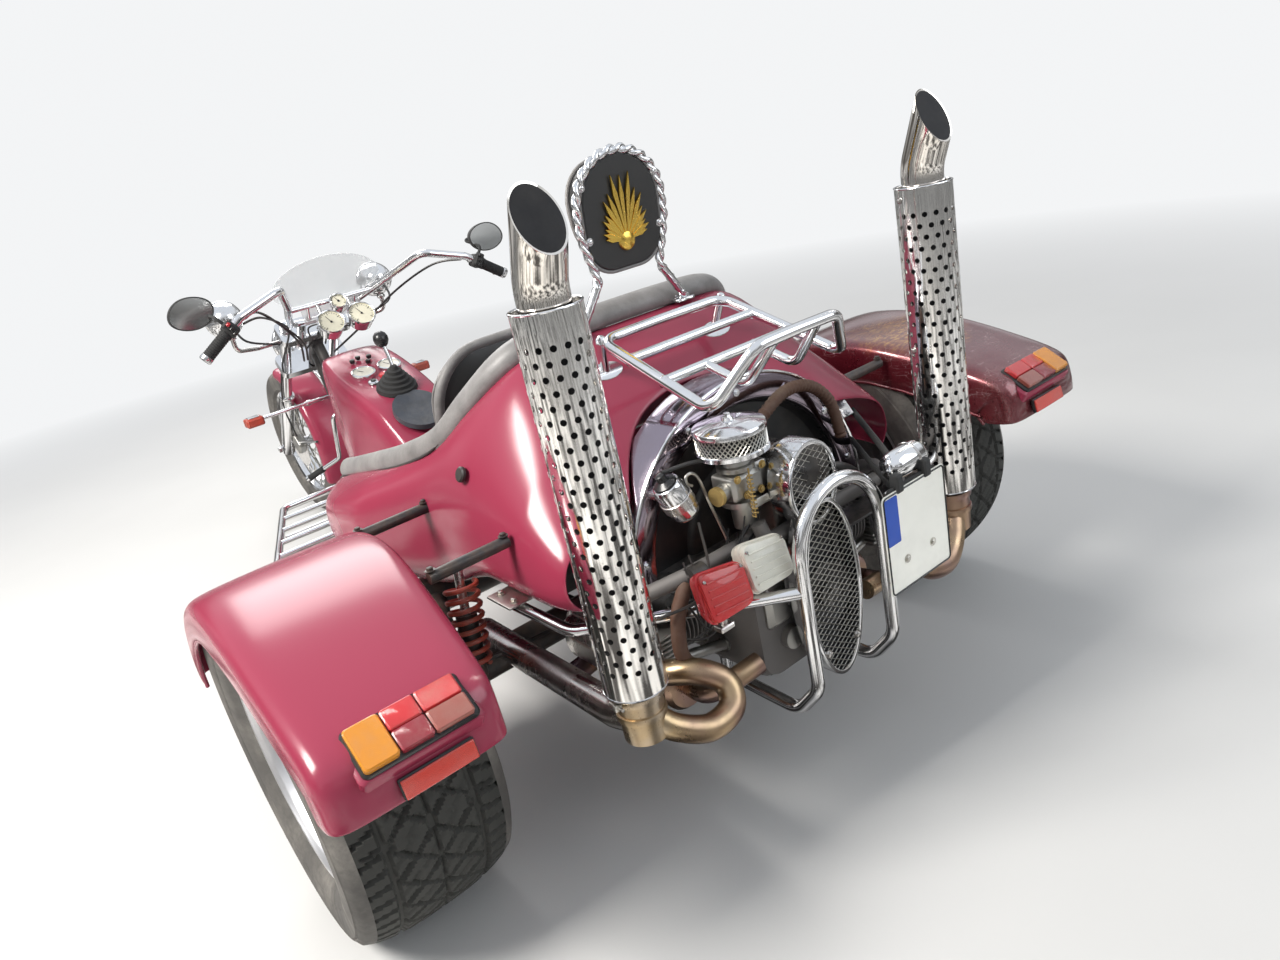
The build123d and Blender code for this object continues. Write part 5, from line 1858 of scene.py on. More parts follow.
class Stack:
    """One upright exhaust stack with its perforated shield and its headers."""

    ACROSS, BACK = 421.0, 480.0
    PIPE, SLEEVE = 38.0, 52.0
    LOW, HIGH = 460.0, 1062.0
    ROUND, ROWS, HOLE = 16, 26, 5.0
    # Corners and edge middles of the cell round one hole, in cells.
    CELL = (
        (0.5, 0), (0.5, 0.5), (0, 0.5), (-0.5, 0.5), (-0.5, 0), (-0.5, -0.5), (0, -0.5),
        (0.5, -0.5),
    )
    BAND = 38.0
    WALL, MOUTH_WALL, COLLAR = 1.6, 2.5, 12
    # The slanted cut of the mouth: its middle and the way that it faces.
    CUT_BACK, CUT_UP, CUT_FACING = 36, 1170, (0, 0.90, 0.43)
    THICK, LOOP, FRONT = 29, 23, 22
    PORT_X, PORTS = 300, (160, 378)

    def __init__(self, sign: float) -> None:
        """Sets the side."""
        self.sign = sign
        self.word = "left" if sign > 0 else "right"
        self.x = sign * self.ACROSS

    def on_sleeve(self, angle: float, height: float, radius: float) -> Vector:
        """A place on the shield by its angle in radians and its height."""
        return at(self.x + radius * math.cos(angle), self.BACK + radius * math.sin(angle), height)

    def shield(self) -> None:
        """Thin sleeve with staggered rows of holes, plain bands and a folded edge."""
        piece = Sculpt(f"shield_{self.word}", SHIELD)
        step_u = math.tau / self.ROUND
        step_v = (self.HIGH - self.LOW - 2 * self.BAND) / self.ROWS
        hole_u = self.HOLE / self.SLEEVE
        for row in range(self.ROWS):
            middle = self.LOW + self.BAND + (row + 0.5) * step_v
            for count in range(self.ROUND):
                turn = step_u * (count + (row % 2) * 0.5)
                rim = [
                    self.on_sleeve(turn + u * step_u, middle + v * step_v, self.SLEEVE)
                    for u, v in self.CELL
                ]
                hole = [
                    self.on_sleeve(
                        turn + hole_u * math.cos(a), middle + self.HOLE * math.sin(a), self.SLEEVE
                    )
                    for a in (k * math.pi / 4 for k in range(len(self.CELL)))
                ]
                piece.loft([rim, hole], caps=False)
        for low, high in ((self.LOW, self.LOW + self.BAND), (self.HIGH - self.BAND, self.HIGH)):
            rings = []
            for height in (low, (low + high) / 2, high):
                rings.append(
                    [
                        self.on_sleeve(step_u * k / 2, height, self.SLEEVE)
                        for k in range(2 * self.ROUND)
                    ]
                )
            piece.loft(rings, caps=False)
        sleeve = piece.made(
            Body.CHASSIS, [f"heat_shield_{self.word}"], thickness=self.WALL, weld=0.3, smooth=50
        )
        mesh, axis = sleeve.data, at(self.x, self.BACK, 0)
        normals = []
        for face in mesh.polygons:
            for corner in face.vertices:
                spot = mesh.vertices[corner].co
                away = Vector((spot.x - axis.x, spot.y - axis.y, 0)).normalized()
                turned = away.dot(face.normal)
                normals.append(
                    away * (1 if turned > 0 else -1) if abs(turned) > 0.6 else face.normal
                )
        mesh.normals_split_custom_set([tuple(n) for n in normals])
        trim = Sculpt(f"shield_edges_{self.word}", CHROME)
        for height in (self.LOW, self.HIGH):
            loop = [self.on_sleeve(math.tau * k / 48, height, self.SLEEVE - 0.6) for k in range(48)]
            trim.tube(loop, 1.7, 8, closed=True)
        trim.use(CHROME_DULL)
        for height in (self.LOW + 14, self.HIGH - 26):
            near, far = self.PIPE + 0.4, self.SLEEVE - 2
            ring = [(near, 0), (far, 0), (far, self.COLLAR), (near, self.COLLAR)]
            trim.lathe(ring, at(self.x, self.BACK, height), Z, 40, close=True)
        seam = math.radians(200 if self.sign > 0 else -20)
        for height in (self.LOW + 20, self.LOW + 300, self.HIGH - 20):
            trim.bolt(
                self.on_sleeve(seam, height, self.SLEEVE),
                Vector((math.cos(seam), math.sin(seam), 0)), 4, 3,
            )
        trim.made(Body.CHASSIS)

    def pipe(self) -> None:
        """The stack's pipe with its turned-back oval mouth, sooty inside; under the shield it is matt black, painted
        shade behind the holes.
        """
        piece = Sculpt(f"stack_pipe_{self.word}", HOT_PIPE)
        x = self.x
        low = [at(x, self.BACK, z) for z in (366, 400, 450, 520)]
        piece.tube(low, [self.PIPE - 1, self.PIPE, self.PIPE, self.PIPE], 36, up=X)
        # Under the shield the pipe is matt black: painted shade seen through the holes.
        piece.use(SOOT_AND_SHADE).tube(
            [at(x, self.BACK, z) for z in (452, 700, 1058)], self.PIPE + 0.4, 36, up=X
        )
        route = rounded(
            [at(x, self.BACK, 1030), at(x, self.BACK, 1092), at(x, self.BACK + 66, 1252)], 100, 12
        )
        cut, slant = at(
            x, self.BACK + self.CUT_BACK, self.CUT_UP
        ), Vector(self.CUT_FACING).normalized()
        route = [p for p in route if (p - cut).dot(slant) < -0.012]
        piece.use(MOUTH_CHROME)

        def rings(radius: float) -> list[list[Vector]]:
            out = []
            for i, here in enumerate(route):
                tangent = (route[min(i + 1, len(route) - 1)] - route[max(i - 1, 0)]).normalized()
                other = tangent.cross(X).normalized()
                out.append(ellipse_ring(here, X, other, radius, radius, 40))
            heading = (route[-1] - route[-2]).normalized()
            last = [p + heading * ((cut - p).dot(slant) / heading.dot(slant)) for p in out[-1]]
            out.append([a.lerp(b, 0.5) for a, b in zip(out[-1], last)])
            out.append(last)
            return out

        outer, inner = rings(self.PIPE), rings(self.PIPE - self.MOUTH_WALL)
        piece.loft(outer, caps=False)
        piece.loft([outer[-1], [p + slant * 0.0008 for p in outer[-1]], inner[-1]], caps=False)
        piece.use(SOOT_AND_SHADE)
        piece.loft(inner, caps=True)
        piece.made(Body.CHASSIS, [f"exhaust_{self.word}"])

    def headers(self) -> None:
        """Pipes from the heads to the stack's foot, heat-tinted and rusty."""
        s, x = self.sign, self.x
        piece = Sculpt(f"headers_{self.word}", HOT_PIPE)
        loop = flowing(
            [
                at(s * 300, 378, 374), at(s * 318, 420, 398), at(s * 292, 470, 404),
                at(s * 262, 500, 378), at(s * 276, 522, 345), at(s * 330, 524, 338),
                at(s * 385, 506, 366), at(s * 412, 488, 398),
            ],
            6,
        )
        piece.tube(loop, self.LOOP, 24)
        piece.use(THICK_PIPE)
        thick = rounded([at(x, -60, 371), at(x, 400, 373), at(s * 419, 474, 392)], 60)
        piece.tube(thick, self.THICK, 28)
        piece.tube([at(x, -66, 371), at(x, -58, 371)], self.THICK - 5, 28)
        piece.use(HOT_PIPE)
        front = rounded(
            [
                at(s * 300, 160, 374), at(s * 300, 160, 326), at(s * 380, 176, 326),
                at(s * 412, 250, 352),
            ],
            26
        )
        piece.tube(front, self.FRONT, 20)
        for height, radius in ((438, 42), (404, 41)):
            piece.lathe(
                [(36, 0), (radius, 1), (radius + 1, 7), (radius, 13), (36, 14)],
                at(x, self.BACK, height), Z, 40,
            )
        piece.use(STEEL_WIRE)
        piece.box(at(x + 46, self.BACK + 8, 445), (14, 10, 12))
        piece.rod(at(x + 46, self.BACK - 12, 445), at(x + 46, self.BACK + 22, 445), 3, 10)
        piece.use(ENGINE_IRON)
        for y in self.PORTS:
            piece.lathe(
                [(22, 0), (34, 0), (34, 7), (22, 7)], at(s * self.PORT_X, y, 365), Z, 24,
                close=True,
            )
        piece.made(Body.CHASSIS)


class WireMesh:
    """Diamond wire mesh filling a flat outline."""

    SLOPE, SHORTEST, APART = 0.62, 8, 1.6

    def __init__(self, pitch: float, wire: float) -> None:
        """Sets the spacing of the wires and their radius, in millimetres."""
        self.pitch, self.wire = pitch, wire

    def fill(
        self, piece: Sculpt, origin: Vector, right: Vector, up: Vector, half_w: float,
        half_h: float,
    ) -> None:
        """Lays two crossing families of wires inside an ellipse.

        Args:
            piece: Where the wires are added.
            origin: Middle of the ellipse.
            right: Its first direction.
            up: Its second direction.
            half_w: Half-width in millimetres.
            half_h: Half-height in millimetres.
        """
        out = right.cross(up)
        for family, slope in enumerate((self.SLOPE, -self.SLOPE)):
            reach = half_h + half_w * self.SLOPE
            count = int(reach / self.pitch)
            for k in range(-count, count + 1):
                b = k * self.pitch
                a2 = 1 / half_w**2 + slope**2 / half_h**2
                b2 = 2 * slope * b / half_h**2
                c2 = b * b / half_h**2 - 1
                disc = b2 * b2 - 4 * a2 * c2
                if disc <= 0:
                    continue
                ends = [(-b2 + sign * math.sqrt(disc)) / (2 * a2) for sign in (-1, 1)]
                if abs(ends[1] - ends[0]) < self.SHORTEST:
                    continue
                spots = [
                    origin + (right * x + up * (slope * x + b) + out * (family * self.APART)) * MM
                    for x in ends
                ]
                piece.tube(spots, self.wire, 6)


class Engine:
    """The upright air-cooled flat-four with its fan shroud, carburettor and drive guard."""

    SHROUD_R, SHROUD_MID = 299.0, 515.6
    # The shroud's half drum: how many degrees it sweeps, and where it starts.
    SWEEP, SWEEP_FROM, RIM_Y, RIM = 188, -94, 353, 3.4
    FILTER = (92.0, 424.0)
    GENERATOR_Z, CRANK_Z = 660.0, 420.0
    CYLINDERS, BORE_Z, FINS, FIN_PITCH = (205, 335), 430, 12, 9.6
    HEAD_X, HEAD_Y = 296, 270
    BELT_Y, BELT, TOP_PULLEY, LOW_PULLEY = 497, 6, 37.0, 51.0
    # The two lobes of the belt guard: middle height, half-width and half-height, back and front.
    LOBES = ((436, 72, 178, 486, 528), (640, 62, 78, 462, 512))
    MESH_PITCH, MESH_WIRE = 12.5, 0.75
    WEAVE, WEAVE_R, WEAVE_TURN = 44, 61.5, 0.42
    SPRING, LEAD, INTAKE = 5.5, 3.6, 14
    COIL, POSTS = (196, 400, 642), (0.6, 2.2, 3.8, 5.4)

    def shroud(self) -> None:
        """Half-drum fan shroud with a polished rim round a dark recess."""
        piece = Sculpt("fan_shroud", SMOKED)
        centre = at(0, 0, self.SHROUD_MID)
        r = self.SHROUD_R
        drum = [(r - 30, 268), (r - 4, 264), (r, 268), (r, 346), (r - 3, 352), (r - 8, 354)]
        drum += [(r - 44, 354), (r - 48, 352), (r - 50, 346)]
        inner = [(r - 50, 346), (r - 52, 330), (r - 60, 322)]
        inner += [(150, 318), (146, 326), (138, 330), (60, 330), (0, 330)]
        back = [(r - 30, 268), (0, 266)]
        for profile, finish in ((drum, SMOKED), (inner, ENGINE_BLACK), (back, ENGINE_BLACK)):
            piece.use(finish).lathe(profile, centre, Y, 72, self.SWEEP, self.SWEEP_FROM, zero=Z)
        piece.box(at(0, 310, 512), (590, 84, 14), bevel=5)
        for x in (-205, 205):
            piece.box(at(x, 318, 470), (150, 96, 90), bevel=22)
        piece.use(CHROME)
        turns = [math.radians(self.SWEEP_FROM + self.SWEEP * k / 60) for k in range(61)]
        piece.tube(
            [around(centre, Z, X, a, r - 1) + Y * self.RIM_Y * MM for a in turns], self.RIM, 8
        )
        for k in range(7):
            spot = around(
                centre, Z, X, math.radians(-80 + 160 * k / 6), r - 26
            ) + Y * (self.RIM_Y + 1) * MM
            piece.bolt(spot, Y, 5, 4)
        piece.made(Body.CHASSIS, ["fan_shroud"], bevel=0.0)

    def block(self) -> None:
        """Crankcase, gearbox, oil sump fins and tinware."""
        piece = Sculpt("crankcase", ENGINE_IRON)
        section = rounded_outline(284, 232, 44, 6)
        rings = []
        for y, scale in (
            (118, 0.96), (126, 1.0), (200, 1.0), (210, 0.985), (300, 0.985), (310, 1.0),
            (440, 1.0), (458, 0.94),
        ):
            rings.append([at(x * scale, y, 395 + z * scale) for x, z in section])
        piece.loft(rings)
        for k in range(9):
            piece.box(at(-96 + 24 * k, 300, 276), (5, 260, 16), bevel=1.5)
        gearbox = [
            (0, -262), (52, -262), (60, -250), (62, -200), (84, -150), (88, -60), (90, 60),
            (74, 90), (74, 118), (0, 118),
        ]
        piece.lathe(gearbox, at(0, 0, AXLE_Z), Y, 40)
        for k in range(10):
            piece.bolt(around(at(0, -150, AXLE_Z), X, Z, math.radians(36 * k), 86), Y * -1, 5)
        piece.use(ENGINE_ALLOY)
        for sign in (1, -1):
            for k, y in enumerate((176, 236, 306, 366)):
                piece.rod(at(sign * 118, y, 336), at(sign * 270, y, 372), 11, 16)
                piece.rod(at(sign * 128, y, 338), at(sign * 146, y, 342), 14, 16)
        piece.use(HOT_PIPE)
        for sign in (1, -1):
            drum = [(0, -130), (44, -128), (52, -118), (52, 118), (44, 128), (0, 130)]
            piece.lathe(drum, at(sign * 236, 230, 300), Y, 28)
            tail = [(236, 350, 300), (238, 410, 306), (206, 450, 330), (150, 462, 340)]
            piece.tube(flowing([at(sign * x, y, z) for x, y, z in tail], 7), 20, 18)
        piece.use(ENGINE_ALLOY)
        piece.lathe([(0, 0), (66, 0), (70, 4), (70, 10), (0, 12)], at(0, 280, 268), Z * -1, 36)
        for k in range(6):
            piece.bolt(around(at(0, 280, 257), X, Y, math.radians(60 * k), 56), Z * -1, 5)
        piece.rod(at(-62, 440, 360), at(-62, 486, 360), 30, 28)
        piece.rod(at(64, 440, 350), at(64, 474, 350), 22, 24)
        piece.box(at(84, 452, 420), (60, 40, 70), bevel=10)
        piece.use(ENGINE_BLACK)
        piece.box(at(0, 468, 512), (420, 60, 5), X, Z, 2)
        piece.box(at(0, 480, 470), (150, 5, 90), X, Z, 2)
        piece.made(Body.CHASSIS, ["engine_block"])
        heads = Sculpt("cylinder_heads", ENGINE_IRON)
        for sign in (1, -1):
            for y in self.CYLINDERS:
                fins = []
                for k in range(self.FINS):
                    x = 146 + k * self.FIN_PITCH
                    fins += [(46, x), (57, x + 0.4), (57, x + 3.0), (46, x + 3.6)]
                heads.lathe([(r, sign * h) for r, h in fins], at(0, y, self.BORE_Z), X, 28)
            heads.use(ENGINE_ALLOY)
            for k in range(9):
                size = (68 - (k % 2) * 6, 266, 5)
                heads.box(at(sign * self.HEAD_X, self.HEAD_Y, 376 + k * 9), size, bevel=1.5)
            heads.box(at(sign * self.HEAD_X, self.HEAD_Y, 412), (54, 250, 76), bevel=6)
            heads.use(CHROME_DULL)
            cover = rounded_outline(256, 84, 28, 6)
            rings = []
            for out, scale in (
                (331, 1.0), (336, 1.0), (338, 0.93), (352, 0.90), (360, 0.82), (362, 0.6)
            ):
                rings.append(
                    [at(sign * out, self.HEAD_Y + u * scale, 404 + v * scale) for u, v in cover]
                )
            heads.loft(rings)
            heads.use(STEEL_WIRE)
            bail = [(336, 190, 440), (370, 200, 420), (370, 340, 420), (336, 350, 440)]
            heads.tube(rounded([at(sign * x, y, z) for x, y, z in bail], 14), 3, 8)
            heads.use(ENGINE_IRON)
        heads.made(Body.CHASSIS, ["cylinders"])

    def generator(self) -> None:
        """Generator on its pedestal, filler neck, pulleys and belt."""
        piece = Sculpt("generator", CHROME_DULL)
        z = self.GENERATOR_Z
        body = [
            (0, 345), (44, 345), (48, 352), (48, 372), (46, 374), (46, 440), (48, 442), (48, 462),
            (44, 470), (14, 472), (14, 486),
        ]
        piece.lathe(body, at(0, 0, z), Y, 44)
        piece.use(ENGINE_BLACK)
        for k in range(10):
            piece.box(around(at(0, 452, z), X, Z, math.radians(36 * k), 47), (9, 12, 4), bevel=1)
        piece.use(ENGINE_ALLOY)
        pedestal = rounded_outline(78, 96, 12, 4)
        waist = ((513, 1.15), (522, 1.1), (560, 0.82), (612, 0.95), (628, 1.0))
        piece.loft([[at(x * k, 400 + y * k, h) for x, y in pedestal] for h, k in waist])
        piece.rod(at(-44, 420, 560), at(-66, 436, 610), 20, 20)
        piece.use(ENGINE_BLACK)
        piece.rod(at(-66, 436, 610), at(-72, 440, 624), 25, 24)
        wheel = [
            (12, 486), (30, 486), (46, 487), (46, 490), (34, 496), (34, 498), (46, 504), (46, 508)
        ]
        wheel += [(26, 508), (12, 512), (0, 512)]
        piece.lathe(wheel, at(0, 0, z), Y, 44)
        piece.use(CABLE)
        route = []
        for height, radius, start in (
            (z, self.TOP_PULLEY, 180), (self.CRANK_Z, self.LOW_PULLEY, 0)
        ):
            middle = at(0, self.BELT_Y, height)
            route += [around(middle, X, Z, math.radians(start - 18 * k), radius) for k in range(11)]
        piece.tube(route, self.BELT, 8, closed=True)
        piece.made(Body.CHASSIS, ["generator"])
        crank = Sculpt("crank_pulley", ENGINE_BLACK)
        wheel = [(16, 464), (16, 486), (56, 486), (60, 488), (60, 490), (48, 496), (48, 498)]
        wheel += [(60, 504), (60, 508), (54, 509), (50, 504), (24, 503), (22, 514), (0, 514)]
        crank.lathe(wheel, at(0, 0, self.CRANK_Z), Y, 52)
        crank.bolt(at(0, 513, self.CRANK_Z), Y, 14, 8)
        crank.made(Body.CHASSIS, ["crank_pulley"])

    def guard(self) -> None:
        """Chromed two-lobed belt guard filled with diamond wire mesh, with a black sheet behind it as painted shade.
        """
        piece = Sculpt("belt_guard", CHROME)
        for middle, half_w, half_h, back, face in self.LOBES:
            ring = oval_outline(1, 1, 56)
            rings = []
            for inset, y in (
                (0, back), (0, face - 4), (1.5, face), (5, face + 1), (9, face), (10, face - 3)
            ):
                rings.append(
                    [at(u * (half_w - inset), y, middle + v * (half_h - inset)) for u, v in ring]
                )
            piece.loft(rings, caps=False)
        piece.use(CHROME_DULL)
        for x in (-40, 40):
            piece.rod(at(x, 462, 320), at(x, 524, 320), 6, 12)
            piece.bolt(at(x, 527, 320), Y, 6)
        piece.made(Body.CHASSIS, ["belt_guard"])
        mesh = Sculpt("belt_guard_mesh", STEEL_WIRE)
        net = WireMesh(self.MESH_PITCH, self.MESH_WIRE)
        for middle, half_w, half_h, _, face in self.LOBES:
            net.fill(mesh, at(0, face - 4, middle), X * -1, Z, half_w - 7, half_h - 7)
        mesh.made(Body.CHASSIS)
        # A black sheet behind the mesh: painted shade.
        back = Sculpt("belt_guard_painted_shade", SOOT_AND_SHADE)
        for (middle, half_w, half_h, _, _), y in zip(self.LOBES, (489, 488)):
            shape = [(u * (half_w - 4), v * (half_h - 4)) for u, v in oval_outline(1, 1, 40)]
            back.slab(shape, at(0, y, middle), X * -1, Z, 2)
        back.made(Body.CHASSIS)

    def filter(self) -> None:
        """Round chromed air filter with a mesh side and a domed lid."""
        x, y = self.FILTER
        piece = Sculpt("air_filter", CHROME)
        lid = [
            (0, 783), (9, 783), (11, 778), (14, 777), (30, 778), (44, 775), (56, 772), (63, 770),
            (65, 767), (65, 760), (62, 758),
        ]
        piece.lathe(lid, at(x, y, 0), Z, 64)
        piece.lathe(
            [(62, 731), (65, 729), (65, 722), (60, 719), (26, 718), (24, 700)], at(x, y, 0), Z, 64
        )
        for k in range(24):
            spot = around(at(x, y, 768), X, Y, math.radians(15 * k), 60)
            piece.lathe([(0, 2.5), (2, 2.2), (3, 0)], spot, Z, 8)
        piece.bolt(at(x, y, 782), Z, 6, 7)
        # A matt black band behind the weave.
        piece.use(SOOT_AND_SHADE)
        piece.lathe([(58, 759), (58, 730)], at(x, y, 0), Z, 48)
        piece.use(STEEL_WIRE)
        for lean in (1, -1):
            for k in range(self.WEAVE):
                start = math.tau * k / self.WEAVE
                route = []
                for step in range(5):
                    turn = start + lean * step / 4 * self.WEAVE_TURN
                    route.append(
                        around(at(x, y, 730 + 29 * step / 4), X, Y, turn, self.WEAVE_R + lean * 0.4)
                    )
                piece.tube(route, 0.9, 5)
        piece.made(Body.CHASSIS, ["air_filter"])

    def carburettor(self) -> None:
        """Carburettor body with its linkage and springs, and both intake pipes."""
        x, y = self.FILTER
        piece = Sculpt("carburettor", ENGINE_ALLOY)
        throat = [(0, 718), (27, 718), (28, 700), (34, 698), (34, 690), (25, 688), (24, 640)]
        throat += [(36, 636), (36, 626), (22, 622), (20, 580), (0, 570)]
        piece.lathe(throat, at(x, y, 0), Z, 32)
        piece.box(at(x + 4, y + 2, 664), (72, 60, 44), bevel=6)
        piece.box(at(x - 36, y + 6, 668), (34, 48, 50), bevel=8)
        piece.rod(at(x + 36, y + 6, 662), at(x + 60, y + 12, 662), 15, 20)
        piece.use(BRASS)
        piece.rod(at(x + 58, y + 12, 662), at(x + 66, y + 13, 662), 17, 20)
        for dx, dz in ((-20, 648), (14, 650), (30, 684), (-30, 690)):
            piece.bolt(at(x + dx, y + 33, dz), Y, 5, 4)
        spring = [
            around(at(x + 12, y + 44, 690 - k * 1.1), X, Y, k * 0.9, self.SPRING)
            for k in range(72)
        ]
        piece.tube(spring, 1.1, 6)
        piece.rod(at(x + 12, y + 44, 610), at(x + 12, y + 44, 700), 1.6, 8)
        piece.use(STEEL_WIRE)
        piece.box(at(x - 8, y + 38, 630), (44, 4, 16), X, Vector((0.3, 0, 1)), 1)
        piece.tube(
            flowing(
                [at(x - 26, y + 40, 628), at(x - 70, y + 30, 600), at(x - 120, y + 10, 596)], 5
            ),
            2, 8,
        )
        piece.use(ENGINE_IRON)
        for sign, starts in (
            (1, [(x, 430, 592), (x, 430, 552), (240, 430, 552)]),
            (-1, [(x, 456, 590), (x - 6, 464, 554), (-240, 464, 552)]),
        ):
            down = [(sign * 315, 380, 530), (sign * 315, 290, 505), (sign * 315, 290, 452)]
            piece.tube(rounded([at(*p) for p in starts + down], 26), self.INTAKE, 18)
        piece.use(CABLE)
        for cx, y in ((232, 440), (-232, 464)):
            piece.rod(at(cx - 16, y, 552), at(cx + 16, y, 552), self.INTAKE + 4, 20)
        piece.made(Body.CHASSIS, ["carburettor"])

    def coil(self) -> None:
        """Ignition coil in its strap, and the dipstick's wire."""
        piece = Sculpt("ignition_coil", CHROME)
        axis = (at(232, 400, 715) - at(196, 400, 640)).normalized()
        can = [(0, -2), (22, 0), (26, 4), (27, 10), (27, 66), (24, 74), (22, 75), (22, 70), (0, 70)]
        piece.lathe(can, at(*self.COIL), axis, 36)
        piece.use(BLACK_INK)
        piece.lathe(
            [(21, 71), (20, 78), (9, 84), (9, 96), (5, 98), (0, 98)], at(*self.COIL), axis, 28
        )
        piece.use(CHROME_DULL)
        piece.lathe([(28, 24), (29.5, 25), (29.5, 43), (28, 44)], at(*self.COIL), axis, 36)
        piece.box(at(216, 366, 680), (34, 52, 20), X, axis, 2)
        piece.use(STEEL_WIRE)
        wire = [
            (107, 400, 500), (126, 404, 570), (148, 406, 640), (160, 404, 690),
            (171, 402, 706), (183, 400, 704), (184, 400, 692), (174, 400, 684),
        ]
        piece.tube(flowing([at(*p) for p in wire], 7), 2.8, 8)
        piece.made(Body.CHASSIS)

    def ignition(self) -> None:
        """Distributor, plug leads, fuel pump, hoses and loose wires."""
        piece = Sculpt("ignition_set", BRASS)
        place = at(-4, 404, 520)
        piece.lathe(
            [(22, -10), (22, 6), (28, 10), (33, 16), (34, 34), (31, 38), (31, 44)], place, Z, 32
        )
        piece.use(CHROME_DULL)
        piece.lathe(
            [(0, -4), (24, -4), (26, 4), (24, 12), (8, 16), (8, 24), (0, 24)], at(-30, 450, 536),
            Vector((-0.9, 0.4, 0.1)), 24,
        )
        piece.use(BLACK_INK)
        piece.lathe([(31, 44), (30, 56), (22, 64), (9, 66), (0, 66)], place, Z, 32)
        posts = [around(at(-4, 404, 582), X, Y, a, 17) for a in self.POSTS]
        for post in posts + [at(-4, 404, 586)]:
            piece.rod(post, post + Z * 0.016, 6, 12)
        piece.use(CABLE)
        ends = [(296, 200, 462), (300, 340, 462), (-296, 200, 462), (-300, 340, 462)]
        for post, end in zip(posts, ends):
            s = 1 if end[0] > 0 else -1
            rise, back = (20, 30) if end[1] > 250 else (-6, 6)
            mids = [
                post + Vector((s * 0.03, 0.015, 0.05)), at(s * 110, 440, 560 + rise),
                at(s * 210, 404 + back, 508),
            ]
            piece.tube(flowing([post + Z * 0.01] + mids + [at(*end)], 7), self.LEAD, 8)
            piece.rod(at(*end), at(end[0], end[1], end[2] - 28), 9, 12)
        king = [at(-4, 404, 596), at(50, 420, 640), at(140, 420, 720), at(233, 402, 732)]
        piece.tube(flowing(king, 8), self.LEAD, 8)
        for seed in range(9):
            spin = random.Random(seed)
            a = at(spin.uniform(60, 280), spin.uniform(395, 440), spin.uniform(520, 660))
            b = at(spin.uniform(200, 330), spin.uniform(410, 450), spin.uniform(430, 520))
            mid = (a + b) / 2 + Vector(
                (spin.uniform(-0.03, 0.03), 0.03, spin.uniform(-0.06, -0.02))
            )
            piece.tube(flowing([a, mid, b], 8), spin.uniform(1.4, 2.6), 6)
        piece.use(RED_METAL)
        piece.box(at(96, 420, 500), (66, 60, 62), X, Vector((0.1, 0.1, 1)), 10)
        piece.box(at(150, 380, 514), (110, 50, 20), bevel=6)
        piece.use(RUST_HOSE)
        bends = [
            (34, 400, 712), (-20, 392, 742), (-90, 386, 764),
            (-156, 384, 752), (-204, 386, 704), (-218, 390, 630),
        ]
        hose = flowing([at(*p) for p in bends], 14)
        piece.tube(hose, [11 + (1.2 if k % 2 else -0.6) for k in range(len(hose))], 16)
        piece.tube(
            flowing(
                [at(250, 430, 540), at(286, 440, 500), at(300, 446, 440), at(282, 440, 400)], 9
            ),
            13, 14,
        )
        piece.use(CABLE)
        piece.tube(
            flowing(
                [at(-90, 430, 620), at(-150, 440, 600), at(-210, 420, 560), at(-250, 380, 520)], 8
            ),
            9, 12,
        )
        piece.rod(at(-120, 420, 560), at(-120, 420, 640), 24, 24)
        piece.made(Body.CHASSIS)

    def build(self) -> None:
        """The whole engine."""
        self.shroud()
        self.block()
        self.generator()
        self.guard()
        self.filter()
        self.carburettor()
        self.coil()
        self.ignition()


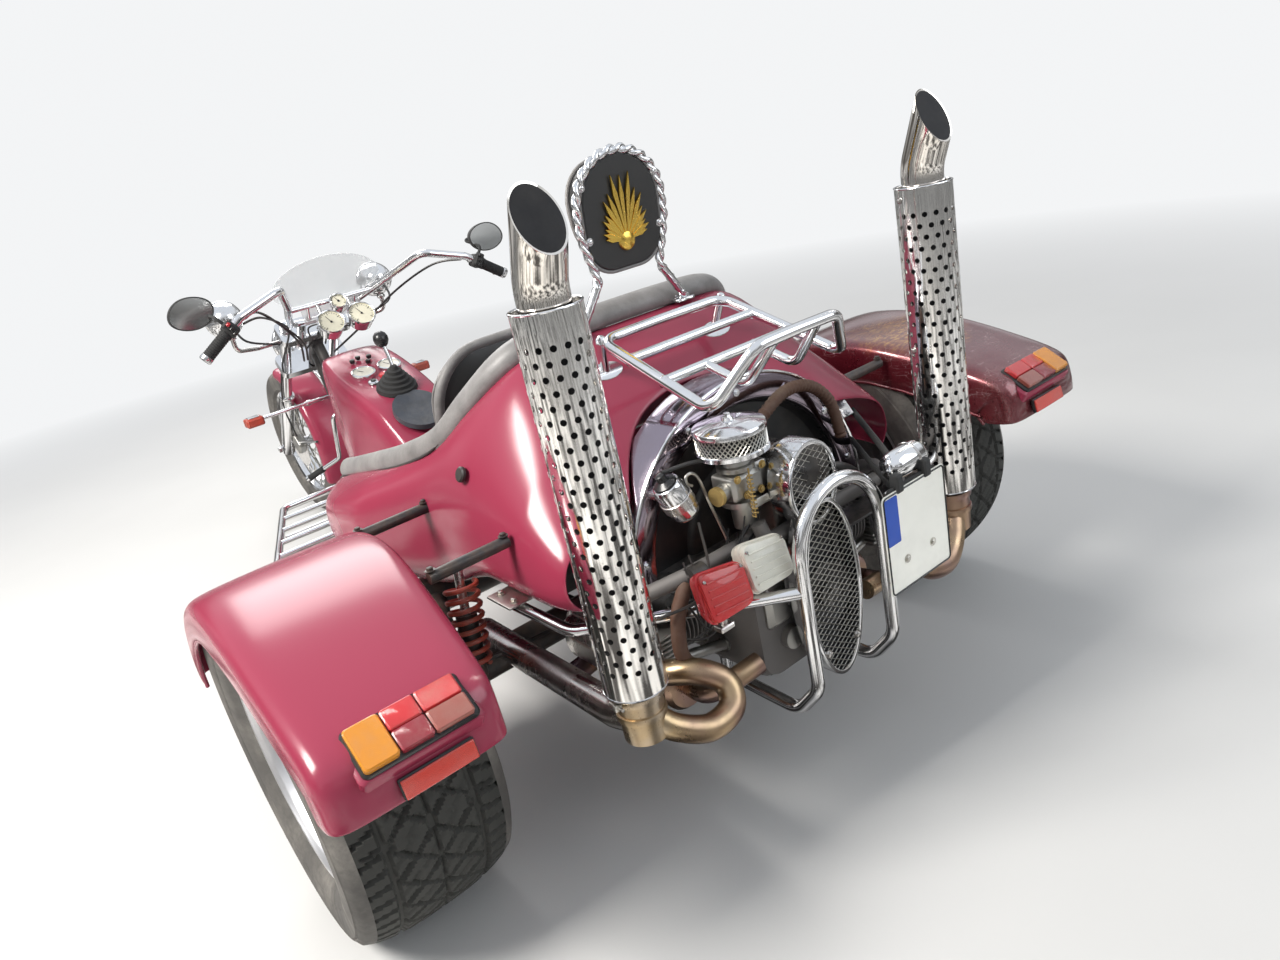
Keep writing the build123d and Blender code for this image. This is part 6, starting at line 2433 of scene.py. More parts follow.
class RearEquipment:
    """Lamps, plate and trim behind the engine."""

    LAMPS = ((234, 500, 539, RED_SHELL, RED_LENS), (139, 503, 549, WHITE_SHELL, WHITE_LENS))
    LAMP_OUT = (0.14, 0.94, 0.30)
    PLATE, PLATE_LAMP_Z, PLATE_LAMP_RIM = (-168, 586, 492), 616, 27.6
    # The hoop: half-width, place, foot of its round top, height of the top, and its bars.
    HOOP, HOOP_Y, HOOP_TOP, HOOP_HIGH, HOOP_TUBE, BAR_TUBE = 106, 558, 540, 112, 12.5, 11.5
    ARM_Y, ARM_Z, AXLE_TUBE, ARM_TUBE = -420, 330, 34, 50
    SPRING, SPRING_WIRE, SPRING_STEPS = 31, 5, 120
    FOOT_X, BRACKET_X = 140, 133

    def lamps(self) -> None:
        """A red fog lamp and a white reversing lamp on the cross bar."""
        piece = Sculpt("rear_lamps", RED_SHELL)
        for x, y, z, shell, lens in self.LAMPS:
            out = Vector(self.LAMP_OUT).normalized()
            right = Z.cross(out).normalized() * -1
            up = out.cross(right) * -1
            flip = 1 if right.cross(up).dot(out) > 0 else -1
            outline = [(u, v * (1.0 + 0.10 * u / 46)) for u, v in rounded_outline(92, 84, 17, 6)]
            for finish, steps in (
                (shell, ((0.5, -26), (0.86, -22), (0.95, -6), (1.0, 4), (1.0, 10), (0.96, 12))),
                (lens, ((0.95, 11), (0.95, 18), (0.90, 23), (0.6, 26), (0.2, 27))),
            ):
                rings = []
                for scale, depth in steps:
                    middle = at(x, y, z)
                    rings.append([
                        middle + (right * u + up * v * flip) * scale * MM + out * depth * MM
                        for u, v in outline
                    ])
                piece.use(finish).loft(rings)
            for k in range(-2, 3):
                a = at(x, y, z) + (right * -34 + up * k * 13 * flip + out * 25.4) * MM
                piece.tube([a, a + right * 0.034 + out * 0.0015, a + right * 0.068], 2.0, 6)
            piece.use(CHROME_DULL)
            for u in (-36, 36):
                piece.bolt(
                    at(x, y, z) + (right * u + up * -30 * flip + out * 22) * MM, out, 3.2, 3,
                    washer=False,
                )
            foot = at(x, y, z - 40)
            piece.rod(foot, foot + Vector((0, -0.012, -0.034)), 6, 12)
            piece.box(foot + Vector((0, -0.010, -0.030)), (30, 24, 10), bevel=2)
        piece.made(Body.CHASSIS, ["rear_lamps"])

    def plate(self) -> None:
        """The blank plate with its border, holder and chromed bullet lamp."""
        x, y, z = self.PLATE
        face = Sculpt("plate_face", PLATE_FACE)
        face.slab(rounded_outline(180, 196, 9, 5), at(x, y, z), X * -1, Z, 2.2, 0.6)
        face.use(BLACK_INK)
        face.tube(
            [at(x + u, y + 2.6, z + v) for u, v in rounded_outline(174, 190, 8, 5)], 1.7, 6,
            closed=True,
        )
        face.use(PLATE_BLUE)
        face.slab(rounded_outline(36, 90, 3, 3), at(x + 68, y + 2.2, z + 46), X * -1, Z, 0.8, 0.2)
        face.use(STEEL_WIRE)
        for u in (-38, 38):
            face.bolt(at(x + u, y + 2.2, z - 40), Y, 5.5, 3)
        face.made(Body.CHASSIS, ["number_plate"])
        holder = Sculpt("plate_holder", PLASTIC)
        holder.slab(rounded_outline(134, 190, 6, 4), at(x, y - 6, z + 8), X * -1, Z, 5, 1)
        for u in (-40, 40):
            holder.box(at(x + u, y - 3, z + 108), (18, 20, 34), bevel=3)
        holder.box(at(-140, 566, 516), (60, 14, 16), bevel=2)
        holder.use(CHROME)
        shape = [(0, -52), (14, -50), (22, -42), (26, -28), (27, -10), (27, 30), (25, 38), (22, 41)]
        lamp = at(x - 20, y - 30, self.PLATE_LAMP_Z)
        holder.lathe(shape, lamp, X * -1, 40)
        holder.use(LAMP_GLASS)
        holder.lathe([(22, 41), (16, 46), (0, 48)], lamp, X * -1, 32)
        holder.use(CHROME_DULL)
        band = at(x - 34, y - 30, self.PLATE_LAMP_Z)
        rim = [around(band, Y, Z, math.tau * k / 32, self.PLATE_LAMP_RIM) for k in range(32)]
        holder.tube(rim, 2, 6, closed=True)
        holder.made(Body.CHASSIS, ["plate_carrier"])
        arm = Sculpt("plate_arm", PLASTIC)
        arm.tube(
            rounded([at(x, 560, 600), at(-230, 480, 610), at(-330, 330, 636)], 30), 9, 12, flat=0.6
        )
        arm.tube(
            rounded([at(x + 30, 560, 588), at(-210, 470, 580), at(-300, 340, 590)], 30), 8, 12,
            flat=0.6,
        )
        arm.made(Body.CHASSIS)

    def hoop(self) -> None:
        """Round-topped chromed hoop, with the cross bars that carry the lamps."""
        piece = Sculpt("hoop", CHROME)
        half, y, top = self.HOOP, self.HOOP_Y, self.HOOP_TOP
        crown = [
            at(half * math.cos(a), y, top + self.HOOP_HIGH * math.sin(a))
            for a in (math.radians(9 * k) for k in range(1, 20))
        ]
        leg = rounded(
            [at(half, 300, 236), at(half, 500, 228), at(half, y, 296), at(half, y, top)], 56, 9
        )
        piece.tube(leg + crown + mirrored(leg[::-1]), self.HOOP_TUBE, 22)
        for sign in (1, -1):
            bar = rounded(
                [at(sign * half, y, 490), at(sign * 395, 262, 466), at(sign * 440, 150, 514)], 60,
                9,
            )
            piece.tube(bar, self.BAR_TUBE, 18)
            sleeve = [(11.6, -16), (14.5, -13), (14.5, 13), (11.6, 16)]
            piece.lathe(sleeve, at(sign * 300, 359, 474), Vector((sign * 0.7, -0.71, -0.06)), 20)
            piece.rod(at(sign * half, 312, 236), at(sign * half, 312, 276), 12, 16)
        piece.made(Body.CHASSIS, ["rear_hoop"])

    def axle(self) -> None:
        """Axle tubes, drums, trailing arms and sprung dampers."""
        piece = Sculpt("axle", FRAME_BLACK)
        piece.tube(
            [at(-430, self.ARM_Y, self.ARM_Z), at(430, self.ARM_Y, self.ARM_Z)], self.ARM_TUBE, 28
        )
        drum = [(0, 640), (96, 640), (112, 646), (118, 660), (118, 664), (114, 668), (118, 672)]
        drum += [(118, 748), (30, 752), (22, 754), (22, 792), (0, 794)]
        for sign in (1, -1):
            piece.tube([at(sign * 84, 0, AXLE_Z), at(sign * 640, 0, AXLE_Z)], self.AXLE_TUBE, 28)
            piece.lathe(drum, at(0, 0, AXLE_Z), X * sign, 44)
            arm = [at(sign * 540, 10, AXLE_Z), at(sign * 380, self.ARM_Y, self.ARM_Z)]
            piece.tube(arm, 22, 20, flat=1.4)
            piece.use(ENGINE_IRON)
            for k in range(8):
                spot = around(at(sign * 640, 0, AXLE_Z), Y, Z, math.radians(45 * k), 84)
                piece.bolt(spot, X * -sign, 6)
            piece.use(FRAME_BLACK)
            low, high = at(sign * 510, 60, AXLE_Z), at(sign * 470, 20, 560)
            axis = (high - low).normalized()
            piece.rod(low, low.lerp(high, 0.62), 21, 20)
            piece.use(CHROME_DULL).rod(low.lerp(high, 0.5), high, 9, 16)
            side = axis.cross(Y).normalized()
            other = axis.cross(side)
            coil = []
            for k in range(self.SPRING_STEPS + 1):
                middle = low.lerp(high, 0.16 + 0.72 * k / self.SPRING_STEPS)
                coil.append(around(middle, side, other, k * 0.42, self.SPRING))
            piece.use(RED_METAL).tube(coil, self.SPRING_WIRE, 8)
            piece.use(FRAME_BLACK)
            piece.tube(
                flowing(
                    [at(sign * 200, 40, 352), at(sign * 400, 60, 372), at(sign * 560, 40, 380)], 6
                ),
                5, 8,
            )
        piece.made(Body.CHASSIS, ["rear_axle"])

    def trim(self) -> None:
        """Welds, tabs and bolts of the rack, hoop and cross bar."""
        piece = Sculpt("rack_fittings", CHROME)
        out = Vector((0, 0.72, 0.69)).normalized()
        for sign in (1, -1):
            for u in (-20, 20):
                piece.bolt(at(sign * self.FOOT_X + u, 170, 852), out, 6, 5)
            for u, y in ((12, 84), (-12, 92)):
                piece.bolt(at(sign * self.BRACKET_X + u, y, 927), Z, 5, 4)
            for x, y, z in ((153, 268, 890), (157, 357, 860), (150, 188, 920)):
                piece.lathe([(9.6, -5), (11.2, -2), (11.2, 2), (9.6, 5)], at(sign * x, y, z), X, 20)
        piece.use(STEEL_WIRE)
        for sign in (1, -1):
            piece.box(at(sign * 440, 150, 524), (52, 84, 5), X, Z, 2)
            for dy in (-24, 24):
                piece.bolt(at(sign * 444, 150 + dy, 527), Z, 6, 5)
        piece.made(Body.CHASSIS)

    def build(self) -> None:
        """All of it."""
        self.lamps()
        self.plate()
        self.hoop()
        self.axle()
        self.trim()


class Steering:
    """Everything on the fork and the handlebar."""

    GRIP_START, GRIP_END = (378.0, -1288.0, 992.0), (500.0, -1290.0, 908.0)
    RIBS, MIRROR_AT, MIRROR_UP, STALK = 9, (492, -1342, 1034), 47, 5
    # The headlight's radius, to which the shape of every lamp is drawn, and the spot lamps' radius.
    LAMP_R, SPOT_R, SPOT_AT = 84.0, 62.0, (285, -1880, 945)
    DIALS = ((-54, -1500, 884, 44, 62), (54, -1500, 884, 44, 62), (0, -1530, 940, 28, 44))
    TICKS, BAR_Y, BAR_Z = 21, -1600, 941
    SCREEN_AT, SCREEN_WALL = (0, -1630.2, 880), 3
    TYRE_GAP_R, CABLE_R, THIN_CABLE_R = 342, 3.8, 3.2
    FENDER_STEPS, FENDER_FROM, FENDER_SWEEP, FENDER_WALL = 24, -24, 108, 2.5

    @staticmethod
    def on_axis(along: float, side: float = 0.0, ahead: float = 0.0) -> Vector:
        """A place given along the steering axis, to the left and ahead of it, in millimetres."""
        back = (math.cos(RAKE), -math.sin(RAKE))
        foot = (-WHEELBASE + back[0] * FORK_OFFSET, FRONT_Z + back[1] * FORK_OFFSET)
        return at(
            side, foot[0] + math.sin(RAKE) * along - back[0] * ahead,
            foot[1] + math.cos(RAKE) * along - back[1] * ahead,
        )

    def grip_ends(self, sign: float) -> tuple[Vector, Vector]:
        """Inner and outer end of a grip."""
        start, end = self.GRIP_START, self.GRIP_END
        return at(sign * start[0], *start[1:]), at(sign * end[0], *end[1:])

    def grips(self) -> None:
        """Ribbed rubber grips with bright end caps."""
        for sign, word in ((1, "left"), (-1, "right")):
            start, end = self.grip_ends(sign)
            along = (end - start).normalized()
            length = (end - start).length / MM
            piece = Sculpt(f"grip_{word}", GRIP)
            profile = [(12.6, 60), (18, 61), (19, 64), (19, 70), (16.4, 72)]
            for k in range(self.RIBS):
                base = 74 + k * (length - 84) / self.RIBS
                profile += [(16.2, base), (17.4, base + 1.5), (17.4, base + 5), (16.2, base + 6.5)]
            profile += [(17.5, length - 8), (17.5, length - 4), (12.6, length - 3)]
            piece.lathe(profile, start, along, 32)
            piece.use(CHROME)
            cap = [
                (16, length - 5), (18, length - 3), (18.4, length + 8), (16, length + 12),
                (0, length + 13),
            ]
            piece.lathe(cap, start, along, 32)
            piece.made(Body.STEERING, ["grips"] if sign > 0 else [])
            box = Sculpt(f"switch_{word}", PLASTIC)
            up = (Vector((0, 1, 0)).cross(along) * -sign).normalized()
            middle = start + along * 43 * MM
            box.box(middle, (36, 46, 42), along, up, 8)
            box.box(middle + up * 0.016 + Y * 0.014, (26, 18, 22), along, up, 4)
            for k, finish in enumerate(
                (RED_SHELL if sign > 0 else BLACK_INK, BLACK_INK, BLACK_INK)
            ):
                box.use(finish)
                key = middle + up * (0.018 - k * 0.015) + Y * 0.026 + along * (0.004 * (k - 1))
                box.box(key, (12, 9, 9), along, up, 2)
            box.use(CHROME_DULL)
            perch = middle + along * -0.006 - Y * 0.022
            box.box(perch, (26, 24, 20), along, up, 4)
            lever = [
                perch + Y * -0.006, start + along * 0.066 + Y * -0.046,
                start + along * 0.11 + Y * -0.054, end + Y * -0.05 + X * sign * -0.004,
            ]
            box.tube(flowing(lever, 6), [7.5] * 7 + [6.5] * 6 + [5.5] * 6, 12, flat=0.55)
            box.lathe([(0, 7), (6, 5), (7.5, 0), (6, -5), (0, -7)], lever[-1], along, 14)
            box.made(Body.STEERING, ["controls"] if sign > 0 else [])

    def mirrors(self) -> None:
        """Round-oval mirrors on bent stalks."""
        for sign, word in ((1, "left"), (-1, "right")):
            start, end = self.grip_ends(sign)
            along = (end - start).normalized()
            up = (Vector((0, 1, 0)).cross(along) * -sign).normalized()
            foot = start + along * 0.043 + up * 0.021
            head = at(sign * self.MIRROR_AT[0], *self.MIRROR_AT[1:])
            piece = Sculpt(f"mirror_{word}", PLASTIC)
            bends = [foot, foot + up * 0.030, foot + up * 0.045 + Y * -0.072]
            bends += [
                head + Vector((-sign * 0.06, -0.044, 0.004)),
                head + Vector((-sign * 0.01, -0.018, 0)),
            ]
            piece.tube(rounded(bends, 18), self.STALK, 12)
            ring = oval_outline(1, 1, 44)
            shape = [(u * (64 - 7 * v * sign * u), v * self.MIRROR_UP) for u, v in ring]
            rings = []
            for scale, depth in (
                (0.4, -20), (0.78, -14), (0.97, 0), (1.0, 10), (1.0, 18), (0.95, 20), (0.93, 17)
            ):
                rings.append(
                    [head + (X * u * scale + Z * v * scale + Y * depth) * MM for u, v in shape]
                )
            piece.loft(rings)
            piece.use(MIRROR)
            glass = ((0.93, 15.5), (0.925, 17.6), (0.5, 18.0))
            piece.loft(
                [[head + (X * u * s + Z * v * s + Y * d) * MM for u, v in shape] for s, d in glass]
            )
            piece.made(Body.STEERING, ["mirrors"] if sign > 0 else [])

    def lamps(self) -> None:
        """Chromed headlight and two bullet spot lamps on stalks."""
        for name, node, place, radius in (
            ("headlight", "headlight", at(0, -2130, 770), self.LAMP_R),
            ("spot_left", "spot_lamps", at(*self.SPOT_AT), self.SPOT_R),
            ("spot_right", "", at(-self.SPOT_AT[0], *self.SPOT_AT[1:]), self.SPOT_R),
        ):
            piece = Sculpt(name, CHROME)
            k = radius / self.LAMP_R
            shell = [(0, -84), (22, -82), (44, -72), (62, -52), (76, -24), (82, 0), (83, 30)]
            shell += [(86, 32), (88, 38), (86, 48), (80, 52), (76, 50)]
            piece.lathe([(r * k, h * k) for r, h in shell], place, Y * -1, 56)
            piece.use(LAMP_GLASS)
            piece.lathe(
                [(76 * k, 50 * k), (52 * k, 58 * k), (26 * k, 62 * k), (0, 63 * k)], place, Y * -1,
                48,
            )
            piece.use(CHROME_DULL)
            if node == "headlight":
                stay = [
                    self.on_axis(573, 0, 76), place + Vector((0, 0.03, -0.07)),
                    place + Vector((0, 0, -0.08)),
                ]
                piece.tube(stay, 9, 14)
            else:
                side = 1 if place.x > 0 else -1
                bends = [place + Z * -0.055, place + Z * -0.115]
                bends += [
                    self.on_axis(700, side * 200, FORK_OFFSET),
                    self.on_axis(700, side * 116, FORK_OFFSET),
                ]
                piece.tube(rounded(bends, 24), 8, 14)
                piece.lathe(
                    [(0, 0), (14, 0), (16, 6), (14, 12), (0, 12)], place + Z * -0.072, Z, 24
                )
                piece.use(CABLE)
                wire = [
                    place + Vector((0, 0.06, -0.02)), place + Vector((side * -0.02, 0.10, -0.08))
                ]
                piece.tube(flowing(wire + [self.on_axis(720, side * 130, 20)], 7), 4, 8)
            piece.made(Body.STEERING, [node] if node else [])

    def dials(self) -> None:
        """Two large dials and a small one in chromed cups, with plain faces and needles."""
        out = Vector((0, 0.769, 0.639)).normalized()
        up = Vector((0, -0.639, 0.769)).normalized()
        piece = Sculpt("instruments", CHROME)
        for x, y, z, r, depth in self.DIALS:
            centre = at(x, y, z)
            cup = [
                (0, -depth), (r * 0.5, -depth), (r * 0.86, -depth * 0.8), (r * 0.97, -depth * 0.3)
            ]
            cup += [(r, -6), (r + 2.5, -4), (r + 2.5, 1), (r, 4), (r - 3, 2)]
            piece.use(CHROME).lathe(cup, centre, out, 44)
            piece.use(DIAL).lathe([(r - 3, 2), (r - 3.4, -2), (0, -2)], centre, out, 40)
            piece.use(BLACK_INK)
            a = centre + out * -0.0012
            for k in range(self.TICKS):
                angle = math.radians(-130 + 13 * k)
                ray = X * math.sin(angle) + up * math.cos(angle)
                inner, wide = (0.74, 0.7) if k % 5 else (0.66, 1.2)
                piece.tube([a + ray * (r * inner) * MM, a + ray * (r * 0.86) * MM], wide, 4)
            piece.tube([centre, centre + (X * 0.4 + up).normalized() * r * 0.62 * MM], 0.9, 5)
            piece.lathe([(0, 2.5), (3, 2), (4, -1.5)], centre, out, 14)
            stem = at(x, self.BAR_Y, self.BAR_Z)
            piece.use(CHROME_DULL).rod(
                centre - out * (depth - 4) * MM, stem.lerp(centre, 0.08), 6, 12
            )
        piece.use(PLASTIC)
        for x in (-24, -8, 8, 24):
            piece.lathe([(0, 4), (3.4, 3.4), (4.5, 0)], at(x, -1478, 858), out, 12)
        piece.made(Body.STEERING, ["instruments"])

    def screen(self) -> None:
        """The small clear windscreen with its edging and clamps."""
        out, up = Vector((0, -0.944, 0.33)), Vector((0, 0.33, 0.944))
        origin = at(*self.SCREEN_AT)
        arc = [
            (192 * math.cos(a), 122 + 100 * math.sin(a))
            for a in (math.radians(180 * k / 18) for k in range(19))
        ]
        shape = [(-175, 100), (-108, 64), (-100, 0), (100, 0), (108, 64), (175, 100)] + arc
        piece = Sculpt("windscreen", SCREEN)
        piece.slab(shape, origin, X, out.cross(X), facing(X, out.cross(X), out, self.SCREEN_WALL))
        piece.made(Body.STEERING, ["windscreen"])
        edge = Sculpt("windscreen_fittings", CHROME)
        for x in (-84, 84):
            spot = origin + (X * x + up * 20 + out * 3) * MM
            edge.bolt(spot, out, 7, 6)
            edge.tube([spot - out * 0.004, at(x, self.BAR_Y, self.BAR_Z)], 5, 10)
        edge.made(Body.STEERING)

    def fork_details(self) -> None:
        """Clamp bolts, slider caps, fender stays, brake caliper and control cables."""
        piece = Sculpt("fork_details", CHROME)
        axis = (self.on_axis(100) - self.on_axis(0)).normalized()
        for sign in (1, -1):
            top = self.on_axis(780, sign * FORK_HALF, FORK_OFFSET)
            piece.lathe([(0, 12), (12, 11), (21, 6), (22, 0), (22, -6), (20.4, -8)], top, axis, 32)
            slider = self.on_axis(365, sign * FORK_HALF, FORK_OFFSET)
            piece.lathe([(20.4, 8), (26, 6), (30, 0), (30, -12), (27.3, -16)], slider, axis, 32)
            axle = at(sign * (FORK_HALF + 30), -WHEELBASE, FRONT_Z)
            piece.bolt(axle, X * sign, 13, 12)
            for angle in (10, 62):
                rim = around(
                    at(sign * 66, -WHEELBASE, FRONT_Z), Y, Z, math.radians(angle), self.TYRE_GAP_R
                )
                height = 30 if angle < 40 else 330
                piece.tube([rim, self.on_axis(height, sign * (FORK_HALF - 8), FORK_OFFSET)], 5, 10)
        piece.use(ENGINE_ALLOY)
        piece.box(self.on_axis(90, 74, FORK_OFFSET - 60), (34, 70, 62), X, axis, 8)
        piece.use(CABLE)
        for sign, spread in ((1, 0), (1, 14), (-1, 0)):
            start = at(sign * (372 - spread), -1312, 984)
            route = [start, at(sign * 300, -1390, 985), at(sign * 210, -1540, 920)]
            route += [
                at(sign * (120 - spread), -1700, 820), self.on_axis(650, sign * (60 - spread), -30)
            ]
            piece.tube(flowing(route, 8), self.CABLE_R, 8)
        hose = [at(370, -1300, 972), at(290, -1410, 965), at(180, -1590, 905), at(128, -1760, 850)]
        hose += [self.on_axis(560, 120, 30), self.on_axis(330, 118, 30), self.on_axis(130, 80, 0)]
        piece.tube(flowing(hose, 9), 3.6, 8)
        for k in range(5):
            spin = random.Random(40 + k)
            a = at(spin.uniform(-60, 60), -1560, 850)
            middle = at(spin.uniform(-60, 60), -1690, spin.uniform(850, 880))
            b = at(spin.uniform(-50, 50), -1800, 850)
            end = self.on_axis(700, spin.uniform(-50, 50), -20)
            piece.tube(flowing([a, middle, b, end], 8), self.THIN_CABLE_R, 8)
        piece.made(Body.STEERING)

    def fender(self) -> None:
        """Rounded front fender between the fork legs."""
        piece = Sculpt("front_fender", MAROON)
        half = [(68, 302), (68.5, 322), (64, 334), (52, 341), (30, 343)]
        section = half + [(0, 344)] + [(-x, r) for x, r in half[::-1]]
        centre = at(0, -WHEELBASE, FRONT_Z)
        rings = []
        for k in range(self.FENDER_STEPS + 1):
            angle = math.radians(self.FENDER_FROM + self.FENDER_SWEEP * k / self.FENDER_STEPS)
            out = Vector((0, math.cos(angle), math.sin(angle)))
            rings.append([centre + X * x * MM + out * r * MM for x, r in section])
        piece.loft(rings, wrap=False, caps=False)
        piece.made(Body.STEERING, ["front_fender"], thickness=self.FENDER_WALL, levels=1)

    def build(self) -> None:
        """All of it."""
        self.grips()
        self.mirrors()
        self.lamps()
        self.dials()
        self.screen()
        self.fork_details()
        self.fender()


class Cockpit:
    """Console, gear lever, indicators and foot rests."""

    # Cross-sections: place along, half-width, bottom, top, half-width of the flat top.
    STATIONS = (
        (-1738, 62, 430, 560, 46), (-1722, 74, 360, 640, 52), (-1668, 92, 335, 738, 70),
        (-1625, 106, 332, 758, 84), (-1560, 124, 331, 764, 104), (-1440, 148, 331, 722, 118),
        (-1300, 140, 331, 678, 112), (-1180, 132, 331, 638, 106), (-1100, 124, 331, 560, 96),
        (-1015, 114, 332, 480, 80),
    )
    TOP_OUT = (0, 128, 390)
    FOLDS, FOLD_IN, FOLD_UP = 5, 10, 13
    LAMP_X, LAMP_Y, LAMP_Z = 328, -1808, 590
    BAR_Y, BAR_Z = -1810, 592
    BOARD_IN, BOARD_Z, RAIL, BARS, BAR_PITCH = 174, 330, 11.5, 5, 110

    def console(self) -> None:
        """The maroon console with its dials, knobs and boot."""
        piece = Sculpt("console", MAROON)
        rings = []
        for y, half, low, high, top in self.STATIONS:
            half_ring = [(half * 0.9, low), (half, low + 12), (half, low + (high - low) * 0.5)]
            half_ring += [(half - 4, high - 44), (top + 6, high - 10), (top - 4, high - 1)]
            ring = half_ring + [(0, high + 3)] + [(-x, z) for x, z in half_ring[::-1]]
            rings.append([at(x, y, z) for x, z in ring])
        piece.loft(rings)
        piece.made(Body.CHASSIS, ["console"], levels=2)
        kit = Sculpt("console_kit", CHROME)
        out = Vector(self.TOP_OUT).normalized()
        for x in (-46, 46):
            spot = at(x, -1378, 708)
            kit.use(CHROME).lathe(
                [(0, -6), (38, -6), (40, 4), (39, 10), (35, 12), (33, 9)], spot, out, 40
            )
            kit.use(WHITE_SHELL).lathe([(33, 9), (33, 7), (0, 7)], spot, out, 36)
            pivot = spot + out * 0.0085
            kit.use(BLACK_INK).tube([pivot, pivot + Vector((0.012, -0.018, 0.006))], 1, 5)
        kit.use(CHROME).lathe([(0, 8), (13, 8), (17, 5), (18, 0)], at(46, -1312, 684), out, 28)
        kit.use(BLACK_INK).lathe([(0, 13), (8, 12), (9, 8)], at(46, -1312, 684), out, 20)
        kit.use(RED_SHELL).lathe(
            [(0, 16), (10, 15), (13, 9), (11, 4), (7, 0)], at(6, -1325, 688), out, 24
        )
        kit.use(BLACK_INK)
        for x, y in ((-20, -1470), (14, -1482), (40, -1470), (-2, -1440)):
            kit.lathe(
                [(0, 12), (8, 11), (9, 6), (7, 0)], at(x, y, 738 + (-1470 - y) * 0.33), out, 18
            )
        kit.use(BLUE_CLOTH)
        kit.slab(oval_outline(78, 88), at(0, -1118, 606), X, Vector((0, 0.86, -0.5)), -14, 5)
        kit.made(Body.CHASSIS)

    def gear_lever(self) -> None:
        """Concertina boot, bent lever and round knob."""
        piece = Sculpt("gear_lever", GRIP)
        out = Vector(self.TOP_OUT).normalized()
        boot = [(66, -6)]
        for k in range(self.FOLDS):
            r, h = 64 - k * self.FOLD_IN, 2 + k * self.FOLD_UP
            boot += [(r, h), (r - 1, h + 5), (r - 9, h + 8), (r - 10, h + 11)]
        boot += [(10, 74), (0, 76)]
        piece.lathe(boot, at(0, -1245, 664), out, 44)
        piece.use(CHROME).tube(
            flowing([at(0, -1228, 716), at(0, -1240, 770), at(0, -1258, 812)], 6), 6, 12
        )
        piece.use(BLACK_INK)
        knob = [(0, 26), (11, 24), (20, 16), (24, 4), (23, -8), (16, -20), (8, -26), (0, -27)]
        piece.lathe(knob, at(0, -1259, 818), Vector((0, -0.3, 1)), 28)
        piece.made(Body.CHASSIS, ["gear_lever"])

    def indicators(self) -> None:
        """Amber indicators on a cross tube, and foot rests with pedals, rails and bars."""
        piece = Sculpt("front_indicators", CHROME)
        for sign in (1, -1):
            y, z = self.BAR_Y, self.BAR_Z
            piece.use(CHROME).rod(at(sign * 20, y, z), at(sign * 310, y, z), 7, 14)
            piece.rod(at(sign * 120, y, z), at(sign * 134, y, z), 10, 14)
            x, y, z = sign * self.LAMP_X, self.LAMP_Y, self.LAMP_Z
            piece.use(RED_METAL).box(at(x, y, z), (62, 50, 32), bevel=7)
            piece.use(AMBER_LENS).box(at(x, y - 26, z), (50, 8, 24), bevel=3)
            piece.use(CHROME).box(at(x, y, z + 17), (40, 34, 4), bevel=1.5)
        piece.made(Body.CHASSIS, ["front_indicators"])
        pads = Sculpt("foot_rests", CHROME)
        for sign in (1, -1):
            peg = [(20, -1800, 520), (62, -1802, 520), (64, -1880, 340), (171, -1985, 277)]
            pads.tube(rounded([at(sign * x, y, z) for x, y, z in peg], 24), 8, 14)
            pads.use(GRIP).rod(at(sign * 120, -1935, 307), at(sign * 168, -1982, 279), 12, 18)
            pads.use(CHROME).rod(at(sign * 166, -1980, 280), at(sign * 174, -1988, 275), 14, 18)
            near, z = sign * self.BOARD_IN, self.BOARD_Z
            pads.tube([at(near, -1562, z), at(near, -898, z)], self.RAIL - 0.5, 16)
            rail = rounded(
                [at(near, -1562, z), at(sign * 393, -1552, z), at(sign * 602, -955, z)], 36
            )
            pads.tube(rail, self.RAIL, 16)
            for k in range(self.BARS):
                y = -1440 + self.BAR_PITCH * k
                pads.tube([at(near, y, z), at(sign * (395 + 0.353 * (y + 1540)), y, z)], 9, 14)
        pads.made(Body.CHASSIS)

    def build(self) -> None:
        """All of it."""
        self.console()
        self.gear_lever()
        self.indicators()


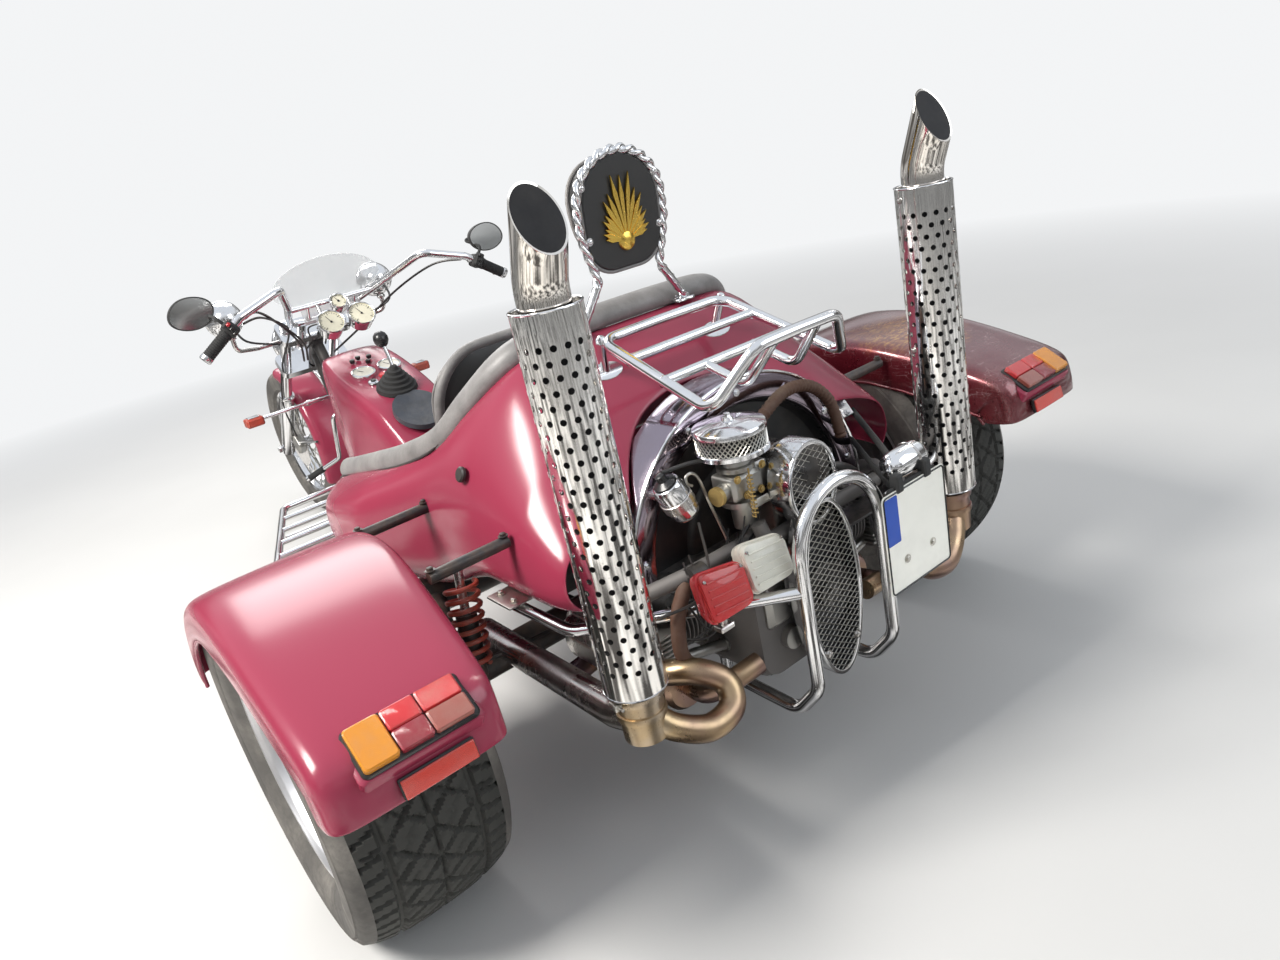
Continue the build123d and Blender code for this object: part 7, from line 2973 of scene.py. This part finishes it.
class Studio:
    """Floor, light and camera."""

    # Half-length of the floor in metres, and the distances at which it fades into the haze.
    FLOOR, FADE_FROM, FADE_TO = 14.0, 2.6, 6.5
    HAZE, HAZE_STRENGTH = (0.90, 0.91, 0.92, 1), 1.0
    # Light that falls on the trike from all round, and the dark patches seen in its chrome.
    FILL_LIGHT, FILL_STRENGTH, WALL_TONE = (0.93, 0.96, 1.0, 1), 0.48, (0.10, 0.095, 0.09)
    SENSOR = 36.0
    TARGET = (0, -200, 500)
    # Name, place, watts, size in metres and colour of each lamp.
    LAMPS = (
        ("key", (3500, -500, 4000), 330.0, 1.7, (1.0, 0.965, 0.91)),
        ("fill", (-2400, 3800, 2800), 75.0, 3.2, (0.90, 0.95, 1.0)),
        ("rim", (-800, -4600, 3600), 110.0, 2.6, (1.0, 0.98, 0.95)),
    )
    CAMERA_AT = (1047.23, 1528.53, 1245.76)
    CAMERA_RIGHT = Vector((-0.76502, 0.61255, -0.1988))
    CAMERA_UP = Vector((-0.36789, -0.16231, 0.91559))
    CAMERA_BACK = Vector((0.52858, 0.77359, 0.34952))
    LENS = 25.386

    def floor(self) -> None:
        """A plain pale floor, gently uneven in tone, that shows painted patches of sunlight and shadow in reflections.
        """
        bm = bmesh.new()
        bmesh.ops.create_grid(bm, x_segments=8, y_segments=8, size=self.FLOOR)
        mesh = bpy.data.meshes.new("studio_floor")
        bm.to_mesh(mesh)
        bm.free()
        obj = bpy.data.objects.new("studio_floor", mesh)
        obj.location.z = -0.001
        bpy.context.scene.collection.objects.link(obj)
        material = bpy.data.materials.new("studio_floor")
        material.use_nodes = True
        board = NodeBoard(material.node_tree)
        shader = material.node_tree.nodes["Principled BSDF"]
        tone = board.mix(board.noise(0.8, 3.0), (0.60, 0.60, 0.595), (0.68, 0.68, 0.675))
        # In reflections the floor shows dark and bright patches: painted shadow and painted sunlight.
        rays = board.add("LightPath")
        patches = board.spread(board.noise(1.7, 2.0), 0.44, 0.56)
        mirrored = board.mix(patches, (0.055, 0.052, 0.05), (0.80, 0.79, 0.77))
        board.tree.links.new(
            board.mix(rays.outputs["Is Glossy Ray"], tone, mirrored), shader.inputs["Base Color"]
        )
        far = board.add("VectorMath", {0: board.place()}, operation="LENGTH").outputs["Value"]
        fade = board.math(
            "MULTIPLY", board.spread(far, self.FADE_FROM, self.FADE_TO),
            rays.outputs["Is Camera Ray"],
        )
        haze = board.add("Emission", {"Color": self.HAZE, "Strength": self.HAZE_STRENGTH})
        blend = board.add("MixShader", {0: fade, 1: shader.outputs[0], 2: haze.outputs[0]})
        board.tree.links.new(
            blend.outputs[0], material.node_tree.nodes["Material Output"].inputs["Surface"]
        )
        shader.inputs["Roughness"].default_value = 0.85
        shader.inputs["Specular IOR Level"].default_value = 0.15
        mesh.materials.append(material)
        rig.stage(obj)

    def world(self) -> None:
        """Pale surroundings: even for the eye, graded from horizon to sky for all else."""
        world = bpy.data.worlds.new("studio")
        bpy.context.scene.world = world
        world.use_nodes = True
        tree = world.node_tree
        tree.nodes.clear()
        board = NodeBoard(tree)
        rays = board.add("LightPath")
        height = board.add(
            "SeparateXYZ", {0: board.add("TexCoord").outputs["Generated"]}
        ).outputs["Z"]
        ramp = board.add("ValToRGB", {"Fac": height})
        first, last = ramp.color_ramp.elements
        first.position, first.color = 0.0, (0.50, 0.50, 0.50, 1)
        last.position, last.color = 0.75, (0.78, 0.83, 0.90, 1)
        band = ramp.color_ramp.elements.new(0.04)
        band.color = (0.14, 0.135, 0.13, 1)
        rise = ramp.color_ramp.elements.new(0.26)
        rise.color = (0.80, 0.82, 0.84, 1)
        lit = board.add("Background", {"Color": self.FILL_LIGHT, "Strength": self.FILL_STRENGTH})
        seen = board.add("Background", {"Color": self.HAZE, "Strength": self.HAZE_STRENGTH})
        blotches = board.spread(board.noise(1.9, 2.0), 0.46, 0.56)
        walls = board.math("MULTIPLY", blotches, board.spread(height, 0.5, 0.25, 0.0, 1.0))
        sky = board.mix(walls, ramp.outputs["Color"], self.WALL_TONE)
        mirrored_sky = board.add("Background", {"Color": sky, "Strength": 1.0})
        is_glossy = rays.outputs["Is Glossy Ray"]
        glossy = board.add(
            "MixShader", {0: is_glossy, 1: lit.outputs[0], 2: mirrored_sky.outputs[0]}
        )
        direct = board.math(
            "MAXIMUM", rays.outputs["Is Camera Ray"], rays.outputs["Is Transmission Ray"]
        )
        both = board.add("MixShader", {0: direct, 1: glossy.outputs[0], 2: seen.outputs[0]})
        board.add("OutputWorld", {"Surface": both.outputs[0]})

    def lights(self) -> None:
        """A broad key light, a cool fill and a rim light."""
        target = at(*self.TARGET)
        for name, spot, power, size, colour in self.LAMPS:
            place = at(*spot)
            data = bpy.data.lights.new(name, "AREA")
            data.energy, data.size, data.color = power, size, colour
            obj = bpy.data.objects.new(name, data)
            obj.location = place
            obj.rotation_euler = (target - place).to_track_quat("-Z", "Y").to_euler()
            bpy.context.scene.collection.objects.link(obj)

    def camera(self) -> None:
        """The camera, standing behind the left rear wheel and looking forward and down."""
        data = bpy.data.cameras.new("camera")
        data.sensor_width, data.lens = self.SENSOR, self.LENS
        obj = bpy.data.objects.new("camera", data)
        turn = Matrix((self.CAMERA_RIGHT, self.CAMERA_UP, self.CAMERA_BACK)).transposed().to_4x4()
        obj.matrix_world = Matrix.Translation(at(*self.CAMERA_AT)) @ turn
        bpy.context.scene.collection.objects.link(obj)
        bpy.context.scene.camera = obj

    def build(self) -> None:
        """The whole studio."""
        self.floor()
        self.world()
        self.lights()
        self.camera()
        bpy.context.scene.view_settings.view_transform = "Standard"


CARRIED = (
    ("frame", FRAME_BLACK),
    ("footboards", CHROME_DULL),
    ("fork", CHROME),
    ("handlebar", CHROME),
)


def build_trike() -> None:
    """Builds and dresses every piece, back to front."""
    for node, finish in CARRIED:
        dressed(node, finish)
    rear = TyreSize(338.0, 148.0, 200.0, 118.0, 122.0, 7.5)
    for body, sign, word in ((Body.REAR_LEFT, 1, "left"), (Body.REAR_RIGHT, -1, "right")):
        wheel = Wheel(body, at(sign * 750, 0, AXLE_Z), sign, rear, Tread.DIAMOND)
        wheel.tyre(f"tyre_{word}", f"rear_tyre_{word}", 420, 48)
        wheel.wide_rim(f"rim_{word}", f"rear_rim_{word}")
        Fender(sign, MAROON if sign > 0 else MAROON_PAINTED_REFLECTION).saddle()
        Fender(sign, MAROON).lamps()
        stack = Stack(sign)
        stack.shield()
        stack.pipe()
        stack.headers()
    front = Wheel(
        Body.FRONT_WHEEL, at(0, -WHEELBASE, FRONT_Z), 1,
        TyreSize(318.0, 57.0, 226.0, 36.0, 46.0, 5.0), Tread.RIBBED,
    )
    front.tyre("tyre_front", "front_tyre", 360, 24)
    front.wire_rim("rim_front", "front_rim")
    tub = Tub()
    tub.shell()
    tub.coaming()
    tub.details()
    cushions = Cushions()
    cushions.build()
    Backrest().build(cushions)
    Rack().build()
    Engine().build()
    RearEquipment().build()
    Steering().build()
    Cockpit().build()


def main() -> None:
    """Builds the looks and writes both sizes down."""
    logging.basicConfig(level=logging.INFO, format="%(message)s")
    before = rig.bounds()
    Studio().build()
    build_trike()
    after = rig.bounds()
    sizes = {
        "frame": [list(corner) for corner in before], "looks": [list(corner) for corner in after]
    }
    with open("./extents.json", "w", encoding="utf-8") as out:
        json.dump(sizes, out)


if __name__ == "__main__":
    main()
